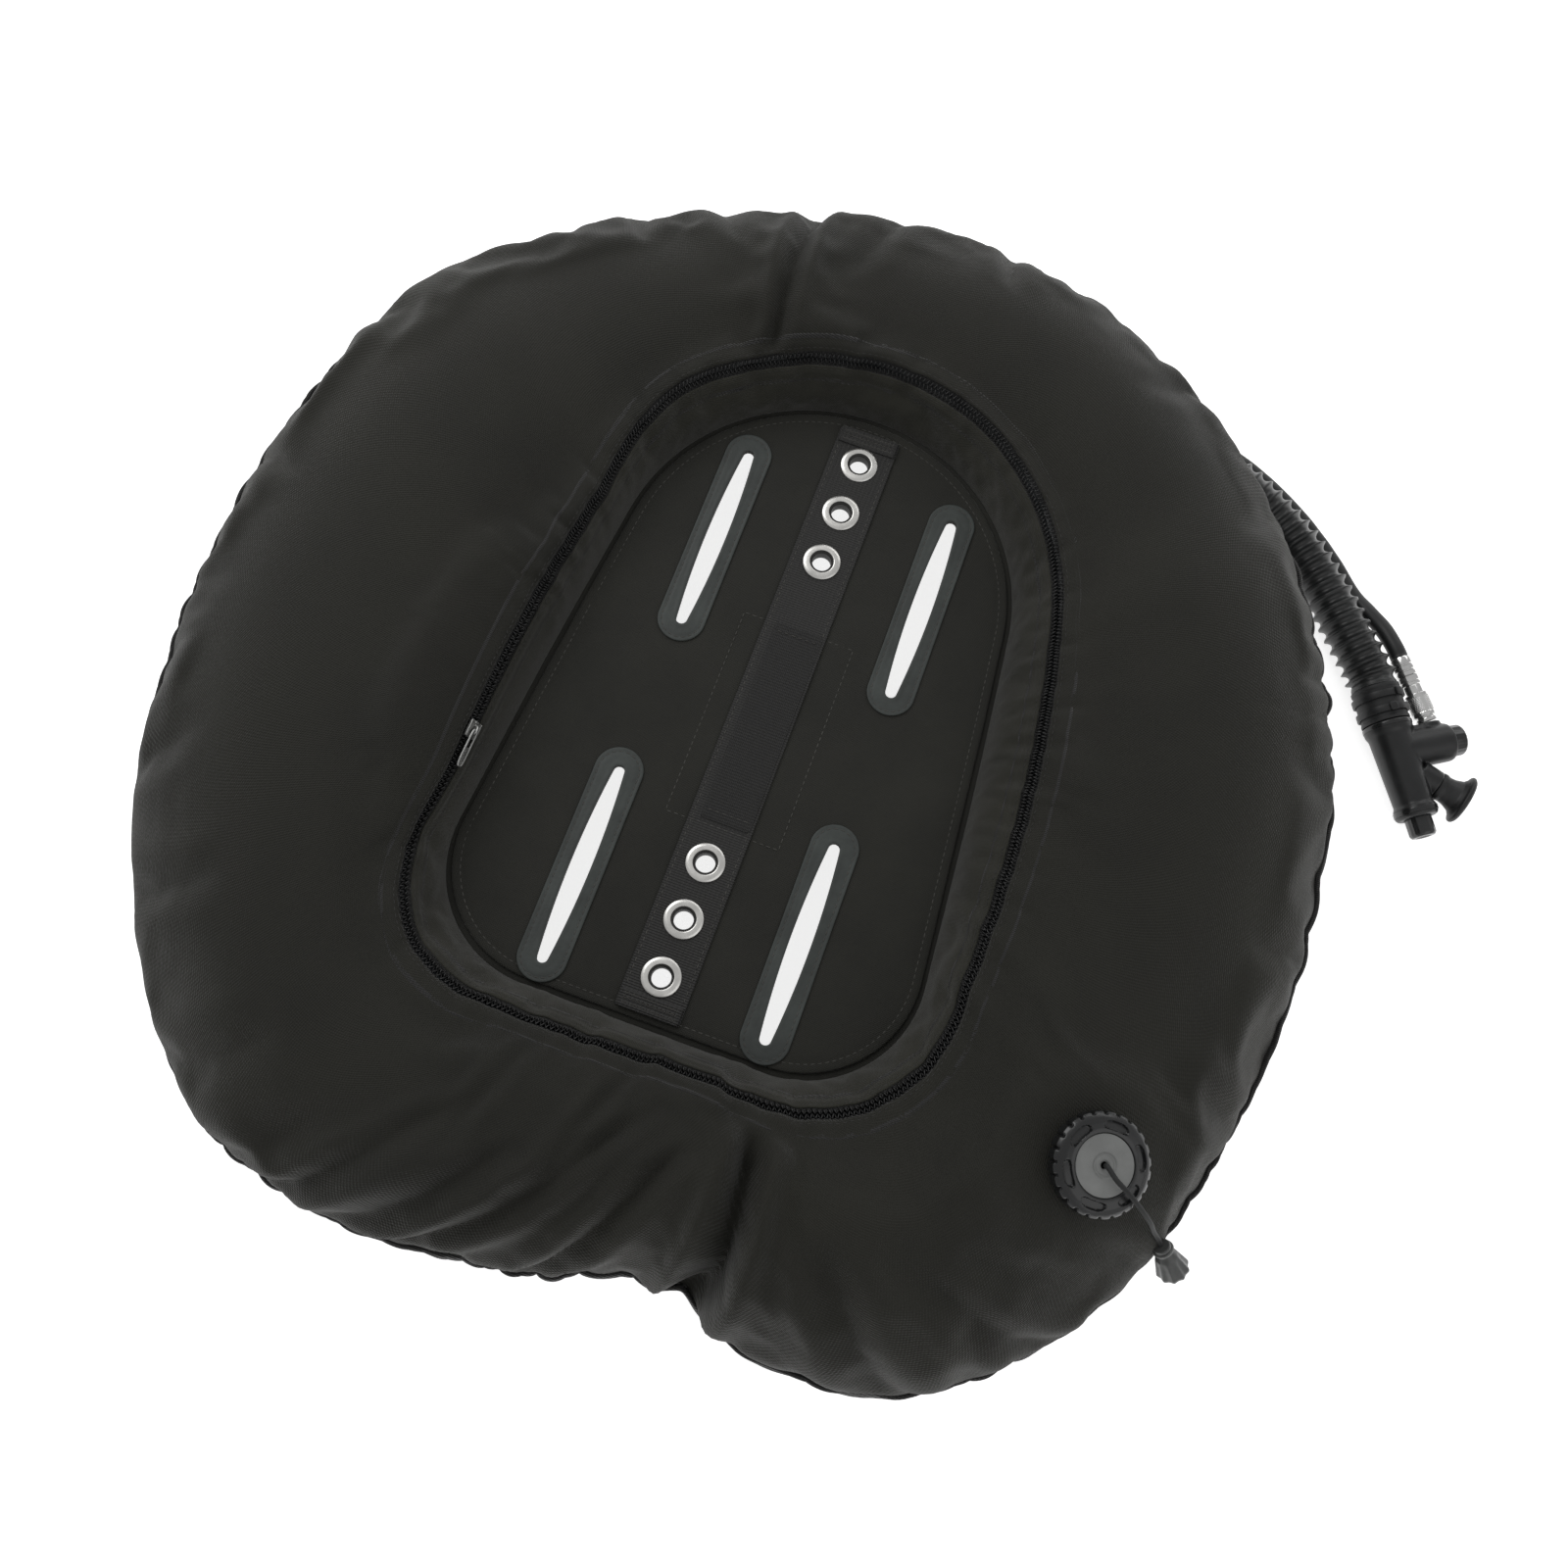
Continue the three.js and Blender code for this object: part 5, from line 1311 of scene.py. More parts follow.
def holes_distance(x, y, slots=True):
    """Signed distance outside every slot and eyelet hole of the layers."""
    gaps = [EYELET_BARREL + GAP - np.hypot(x - ex, y - ey) for ex, ey in EYELETS]
    if slots:
        gaps += [-slot_distance(x, y, centre) for centre in SLOTS.values()]
    return np.max(gaps, axis=0)


def gradient(distance, x, y):
    """The unit slope of a signed distance, by small differences."""
    step = 0.02
    gx = distance(x + step, y) - distance(x - step, y)
    gy = distance(x, y + step) - distance(x, y - step)
    length = np.maximum(np.hypot(gx, gy), 1e-9)
    return gx / length, gy / length


def flat_layer(name, distance, low, high, spacing, top, thickness, edge, relief=None):
    """A flat layer cut to a signed distance. Squares of a grid that lie inside are kept, their
    border points are moved to the outline along its gradient, and a rounded edge runs from the
    top face down the side to the bottom face. relief(x, y) lifts the top face."""
    counts = [max(2, int(round((b - a) / spacing)) + 1) for a, b in zip(low[:2], high[:2])]
    x, y = np.meshgrid(*(np.linspace(a, b, count) for a, b, count in zip(low, high, counts)))
    quads = grid_faces(*counts[::-1])
    flat_x, flat_y = x.ravel(), y.ravel()
    middle = distance(flat_x[quads].mean(axis=1), flat_y[quads].mean(axis=1))
    quads = quads[middle < -edge - 0.12 * spacing][:, ::-1]
    used, quads = np.unique(quads, return_inverse=True)
    quads = quads.reshape(-1, 4)
    px, py = flat_x[used].copy(), flat_y[used].copy()
    edges = np.concatenate([quads[:, [k, (k + 1) % 4]] for k in range(4)])
    keys = np.sort(edges, axis=1)
    _, first, counts = np.unique(keys, axis=0, return_index=True, return_counts=True)
    border = edges[first[counts == 1]]
    rim = np.unique(border)
    for _ in range(4):
        gx, gy = gradient(distance, px[rim], py[rim])
        away = distance(px[rim], py[rim]) + edge
        px[rim] -= away * gx
        py[rim] -= away * gy
    gx, gy = gradient(distance, px[rim], py[rim])
    lift = np.zeros_like(px) if relief is None else relief(px, py)
    turns = np.radians([30.0, 60.0, 90.0])
    profile = [(edge * math.sin(a), edge * (1 - math.cos(a))) for a in turns]
    profile += [(edge * math.sin(a), thickness - edge * (1 - math.cos(a))) for a in turns[::-1]]
    levels = [
        np.stack([px[rim] + out * gx, py[rim] + out * gy, top + lift[rim] - down], axis=1) for out, down in profile
    ]
    points = [np.stack([px, py, level], axis=1) for level in (top + lift, np.full_like(px, top - thickness))]
    count, order = len(px), np.empty(len(px), dtype=int)
    order[rim] = np.arange(len(rim))
    stack = [border] + [2 * count + k * len(rim) + order[border] for k in range(len(levels))] + [count + border]
    faces = [quads, quads[:, ::-1] + count]
    for up, down in zip(stack, stack[1:]):
        faces.append(np.stack([up[:, 1], up[:, 0], down[:, 0], down[:, 1]], axis=1))
    return tidy_mesh(new_object(name, np.vstack(points + levels), np.vstack(faces).tolist()), 50.0)


def panel_relief(x, y):
    """The panel's stiffened cloth: a low welt inside its edge, a sunk stitch line, and a faint
    quilting between the layers that fades out near the edge, the holes and the spine."""
    edge = -panel_distance(x, y)
    welt = 0.35 * bell(edge - 2.2, 1.8) - 0.35 * bell(edge - PANEL_STITCH, 1.1)
    waves = 0.28 * np.sin(x * 0.041 + 0.7) * np.sin(y * 0.033 + 0.4) + 0.12 * np.sin(x * 0.11 + y * 0.07)
    calm = smooth(edge / 14.0) * smooth((-holes_distance(x, y) - 16.0) / 20.0) * smooth((np.abs(x) - 21.0) / 9.0)
    return welt + waves * calm


def outline_points(distance, start, spacing=0.8):
    """Points moved on to a closed outline along its gradient, then set at even steps."""
    x, y = start[:, 0].copy(), start[:, 1].copy()
    for _ in range(6):
        gx, gy = gradient(distance, x, y)
        away = distance(x, y)
        x -= away * gx
        y -= away * gy
    path = np.stack([x, y], axis=1)
    path = np.vstack([path, path[:1]])
    along = walked(path)
    return sampled(path, along, np.linspace(0.0, along[-1], int(along[-1] / spacing) + 1))


def flat_stitches(path, z, thread, length=3.2, gap=1.0, width=0.75, rise=0.42):
    """Stitches along a flat path, with their thread."""
    points = np.column_stack([path, np.full(len(path), z)])
    up = np.tile([0.0, 0.0, 1.0], (len(path), 1))
    obj = stitch_rows("stitches", points, up, length, gap, width, rise)
    obj.data.materials.append(thread)
    return obj


def line(a, b, spacing=1.0):
    """Points of a straight line at even steps."""
    a, b = np.array(a, dtype=float), np.array(b, dtype=float)
    count = max(2, int(np.linalg.norm(b - a) / spacing) + 1)
    return a + (b - a) * np.linspace(0.0, 1.0, count)[:, None]


def round_start():
    """Points of a unit circle, from which outlines are found."""
    turn = full_turn(720)
    return np.stack([np.cos(turn), np.sin(turn)], axis=1)


BOX_LOW = (-34.0, -81.0)
BOX_HIGH = (38.0, 55.0)
STRIP_LOW = (-13.0, -78.0)
STRIP_HIGH = (18.0, 56.0)
PANEL_STITCH = 5.0
PATCH_STITCH = 2.6
PATCH_TOP = PANEL_TOP + PATCH_THICKNESS


def build_layers(sizes):
    """The panel, its sheet, the slot patches, the webbing and all of their stitching."""
    cloth = woven_cloth("panel cloth", sizes.panel_colour, sizes.panel_thread, 0.0003, 0.7, 0.25, None, 14.0)
    rubber = moulded("patch rubber", sizes.patch_colour, 0.5, 520.0, 0.00014, 0.4)
    strap = ribbed_webbing("spine webbing", sizes.webbing_colour, 0.0016)
    loop = ribbed_webbing("spine strip", scaled(sizes.webbing_colour, 0.72), 0.0011, False)
    thread = moulded("sewing thread", sizes.thread_colour, 0.6, 2500.0, 0.00005, 0.3)

    panel = flat_layer(
        "centre_panel_cloth", lambda x, y: np.maximum(panel_distance(x, y), holes_distance(x, y)),
        (-146.0, -206.0), (146.0, 210.0), 2.0, PANEL_TOP, PANEL_THICKNESS - 0.15, 0.55, panel_relief,
    )
    sheet = flat_layer(
        "centre_sheet_cloth",
        lambda x, y: np.maximum(panel_distance(x, y) - PANEL_TO_RING - FABRIC, holes_distance(x, y)),
        (-152.0, -212.0), (152.0, 216.0), 2.6, SHEET_TOP, SHEET_THICKNESS, 0.5,
    )
    for piece, node in ((panel, "centre_panel"), (sheet, "centre_sheet")):
        dress(piece, cloth, node, "cover")
        low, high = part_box(node)
        float(layer_area(piece))
    for name, centre in SLOTS.items():
        build_patch(f"slot_patch_{name}", centre, rubber, thread)

    low, high = node_box("spine_webbing")
    webbing = flat_layer(
        "spine_webbing_strap",
        lambda x, y: np.maximum(box_distance(x, y, low, high, 1.0), holes_distance(x, y, slots=False)),
        low[:2] - 0.5, high[:2] + 0.5, 1.3, 0.0, -PANEL_TOP, 0.6,
        lambda x, y: 0.1 * np.sin(y * 0.05) - 0.15 * bell(np.abs(x) - SPINE_HALF + 2.4, 0.8),
    )
    dress(webbing, strap, "spine_webbing", "cover")
    strip = flat_layer(
        "spine_strip", lambda x, y: box_distance(x, y, STRIP_LOW, STRIP_HIGH, 1.5), np.subtract(STRIP_LOW, 0.5),
        np.add(STRIP_HIGH, 0.5), 1.4, 0.75, 0.7, 0.3, lambda x, y: 0.12 * np.sin(y * 0.09 + 1.0),
    )
    dress(strip, loop, None, "cover")

    edge = outline_points(lambda x, y: panel_distance(x, y) + PANEL_STITCH, round_start() * 180.0)
    rows = [flat_stitches(edge, PANEL_TOP - 0.35, thread)]
    for x in (2.4 - SPINE_HALF, SPINE_HALF - 2.4):
        rows.append(flat_stitches(line((x, -186.0), (x, 186.0)), -0.15, thread))
    corners = [BOX_LOW, (BOX_HIGH[0], BOX_LOW[1]), BOX_HIGH, (BOX_LOW[0], BOX_HIGH[1]), BOX_LOW]
    for a, b in zip(corners, corners[1:]):
        rows += box_rows(a, b, thread)
    for y in (-72.0, 50.0):
        rows.append(flat_stitches(line((STRIP_LOW[0] + 2, y), (STRIP_HIGH[0] - 2, y)), 0.75, thread))
    for end in ("head", "tail"):
        rows += build_tab(end, strap, thread)
    dress(joined("panel_stitches", rows), None, None, "cover")


def build_patch(node, centre, rubber, thread):
    """A rubbery patch round its slot, with a sunk stitch line and a low lip at the slot."""
    patch = flat_layer(
        f"{node}_rubber", lambda x, y: np.maximum(patch_distance(x, y, centre), -slot_distance(x, y, centre)),
        (centre[0] - 15.5, centre[1] - 75.5), (centre[0] + 15.5, centre[1] + 75.5), 1.0,
        PATCH_TOP, PATCH_THICKNESS, 0.5,
        lambda x, y: 0.25 * bell(slot_distance(x, y, centre) - 1.2, 1.0)
        - 0.28 * bell(patch_distance(x, y, centre) + PATCH_STITCH, 0.9),
    )
    patch.data.materials.append(rubber)
    start = np.array([centre]) + round_start() * [12.0, 72.0]
    row = outline_points(lambda x, y: patch_distance(x, y, centre) + PATCH_STITCH, start)
    stitches = flat_stitches(row, PATCH_TOP - 0.3, thread)
    dress(joined(f"{node}_sewn", [patch, stitches]), None, node, "cover")


def layer_area(piece):
    """The flat area of a layer's top face, from its faces that look up."""
    mesh = piece.data
    area = np.empty(len(mesh.polygons))
    normal = np.empty(len(mesh.polygons) * 3)
    mesh.polygons.foreach_get("area", area)
    mesh.polygons.foreach_get("normal", normal)
    return area[normal.reshape(-1, 3)[:, 2] > 0.5].sum()


def box_rows(a, b, thread):
    """One side of the stitched rectangle, broken where it crosses the webbing's raised edge."""
    if a[1] != b[1]:
        return [flat_stitches(line(a, b), PANEL_TOP - 0.08, thread)]
    low, high = sorted((a[0], b[0]))
    spans = (
        (low, -SPINE_HALF - 0.6, PANEL_TOP), (0.8 - SPINE_HALF, SPINE_HALF - 0.8, 0.0),
        (SPINE_HALF + 0.6, high, PANEL_TOP),
    )
    return [flat_stitches(line((x0, a[1]), (x1, a[1])), z - 0.08, thread) for x0, x1, z in spans]


BAR_PLACES = (0.24, 0.5, 0.76)
BAR_POINTS = 61


def build_tab(end, strap, thread):
    """The webbing's end folded back on itself: a flat tab whose fold is round, sewn down with
    close zigzag bars. The bars are returned with the other stitches."""
    node = f"webbing_tab_{end}"
    low, high = node_box(node)
    tab = flat_layer(
        f"{node}_folded", lambda x, y: box_distance(x, y, low, high, 0.8), low[:2] - 0.4, high[:2] + 0.4, 0.8,
        high[2], high[2] - low[2], 0.62, lambda x, y: -0.2 * bell(y - (low[1] + high[1]) / 2, 1.4),
    )
    dress(tab, strap, node, "cover")
    rows = []
    for share in BAR_PLACES:
        x = np.linspace(low[0] + 2.5, high[0] - 2.5, BAR_POINTS)
        y = mix(low[1], high[1], share) + 0.9 * (np.arange(BAR_POINTS) % 2 - 0.5)
        rows.append(flat_stitches(np.stack([x, y], axis=1), high[2] - 0.12, thread, 1.4, 0.1, 0.55, 0.3))
    return rows


# Faces of an eyelet ring nearer its axis than this take the near-black material: painted shade inside the hole.
EYELET_SHADE_REACH = 7.7


def build_eyelets(sizes):
    """Rolled rings: a round flange, a turned-in lip at the hole, and the barrel closed over a washer. Faces inside
    the hole take a near-black painted shade.
    """
    plated = bright_metal("eyelet plate", sizes.eyelet_colour, 0.3, (1.0, 1.0, 1.0))
    # Painted shade: a near-black material for the inside of each eyelet's hole, where shadow falls.
    throat_shade = moulded("eyelet throat", (0.012, 0.0115, 0.010), 0.55, 900.0, 0.00005, 0.8)
    for i in range(1, 7):
        place = Place(f"eyelet_{i}", (0.0, 0.0, 1.0), (1.0, 0.0, 0.0))
        foot = place.origin[2]
        place = place.moved(z=-foot)
        low, high = foot + 1.1, foot + 2.3
        ring_profile = softened(
            [(6.0, foot), (9.0, foot), (9.0, foot + 0.8), (6.8, foot + 0.8), (6.8, -0.02), (12.0, -0.02),
             (12.0, 0.75), (10.4, 1.45), (7.9, 1.6), (6.0, 0.5)], 0.55, 4,
        )
        washer_profile = softened([(7.1, low), (12.0, low), (12.0, high), (7.1, high)], 0.3)
        ring = turned(f"eyelet_{i}_ring", ring_profile, place, 64, 60.0)
        washer = turned(f"eyelet_{i}_washer", washer_profile, place, 48, 60.0)
        for piece, node in ((ring, f"eyelet_{i}"), (washer, f"eyelet_washer_{i}")):
            dress(piece, plated, node, "cover")
            piece.data.materials.append(throat_shade)
        # The faces inside the hole get the second material, the painted shade.
        centres = np.empty(len(ring.data.polygons) * 3)
        ring.data.polygons.foreach_get("center", centres)
        away = reach(centres.reshape(-1, 3) / MM - place.origin)
        ring.data.polygons.foreach_set("material_index", (away < EYELET_SHADE_REACH).astype(np.int32))


# ---------- dump valve ----------
def fine(profile, step, closed=True):
    """A profile with extra points, so that none are further apart than a step."""
    profile = np.asarray(profile)
    points = []
    for a, b in zip(profile, np.roll(profile, -1, axis=0)[: None if closed else -1]):
        pieces = max(1, int(math.ceil(np.linalg.norm(b - a) / step)))
        points += [a + (b - a) * k / pieces for k in range(pieces)]
    return np.array(points if closed else points + [profile[-1]])


SPRING_WIRE = 1.0
CAP_NOTCHES = 24
NOTCH_DEPTH = 1.5
WINDOW_RADIUS = 21.3
WINDOW_DEPTH = 2.0
CAP_WINDOWS = 6
KNOB_FLUTES = 10


def cap_shape(points, turn):
    """Cuts the skirt's finger notches and sinks the six windows into the dome. A notch is a
    narrow cosine lobe; a window is an oval a quarter of its turn long."""
    radius, height = reach(points), points[..., 2]
    lobe = np.clip(np.cos(turn * CAP_NOTCHES), 0.0, 1.0) ** 3
    cut = NOTCH_DEPTH * lobe[None, :] * smooth((radius - 25.6) / 1.2) * smooth((11.6 - height) / 1.5)
    window = (turn * CAP_WINDOWS / TAU) % 1.0 - 0.5
    across = (radius - WINDOW_RADIUS) / 2.5
    along = window[None, :] * TAU / CAP_WINDOWS * radius / 7.4
    inside = 1.0 - (np.abs(across) ** 2.6 + np.abs(along) ** 2.6)
    sink = WINDOW_DEPTH * smooth((inside + 0.05) / 0.30) * smooth((height - 11.0) / 0.5)
    return widened(points, (radius - cut) / np.maximum(radius, 1e-6), sink)


def knob_shape(points, turn):
    """Flutes the bell: its radius swells between the flutes, more towards the open end."""
    depth = 0.10 * smooth((points[..., 2] - 7.0) / 8.0)
    wave = 1.0 - depth * (0.5 - 0.5 * np.cos(turn * KNOB_FLUTES)) ** 0.7
    return widened(points, np.where(reach(points) > 3.8, wave, 1.0))


def build_valve(sizes):
    """The dump valve from its cap inwards, and the knob on its pull cord."""
    gloss = moulded("gloss moulding", sizes.gloss_colour, 0.26, 650.0, 0.00002, 0.35, coat=0.2)
    grey = moulded("grey moulding", sizes.disc_colour, 0.42, 700.0, 0.00005, 0.15)
    seal = moulded("seal rubber", sizes.seal_colour, 0.55, 800.0, 0.00005, 0.3)
    steel = bright_metal("spring steel", (0.42, 0.42, 0.42), 0.25)
    dark = moulded("bell moulding", scaled(sizes.disc_colour, 0.35), 0.3, 650.0, 0.00004, 0.5)
    profile = softened(
        [(22.3, 1.2), (27.2, 1.2), (28.0, 2.4), (28.0, 9.6), (26.6, 11.0), (25.2, 11.9), (22.6, 13.0), (19.0, 13.4),
         (17.0, 13.2), (17.0, 10.0), (14.7, 10.0), (14.7, 8.2), (20.5, 8.2), (20.5, 6.8), (22.3, 6.8)], 0.5, 3,
    )
    cap = turned("valve_cap_moulding", fine(profile, 0.55), VALVE, 288, 40.0, cap_shape)
    dress(cap, gloss, "valve_cap", "cover")
    profile = softened(
        [(2.0, 9.2), (13.7, 9.2), (13.7, 10.2), (16.7, 10.2), (16.7, 12.8), (7.0, 12.8), (6.4, 12.2), (5.4, 12.2),
         (4.8, 12.8), (3.0, 12.8), (2.0, 12.0)], 0.35, 3,
    )
    dress(turned("valve_disc_moulding", profile, VALVE, 96, 35.0), grey, "valve_disc", "cover")
    for node, material in (("valve_seat", gloss), ("valve_gasket", seal), ("valve_poppet", seal)):
        set_material(node, material)
    coil_spring("valve_spring", "dump_pull", 4.5, steel)
    profile = softened(
        [(0.0, 0.0), (4.6, 0.0), (5.0, 0.6), (5.0, 2.8), (4.3, 3.6), (4.7, 6.5), (6.3, 9.5), (8.2, 15.0),
         (9.8, 21.0), (9.3, 22.8), (7.9, 21.4), (5.0, 17.0), (0.0, 16.0)], 0.5, 3,
    )
    knob = turned("pull_knob_bell", fine(profile, 0.8, False), KNOB, 100, 40.0, knob_shape)
    dress(knob, dark, "pull_knob", "valve_pull")
    profile = softened([(4.9, 2.9), (5.9, 2.9), (6.2, 3.5), (5.9, 4.1), (4.5, 4.1)], 0.25, 2)
    dress(turned("pull_knob_collar", profile, KNOB, 48, 35.0), grey, None, "valve_pull")


def set_material(node, material):
    """Gives a CAD node a material in place of its own."""
    mesh = frame["nodes"][node].data
    mesh.materials.clear()
    mesh.materials.append(material)


def coil_spring(node, joint, turns, material):
    """A spring of round wire: a helix whose pitch closes up at both ends."""
    place = Place(node, joint_axis(joint), (0.0, 0.3, 1.0))
    local = (node_points(node) - place.origin) @ place.turn.T
    wire = SPRING_WIRE / 2
    coil = np.hypot(local[:, 0], local[:, 1]).max() - wire
    share = np.linspace(0.0, 1.0, int(turns * 22))
    rise = wire + (place.length - 2 * wire) * smooth(share)
    wind = TAU * turns * share
    path = place.world(np.stack([coil * np.cos(wind), coil * np.sin(wind), rise], axis=-1))
    piece = dress(swept(node + "_wire", path, wire, 10), material, node, "cover")
    tuple(place.world((0.0, 0.0, place.length)) * MM)
    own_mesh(piece)


# ---------- elbow, cuffs and ties ----------
ELBOW_BEND = 9.0


def build_elbow(sizes):
    """The elbow, swept round a quarter circle from its flange to its spigot, and the ring that holds it."""
    gloss = moulded("elbow moulding", sizes.gloss_colour, 0.38, 650.0, 0.00006, 0.4)
    seal = moulded("elbow seal", sizes.seal_colour, 0.55, 800.0, 0.00005, 0.3)
    _, high = node_box("elbow")
    x, y = ELBOW
    bend = np.linspace(0.0, math.pi / 2, 14)[1:]
    path = [(x, y, z) for z in np.linspace(high[2], HOSE_Z + ELBOW_BEND, 8)]
    path += [(x + ELBOW_BEND * (1 - math.cos(a)), y, HOSE_Z + ELBOW_BEND * (1 - math.sin(a))) for a in bend]
    path += [(run, y, HOSE_Z) for run in np.linspace(x + ELBOW_BEND, high[0], 24)[1:]]
    path = np.array(path)
    radius = np.where(path[:, 0] > x + 20.0, SPIGOT_RADIUS, 13.6)
    radius[:2] = 14.0
    dress(swept("elbow_moulding", path, radius, 48, 40.0), gloss, "elbow", "cover")
    collar = Place("elbow_collar", (0.0, 0.0, -1.0), (1.0, 0.0, 0.0))

    def lobed(points, turn):
        """Twelve low lobes round the collar, for the fingers."""
        return widened(points, 1.0 + 0.025 * np.cos(turn * 12) * smooth((reach(points) - 17.0) / 2.0))

    profile = softened([(15.3, 0.0), (19.4, 0.0), (19.4, 5.0), (15.3, 5.0)], 0.7, 3)
    ring = turned("elbow_collar_ring", profile, collar, 144, 40.0, lobed)
    dress(ring, gloss, "elbow_collar", "cover")
    set_material("elbow_seat", gloss)
    set_material("elbow_gasket", seal)


def hose_cuff(name, node, place, length, material):
    """A smooth cuff on its spigot, with a rolled rim at each end and a step between them."""
    inner, outer = SPIGOT_RADIUS + GAP, SPIGOT_RADIUS + GAP + CUFF_WALL
    profile = softened(
        [(inner, 0.0), (outer, 0.0), (outer, 2.0), (outer - 0.5, 2.6), (outer - 0.5, length - 3.0),
         (outer, length - 2.2), (outer, length), (inner, length)], 0.4, 3,
    )
    dress(turned(name, profile, place, 72, 40.0), material, node, "cover")


def cable_tie(name, node, material):
    """A band round the cuff with its square head."""
    place = Place(node, *TIE_AXES[node])
    inner = SPIGOT_RADIUS + 2 * GAP + CUFF_WALL - 0.45
    profile = softened([(inner, 0.0), (inner + 1.35, 0.0), (inner + 1.35, 4.6), (inner, 4.6)], 0.35, 2)
    band = turned(name + "_band", profile, place, 96, 40.0)
    band.data.materials.append(material)
    head = block(name + "_head", place, (inner + 1.6, 0.0, 2.3), (2.6, 5.4, 5.6))
    head.data.materials.append(material)
    dress(joined(name, [band, head]), None, node, "cover")


def block(name, place, centre, size, power=5.0):
    """A soft-cornered block: a superellipsoid, whose faces flatten as its power grows."""
    v = np.linspace(-math.pi / 2, math.pi / 2, 17)[:, None]
    u = full_turn(32)[None, :]
    waves = (np.cos(v), np.sin(v), np.cos(u), np.sin(u))
    cos_v, sin_v, cos_u, sin_u = (squared(wave, 2.0 / power) for wave in waves)
    points = np.stack([cos_v * cos_u, cos_v * sin_u, sin_v * np.ones_like(u)], axis=-1)
    points = points * np.array(size) / 2 + np.array(centre)
    return grid_object(name, place.world(points), False, True, 40.0)


TIE_AXES = {
    "hose_tie_elbow": ((1.0, 0.0, 0.0), (0.0, 0.6, -0.8)),
    "hose_tie_inflator_1": (-TIP_AXIS, (0.0, 0.0, 1.0)),
    "hose_tie_inflator_2": (-TIP_AXIS, (0.3, 0.4, 1.0)),
}


# ---------- power inflator ----------
MOUTH_AXIS = unit(INFLATE_AXIS + TIP_AXIS)
BODY_CELL = 0.55
FILLET_PASSES = 7
BOSS_REACH = 28.0


def branch(axis, along, out=0.0):
    """A place on the inflator's body whose axis points away from the body's own."""
    up = np.array([0.0, 0.0, 1.0])
    return Place.at(np.stack([up, np.cross(axis, up), axis]), INFLATOR.world((out, 0.0, along)))


def solid_of(parts):
    """One body from overlapping closed shapes: they are joined, remeshed to small cells so that
    they become one skin, and smoothed so that their meetings turn into fillets."""
    body = joined("body_parts", parts)
    remesh = body.modifiers.new("remesh", "REMESH")
    remesh.mode = "VOXEL"
    remesh.voxel_size = BODY_CELL * MM
    soften = body.modifiers.new("soften", "SMOOTH")
    soften.factor = 0.5
    soften.iterations = FILLET_PASSES
    return body


def applied(obj):
    """The object with its modifiers worked into its mesh."""
    depsgraph = bpy.context.evaluated_depsgraph_get()
    mesh = bpy.data.meshes.new_from_object(obj.evaluated_get(depsgraph))
    old = obj.data
    obj.modifiers.clear()
    obj.data = mesh
    bpy.data.meshes.remove(old)
    return obj


def cut_away(body, cutter):
    """Takes one closed shape out of another."""
    cutting = body.modifiers.new("cut", "BOOLEAN")
    cutting.operation = "DIFFERENCE"
    cutting.solver = "EXACT"
    cutting.object = cutter
    applied(body)
    bpy.data.meshes.remove(cutter.data)


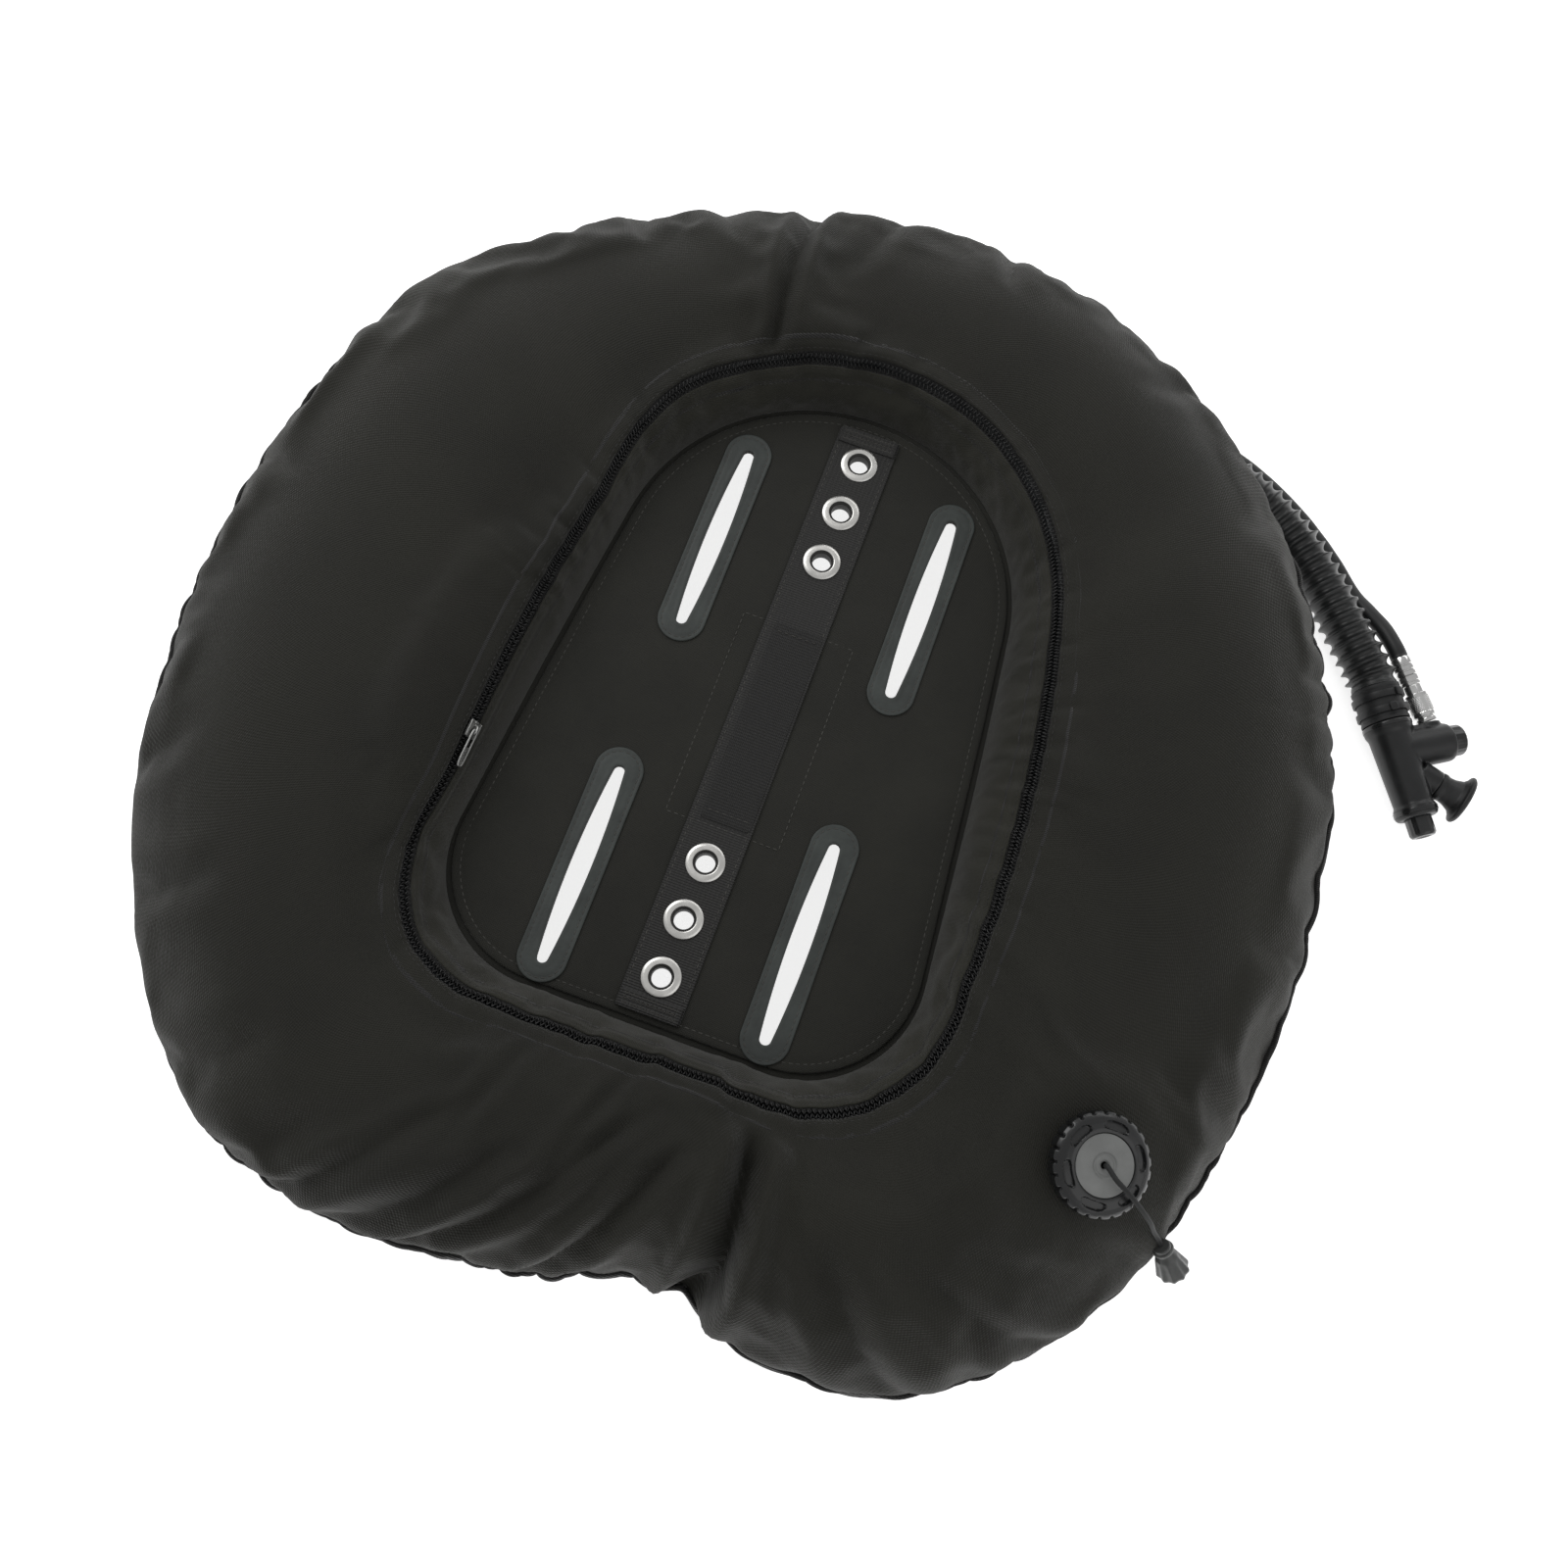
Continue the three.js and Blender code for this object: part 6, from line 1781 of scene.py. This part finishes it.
def build_inflator(sizes):
    """The power inflator: one body with fillets and bores, its rings, buttons, springs and mouthpiece."""
    satin = moulded("satin moulding", sizes.gloss_colour, 0.36, 520.0, 0.00009, 0.45)
    gloss = moulded("button moulding", sizes.gloss_colour, 0.22, 600.0, 0.00004, 0.4, coat=0.3)
    soft = moulded("mouthpiece rubber", sizes.seal_colour, 0.46, 900.0, 0.00005, 0.35)
    steel = bright_metal("button spring steel", (0.42, 0.42, 0.42), 0.25)
    tip = Place.at(INFLATOR.turn * np.array([[1], [-1], [-1]]), INFLATOR.origin)
    housing = branch(INFLATE_AXIS, -20.0)
    mouth = branch(MOUTH_AXIS, -37.0, 10.0)
    barrel = softened(
        [(0.0, -25.0), (12.7, -25.0), (12.7, 0.0), (15.6, 0.0), (15.6, 6.0), (14.2, 9.0), (12.4, 57.0),
         (13.7, 59.0), (13.7, 64.2), (12.3, 66.0), (0.0, 66.0)], 0.9, 3,
    )
    parts = [
        turned("barrel", fine(barrel, 3.0, False), tip, 64),
        turned("housing", softened(rod(13.0, -4.0, 38.0), 3.2), housing, 64),
        turned("boss", softened(rod(7.5, -17.0, -5.2), 0.6), INFLATOR.moved(x=BOSS_REACH), 48),
        turned("mouth_boss", softened([(0.0, 0.0), (9.6, 0.0), (9.0, 14.0), (0.0, 14.0)], 0.5), mouth, 48),
        block("web", INFLATOR, (BOSS_REACH / 2, 0.0, -9.5), (BOSS_REACH, 12.0, 9.0), 4.0),
    ]
    body = applied(solid_of(parts))
    for place, radius, low, high, segments in (
        (housing, 10.8, 28.0, 40.0, 48), (tip, 8.8, 52.0, 68.0, 48), (mouth, 5.0, 4.0, 16.0, 32),
        (tip, 8.0, -26.0, 6.0, 32),
    ):
        cut_away(body, turned("bore", rod(radius, low, high), place, segments))
    body.name = "inflator_body_moulding"
    shade(body.data, 45.0)
    dress(body, satin, "inflator_body", "cover")
    rings = []
    for name, inner, low, high in (("shoulder_ring", 15.3, 1.0, 3.6), ("tip_ring", 13.4, 60.0, 63.4)):
        profile = softened([(inner, low), (inner + 0.7, low), (inner + 0.7, high), (inner, high)], 0.25, 2)
        ring = turned(name, profile, tip, 72, 40.0)
        ring.data.materials.append(gloss)
        rings.append(ring)
    dress(joined("inflator_rings", rings), None, None, "cover")
    for node, place, side, corners in (
        ("inflate_button", housing, ridged(10.5, 20, 0.25),
         [(0.0, 33.0), (10.5, 33.0), (10.5, 44.4), (9.2, 46.0), (6.6, 46.2), (5.6, 45.5), (0.0, 45.2)]),
        ("deflate_button", tip, ridged(8.5, 16, 0.22),
         [(0.0, 58.5), (8.5, 58.5), (8.5, 77.0), (7.3, 78.8), (5.0, 78.9), (4.2, 78.2), (0.0, 78.0)]),
    ):
        button = turned(node + "_moulding", softened(corners, 0.6, 4), place, 72, 40.0, side)
        dress(button, gloss, node, node)
    coil_spring("inflate_spring", "inflate_press", 5.5, steel)
    coil_spring("deflate_spring", "deflate_press", 5.5, steel)
    profile = softened(
        [(5.0, 14.3), (9.6, 14.3), (9.9, 17.0), (9.1, 19.0), (9.6, 23.0), (11.6, 28.0), (14.6, 30.4), (17.3, 31.4),
         (17.4, 33.2), (15.4, 34.9), (12.0, 34.0), (8.6, 31.0), (6.6, 27.0), (5.6, 20.0)], 0.8, 4,
    )
    lips = turned("mouthpiece_moulding", fine(profile, 1.2), mouth, 96, 50.0, flattened)
    dress(lips, soft, "mouthpiece", "cover")


def rod(radius, low, high):
    """The profile of a plain rod."""
    return [(0.0, low), (radius, low), (radius, high), (0.0, high)]


def flattened(points, turn):
    """The mouthpiece is lower than it is wide."""
    return points * np.array([0.72, 1.0, 1.0])


def ridged(radius, count, depth):
    """Fine ridges round a button's side."""

    def shape(points, turn):
        side = reach(points) > radius - 0.3
        return widened(points, 1.0 - depth / radius * np.clip(np.cos(turn * count), 0.0, 1.0) * side)

    return shape


# ---------- coupler, crimp and hose end ----------
KNURL_DEPTH = 0.35
SCREW_PITCH = 1.27


def knurl(points, turn):
    """A band of crossed grooves round the sleeve: two sets of sines that wind against each other."""
    radius, height = reach(points), points[..., 2]
    band = smooth((height - 7.0) / 0.8) * smooth((19.0 - height) / 0.8) * (radius > 7.0)
    ridge = np.abs(np.sin(turn * 18 + height * 1.3)) * np.abs(np.sin(turn * 18 - height * 1.3))
    cut = KNURL_DEPTH * band * ridge
    return widened(points, (radius - KNURL_DEPTH * band + cut) / radius)


def build_coupler(sizes):
    """The nipple, the quick coupler with its sleeve, the crimp and the hose's threaded end."""
    chrome = bright_metal("polished plate", sizes.chrome_colour, 0.12, (1.0, 1.0, 1.0))
    seal = moulded("hose end seal", sizes.seal_colour, 0.5, 900.0, 0.00004, 0.3)
    nipple = softened(
        [(0.0, 1.0), (7.0, 1.0), (7.0, 3.4), (4.4, 3.4), (4.4, 9.0), (3.6, 10.0), (3.6, 12.0), (4.4, 13.0),
         (4.4, 16.0), (0.0, 16.0)], 0.35, 2,
    )
    body = [
        (4.7, 3.7), (6.0, 3.7), (6.0, 26.6), (6.4, 27.2), (6.9, 27.6), (6.9, 29.0), (6.5, 29.4), (6.5, 30.0),
        (6.9, 30.4), (6.9, 33.6), (6.5, 34.0), (4.7, 34.0),
    ]
    crimp = [
        (0.0, 34.3), (6.3, 34.3), (6.8, 34.8), (6.8, 37.0), (6.3, 37.5), (6.3, 38.2), (6.8, 38.7), (6.8, 41.0),
        (6.3, 41.5), (6.3, 42.2), (6.8, 42.7), (6.8, 46.6), (6.3, 47.9), (0.0, 48.0),
    ]
    for node, profile in (("inflator_nipple", nipple), ("coupler_body", body)):
        dress(turned(node + "_turned", profile, COUPLER, 48, 35.0), chrome, node, "cover")
    profile = softened([(6.3, 5.0), (7.6, 5.0), (7.6, 21.0), (6.3, 21.0)], 0.4, 3)
    sleeve = turned("coupler_sleeve_knurled", fine(profile, 0.4), COUPLER, 180, 50.0, knurl)
    dress(sleeve, chrome, "coupler_sleeve", "coupler_sleeve")
    dress(turned("hose_crimp_turned", crimp, COUPLER, 48, 35.0), chrome, "hose_crimp", "cover")
    end = Place("hose_fitting", unit(np.subtract(LP_ROUTE[-1], LP_ROUTE[-2])), (0.0, 0.0, 1.0)).moved(z=-GAP)
    ferrule = [
        (0.0, 0.3), (5.3, 0.3), (5.7, 0.8), (5.7, 3.4), (5.2, 3.9), (5.2, 4.6), (5.7, 5.1), (5.7, 7.6), (5.2, 8.1),
        (5.2, 8.8), (5.7, 9.3), (5.7, 13.0), (0.0, 13.0),
    ]
    hexagon = softened([(0.0, 12.0), (6.4, 12.0), (7.2, 12.6), (7.2, 18.4), (6.4, 19.0), (0.0, 19.0)], 0.15, 2)
    z = np.arange(19.0, 27.01, 0.18)
    thread_radius = np.where((z < 20.6) | (z > 26.4), 4.1, 4.55 + 0.18 * np.sin(z * TAU / SCREW_PITCH))
    screw = np.vstack([[[0.0, 18.8]], np.stack([thread_radius, z], axis=1), [[0.0, 27.0]]])
    parts = [
        turned("ferrule", ferrule, end, 48, 35.0), turned("hexagon", hexagon, end, 6, 20.0),
        turned("screw", screw, end, 40, 50.0),
    ]
    for part in parts:
        part.data.materials.append(chrome)
    dress(joined("hose_fitting_turned", parts), None, "hose_fitting", "cover")
    turn = full_turn(14)
    profile = np.stack([4.75 + 0.55 * np.cos(turn), 19.9 + 0.55 * np.sin(turn)], axis=1)
    dress(turned("hose_fitting_ring", profile, end, 40, 180.0), seal, None, "cover")


def build_cuffs(sizes):
    """The corrugated hose's two cuffs and the ties round them."""
    rubber = moulded("cuff rubber", sizes.seal_colour, 0.5, 700.0, 0.00008, 0.4)
    nylon = moulded("tie nylon", sizes.gloss_colour, 0.4, 900.0, 0.00004, 0.4)
    elbow_cuff = Place("hose_cuff_elbow", (1.0, 0.0, 0.0), (0.0, 0.0, 1.0))
    hose_cuff("hose_cuff_elbow_rubber", "hose_cuff_elbow", elbow_cuff, elbow_cuff.length, rubber)
    hose_cuff("hose_cuff_inflator_rubber", "hose_cuff_inflator", CUFF_PLACE, CUFF_PLACE.length, rubber)
    for node in TIE_AXES:
        cable_tie(node + "_nylon", node, nylon)


# ---------- zipper slider and pull ----------
LOOP_POWER = 4.8
PULL_WIRE = 0.72
GRIP_RIBS = 5


def wire_loop(name, place, length, width, wire, level):
    """A closed wire bent to a long rounded frame: a superellipse, with a round section set square
    to the curve's own slope."""
    turn, section_turn = full_turn(84)[:, None], full_turn(12)[None, :]
    a, b = length / 2 - wire, width / 2 - wire
    x, y = squared(np.cos(turn), 2.0 / LOOP_POWER), squared(np.sin(turn), 2.0 / LOOP_POWER)
    slope = unit(np.stack([squared(x, LOOP_POWER - 1) / a, squared(y, LOOP_POWER - 1) / b], axis=-1))
    out, up = wire * np.cos(section_turn), wire * np.sin(section_turn)
    height = level + up * np.ones_like(x)
    points = np.stack([a * x + out * slope[..., 0], b * y + out * slope[..., 1], height], axis=-1)
    return grid_object(name, place.world(points), True, True, 60.0)


def build_slider(sizes):
    """The zipper's slider, with rails, nose and arch, and its pull, a wire frame round a ribbed grip."""
    metal = bright_metal("zipper metal", sizes.slider_colour, 0.3, (1.0, 1.0, 1.0))
    run = joint_axis("zip_slide")
    normal = np.cross(run, joint_axis("zip_pull_flip"))
    seat = Place("zip_slider", normal * np.sign(normal[2]), run)
    arch = np.linspace(0.0, math.pi, 15)
    path = seat.world(np.stack([2.7 * np.cos(arch), 0.0 * arch, 1.2 + 3.0 * np.sin(arch) ** 0.6], axis=-1))
    parts = [
        block("plate", seat, (0.0, 0.0, 0.8), (11.0, 8.8, 1.4), 7.0),
        block("rail_left", seat, (0.0, 3.9, 1.0), (10.6, 1.1, 1.8), 6.0),
        block("rail_right", seat, (0.0, -3.9, 1.0), (10.6, 1.1, 1.8), 6.0),
        block("nose", seat, (4.6, 0.0, 1.3), (1.6, 3.4, 1.4), 4.0),
        swept("arch", path, PULL_WIRE, 12),
    ]
    tab = Place("zip_pull", seat.turn[2], run)
    length = np.ptp(node_points("zip_pull") @ run)
    away = np.sign(np.dot(tab.origin - seat.origin, run))
    level = tab.length / 2
    pull = [
        wire_loop("frame", tab, length, 5.0, PULL_WIRE, level),
        block("grip", tab, (away * length * 0.22, 0.0, level), (length * 0.46, 4.0, 0.9), 6.0),
    ]
    for step in range(GRIP_RIBS):
        place = away * (length * 0.10 + step * 1.9)
        pull.append(block("rib", tab, (place, 0.0, level), (0.7, 3.2, 1.4), 3.0))
    for name, node, pieces in (("zip_slider_cast", "zip_slider", parts), ("zip_pull_stamped", "zip_pull", pull)):
        for piece in pieces:
            piece.data.materials.append(metal)
        dress(joined(name, pieces), None, node, node)


# ---------- stage ----------
CAMERA_PLACE = (74.9, -277.8, 853.8)
CAMERA_TILT = (-15.45, -3.20, -20.66)
CAMERA_LENS = 33.75
SENSOR_WIDTH = 36.0
FLOOR_REACH = 6.0
FLOOR_GAP = 0.0002


def camera_turn():
    """The camera's turn: the view's own turns about Y, then X, then Z, taken backwards."""
    about_x, about_y, about_z = (
        Matrix.Rotation(math.radians(angle), 3, axis) for angle, axis in zip(CAMERA_TILT, "XYZ")
    )
    return (about_z @ about_x @ about_y).transposed()


def area_light(name, place, target, size, power):
    """A rectangular soft light that looks at a target."""
    data = bpy.data.lights.new(name, "AREA")
    data.shape = "RECTANGLE"
    data.size, data.size_y = size
    data.energy = power
    light = linked(name, data)
    light.location = place
    light.rotation_euler = (Vector(target) - Vector(place)).to_track_quat("-Z", "Y").to_euler()


def build_stage(sizes):
    """A pale floor, an even sky, three soft lights and the camera."""
    scene = bpy.context.scene
    floor = bpy.data.meshes.new("floor")
    corners = [(x * FLOOR_REACH, y * FLOOR_REACH) for x, y in ((-1, -1), (1, -1), (1, 1), (-1, 1))]
    floor.from_pydata([(x, y, FLOOR_Z * MM - FLOOR_GAP) for x, y in corners], [], [(0, 1, 2, 3)])
    floor.materials.append(pale_floor("pale floor", sizes.floor_colour))
    linked("floor", floor)
    world = bpy.data.worlds.new("studio")
    scene.world = world
    world.use_nodes = True
    sky = world.node_tree.nodes["Background"]
    sky.inputs["Color"].default_value = (1.0, 1.0, 1.0, 1.0)
    sky.inputs["Strength"].default_value = sizes.sky
    area_light("key", (-1.15, 0.75, 1.25), (-0.05, 0.05, 0.0), (1.1, 1.1), sizes.key_power)
    area_light("fill", (1.3, -0.7, 1.2), (0.05, 0.0, 0.0), (1.6, 1.2), sizes.key_power * 0.35)
    area_light("rim", (0.4, 1.6, 0.8), (0.1, 0.1, 0.0), (1.4, 0.6), sizes.key_power * 0.35)
    data = bpy.data.cameras.new("camera")
    data.lens = CAMERA_LENS
    data.sensor_width = SENSOR_WIDTH
    data.clip_start = 0.02
    data.clip_end = 50.0
    camera = linked("camera", data)
    camera.matrix_world = Matrix.Translation(Vector(CAMERA_PLACE) * MM) @ camera_turn().to_4x4()
    scene.camera = camera
    scene.view_settings.view_transform = "Standard"
    scene.view_settings.look = "None"


def finish_cords(sizes):
    """The two hoses and the pull cord, each swept along its path with closed ends; the paths and lengths are worked
    out but not kept.
    """
    rubber = moulded("hose rubber", sizes.rubber_colour, 0.34, 700.0, 0.00001, 0.5)
    jacket = moulded("hose jacket", sizes.rubber_colour, 0.42, 900.0, 0.00006, 0.4)
    braid = moulded("pull cord", sizes.rubber_colour, 0.65, 1500.0, 0.0001, 0.4)
    hose, path, length = corrugated_hose()
    dress(hose, rubber, "corrugated_hose", "cover")
    line, path, length = low_pressure_hose()
    dress(line, jacket, "low_pressure_hose", "cover")
    cord, path, length = pull_cord()
    dress(cord, braid, "pull_cord", "valve_pull")


# ---------- sizes and colours that a user would change ----------
def colour(name, description, default):
    """A colour property."""
    return bpy.props.FloatVectorProperty(name=name, description=description, subtype="COLOR", default=default)


class WING_PG_cloth(bpy.types.PropertyGroup):
    cloth_colour: colour("Cover cloth", "Colour of the outer cloth", (0.0130, 0.0127, 0.0090))
    cloth_roughness: bpy.props.FloatProperty(
        name="Cover roughness", description="How matt the outer cloth is", default=0.68, min=0.2, max=1.0
    )
    thread_spacing: bpy.props.FloatProperty(
        name="Thread spacing", description="Distance between the cloth's threads", default=0.0009, unit="LENGTH",
        precision=5,
    )
    rubber_colour: colour("Hose rubber", "Colour of the hoses", (0.012, 0.013, 0.013))


class WING_PG_layers(bpy.types.PropertyGroup):
    panel_colour: colour("Panel cloth", "Colour of the middle's cloth", (0.0148, 0.0147, 0.0112))
    panel_thread: bpy.props.FloatProperty(
        name="Panel thread spacing", description="Distance between the panel cloth's threads", default=0.0007,
        unit="LENGTH", precision=5,
    )
    patch_colour: colour("Patch rubber", "Colour of the slot patches", (0.034, 0.040, 0.037))
    webbing_colour: colour("Webbing", "Colour of the spine webbing", (0.0125, 0.0120, 0.0110))
    thread_colour: colour("Thread", "Colour of the stitching", (0.060, 0.058, 0.052))
    eyelet_colour: colour("Eyelet plating", "Colour of the eyelets", (0.80, 0.79, 0.76))


class WING_PG_slack(bpy.types.PropertyGroup):
    cloth_around: bpy.props.IntProperty(
        name="Points around", description="Points of the simulated cloth round the ring", default=320, min=60
    )
    cloth_across: bpy.props.IntProperty(
        name="Points across", description="Points of the simulated cloth round its section", default=64, min=16
    )
    cloth_frames: bpy.props.IntProperty(
        name="Frames", description="Frames that the cloth is given to settle", default=20, min=5
    )
    cloth_pressure: bpy.props.FloatProperty(
        name="Pressure", description="Air pressure inside the cloth", default=4.0, min=0.0
    )
    cloth_length: bpy.props.FloatProperty(
        name="Spare cloth", description="How much longer the cloth is cut than its shape", default=0.035, min=0.0
    )


class WING_PG_seams(bpy.types.PropertyGroup):
    tape_colour: colour("Tape", "Colour of the zipper's tape and the binding", (0.013, 0.0125, 0.012))
    coil_colour: colour("Coil", "Colour of the zipper's coil", (0.008, 0.008, 0.008))
    seam_thread_colour: colour("Seam thread", "Colour of the thread along the zipper", (0.022, 0.021, 0.019))
    slider_colour: colour("Slider metal", "Colour of the zipper's slider and pull", (0.40, 0.40, 0.39))
    film_colour: colour("Bladder film", "Colour of the air bladder", (0.05, 0.055, 0.06))


class WING_PG_fittings(bpy.types.PropertyGroup):
    gloss_colour: colour("Black moulding", "Colour of the hard black fittings", (0.010, 0.0105, 0.011))
    disc_colour: colour("Grey moulding", "Colour of the valve's middle disc", (0.20, 0.205, 0.20))
    seal_colour: colour("Soft rubber", "Colour of cuffs, seals and mouthpiece", (0.012, 0.0125, 0.013))
    chrome_colour: colour("Chrome", "Colour of the polished fittings", (0.78, 0.78, 0.77))


class WING_PG_stage(bpy.types.PropertyGroup):
    floor_colour: colour("Floor", "Colour of the floor", (0.95, 0.95, 0.95))
    sky: bpy.props.FloatProperty(name="Sky", description="Strength of the even light", default=0.46, min=0.0)
    key_power: bpy.props.FloatProperty(
        name="Key light", description="Power of the main soft light", default=10.0, unit="POWER"
    )


class WING_OT_stage(bpy.types.Operator):
    """Adds the floor, the lights and the camera."""

    bl_idname = "wing.stage"
    bl_label = "Stage"

    def execute(self, context):
        build_stage(context.scene.wing_stage)
        return {"FINISHED"}


class WING_OT_cords(bpy.types.Operator):
    """Adds the two hoses and the pull cord."""

    bl_idname = "wing.cords"
    bl_label = "Hoses and cord"

    def execute(self, context):
        finish_cords(context.scene.wing_cloth)
        return {"FINISHED"}


class WING_OT_cover(bpy.types.Operator):
    """Adds the cover's two halves and the gusset inside the zipper."""

    bl_idname = "wing.cover"
    bl_label = "Cover"

    def execute(self, context):
        build_cover(context.scene.wing_cloth)
        return {"FINISHED"}


class WING_OT_layers(bpy.types.Operator):
    """Adds the panel, its sheet, patches, webbing and stitching."""

    bl_idname = "wing.layers"
    bl_label = "Middle layers"

    def execute(self, context):
        build_layers(context.scene.wing_layers)
        return {"FINISHED"}


class WING_OT_eyelets(bpy.types.Operator):
    """Adds the six eyelets and their washers."""

    bl_idname = "wing.eyelets"
    bl_label = "Eyelets"

    def execute(self, context):
        build_eyelets(context.scene.wing_layers)
        return {"FINISHED"}


class WING_OT_slack(bpy.types.Operator):
    """Settles the ring's cloth under air pressure, so that every layer follows its slack."""

    bl_idname = "wing.slack"
    bl_label = "Settle the cloth"

    def execute(self, context):
        settle_cloth(context.scene.wing_slack)
        return {"FINISHED"}


class WING_OT_seams(bpy.types.Operator):
    """Adds the zipper's tapes and coils, the hems' stitching and the outer binding."""

    bl_idname = "wing.seams"
    bl_label = "Zipper and binding"

    def execute(self, context):
        build_seams(context.scene.wing_seams)
        return {"FINISHED"}


class WING_OT_slider(bpy.types.Operator):
    """Adds the zipper's slider and its pull."""

    bl_idname = "wing.slider"
    bl_label = "Slider and pull"

    def execute(self, context):
        build_slider(context.scene.wing_seams)
        return {"FINISHED"}


class WING_OT_bladder(bpy.types.Operator):
    """Adds the air bladder inside the cover."""

    bl_idname = "wing.bladder"
    bl_label = "Bladder"

    def execute(self, context):
        build_bladder(context.scene.wing_seams)
        return {"FINISHED"}


class WING_OT_valve(bpy.types.Operator):
    """Adds the dump valve's cap and disc and the pull knob."""

    bl_idname = "wing.valve"
    bl_label = "Dump valve"

    def execute(self, context):
        build_valve(context.scene.wing_fittings)
        return {"FINISHED"}


class WING_OT_elbow(bpy.types.Operator):
    """Adds the elbow under the head end with its collar."""

    bl_idname = "wing.elbow"
    bl_label = "Elbow"

    def execute(self, context):
        build_elbow(context.scene.wing_fittings)
        return {"FINISHED"}


class WING_OT_cuffs(bpy.types.Operator):
    """Adds the hose cuffs and their cable ties."""

    bl_idname = "wing.cuffs"
    bl_label = "Cuffs and ties"

    def execute(self, context):
        build_cuffs(context.scene.wing_fittings)
        return {"FINISHED"}


class WING_OT_inflator(bpy.types.Operator):
    """Adds the power inflator, its buttons and its mouthpiece."""

    bl_idname = "wing.inflator"
    bl_label = "Inflator"

    def execute(self, context):
        build_inflator(context.scene.wing_fittings)
        return {"FINISHED"}


class WING_OT_coupler(bpy.types.Operator):
    """Adds the quick coupler, the crimp and the hose's threaded end."""

    bl_idname = "wing.coupler"
    bl_label = "Coupler"

    def execute(self, context):
        build_coupler(context.scene.wing_fittings)
        return {"FINISHED"}


STEPS = [
    WING_OT_stage, WING_OT_slack, WING_OT_cover, WING_OT_seams, WING_OT_slider, WING_OT_bladder, WING_OT_layers,
    WING_OT_eyelets, WING_OT_valve, WING_OT_elbow, WING_OT_cuffs, WING_OT_inflator, WING_OT_coupler, WING_OT_cords,
]


class WING_PT_panel(bpy.types.Panel):
    bl_label = "Diving wing"
    bl_idname = "WING_PT_panel"
    bl_space_type = "VIEW_3D"
    bl_region_type = "UI"
    bl_category = "Diving wing"

    def draw(self, context):
        for step in STEPS:
            self.layout.operator(step.bl_idname)


GROUPS = {
    "wing_cloth": WING_PG_cloth,
    "wing_slack": WING_PG_slack,
    "wing_seams": WING_PG_seams,
    "wing_layers": WING_PG_layers,
    "wing_fittings": WING_PG_fittings,
    "wing_stage": WING_PG_stage,
}
CLASSES = [*GROUPS.values(), *STEPS, WING_PT_panel]


def register():
    for cls in CLASSES:
        bpy.utils.register_class(cls)
    for name, group in GROUPS.items():
        setattr(bpy.types.Scene, name, bpy.props.PointerProperty(type=group))


def unregister():
    for name in GROUPS:
        delattr(bpy.types.Scene, name)
    for cls in reversed(CLASSES):
        bpy.utils.unregister_class(cls)


def main():
    register()
    for step in STEPS:
        category, name = step.bl_idname.split(".")
        getattr(getattr(bpy.ops, category), name)()


if __name__ == "__main__":
    main()
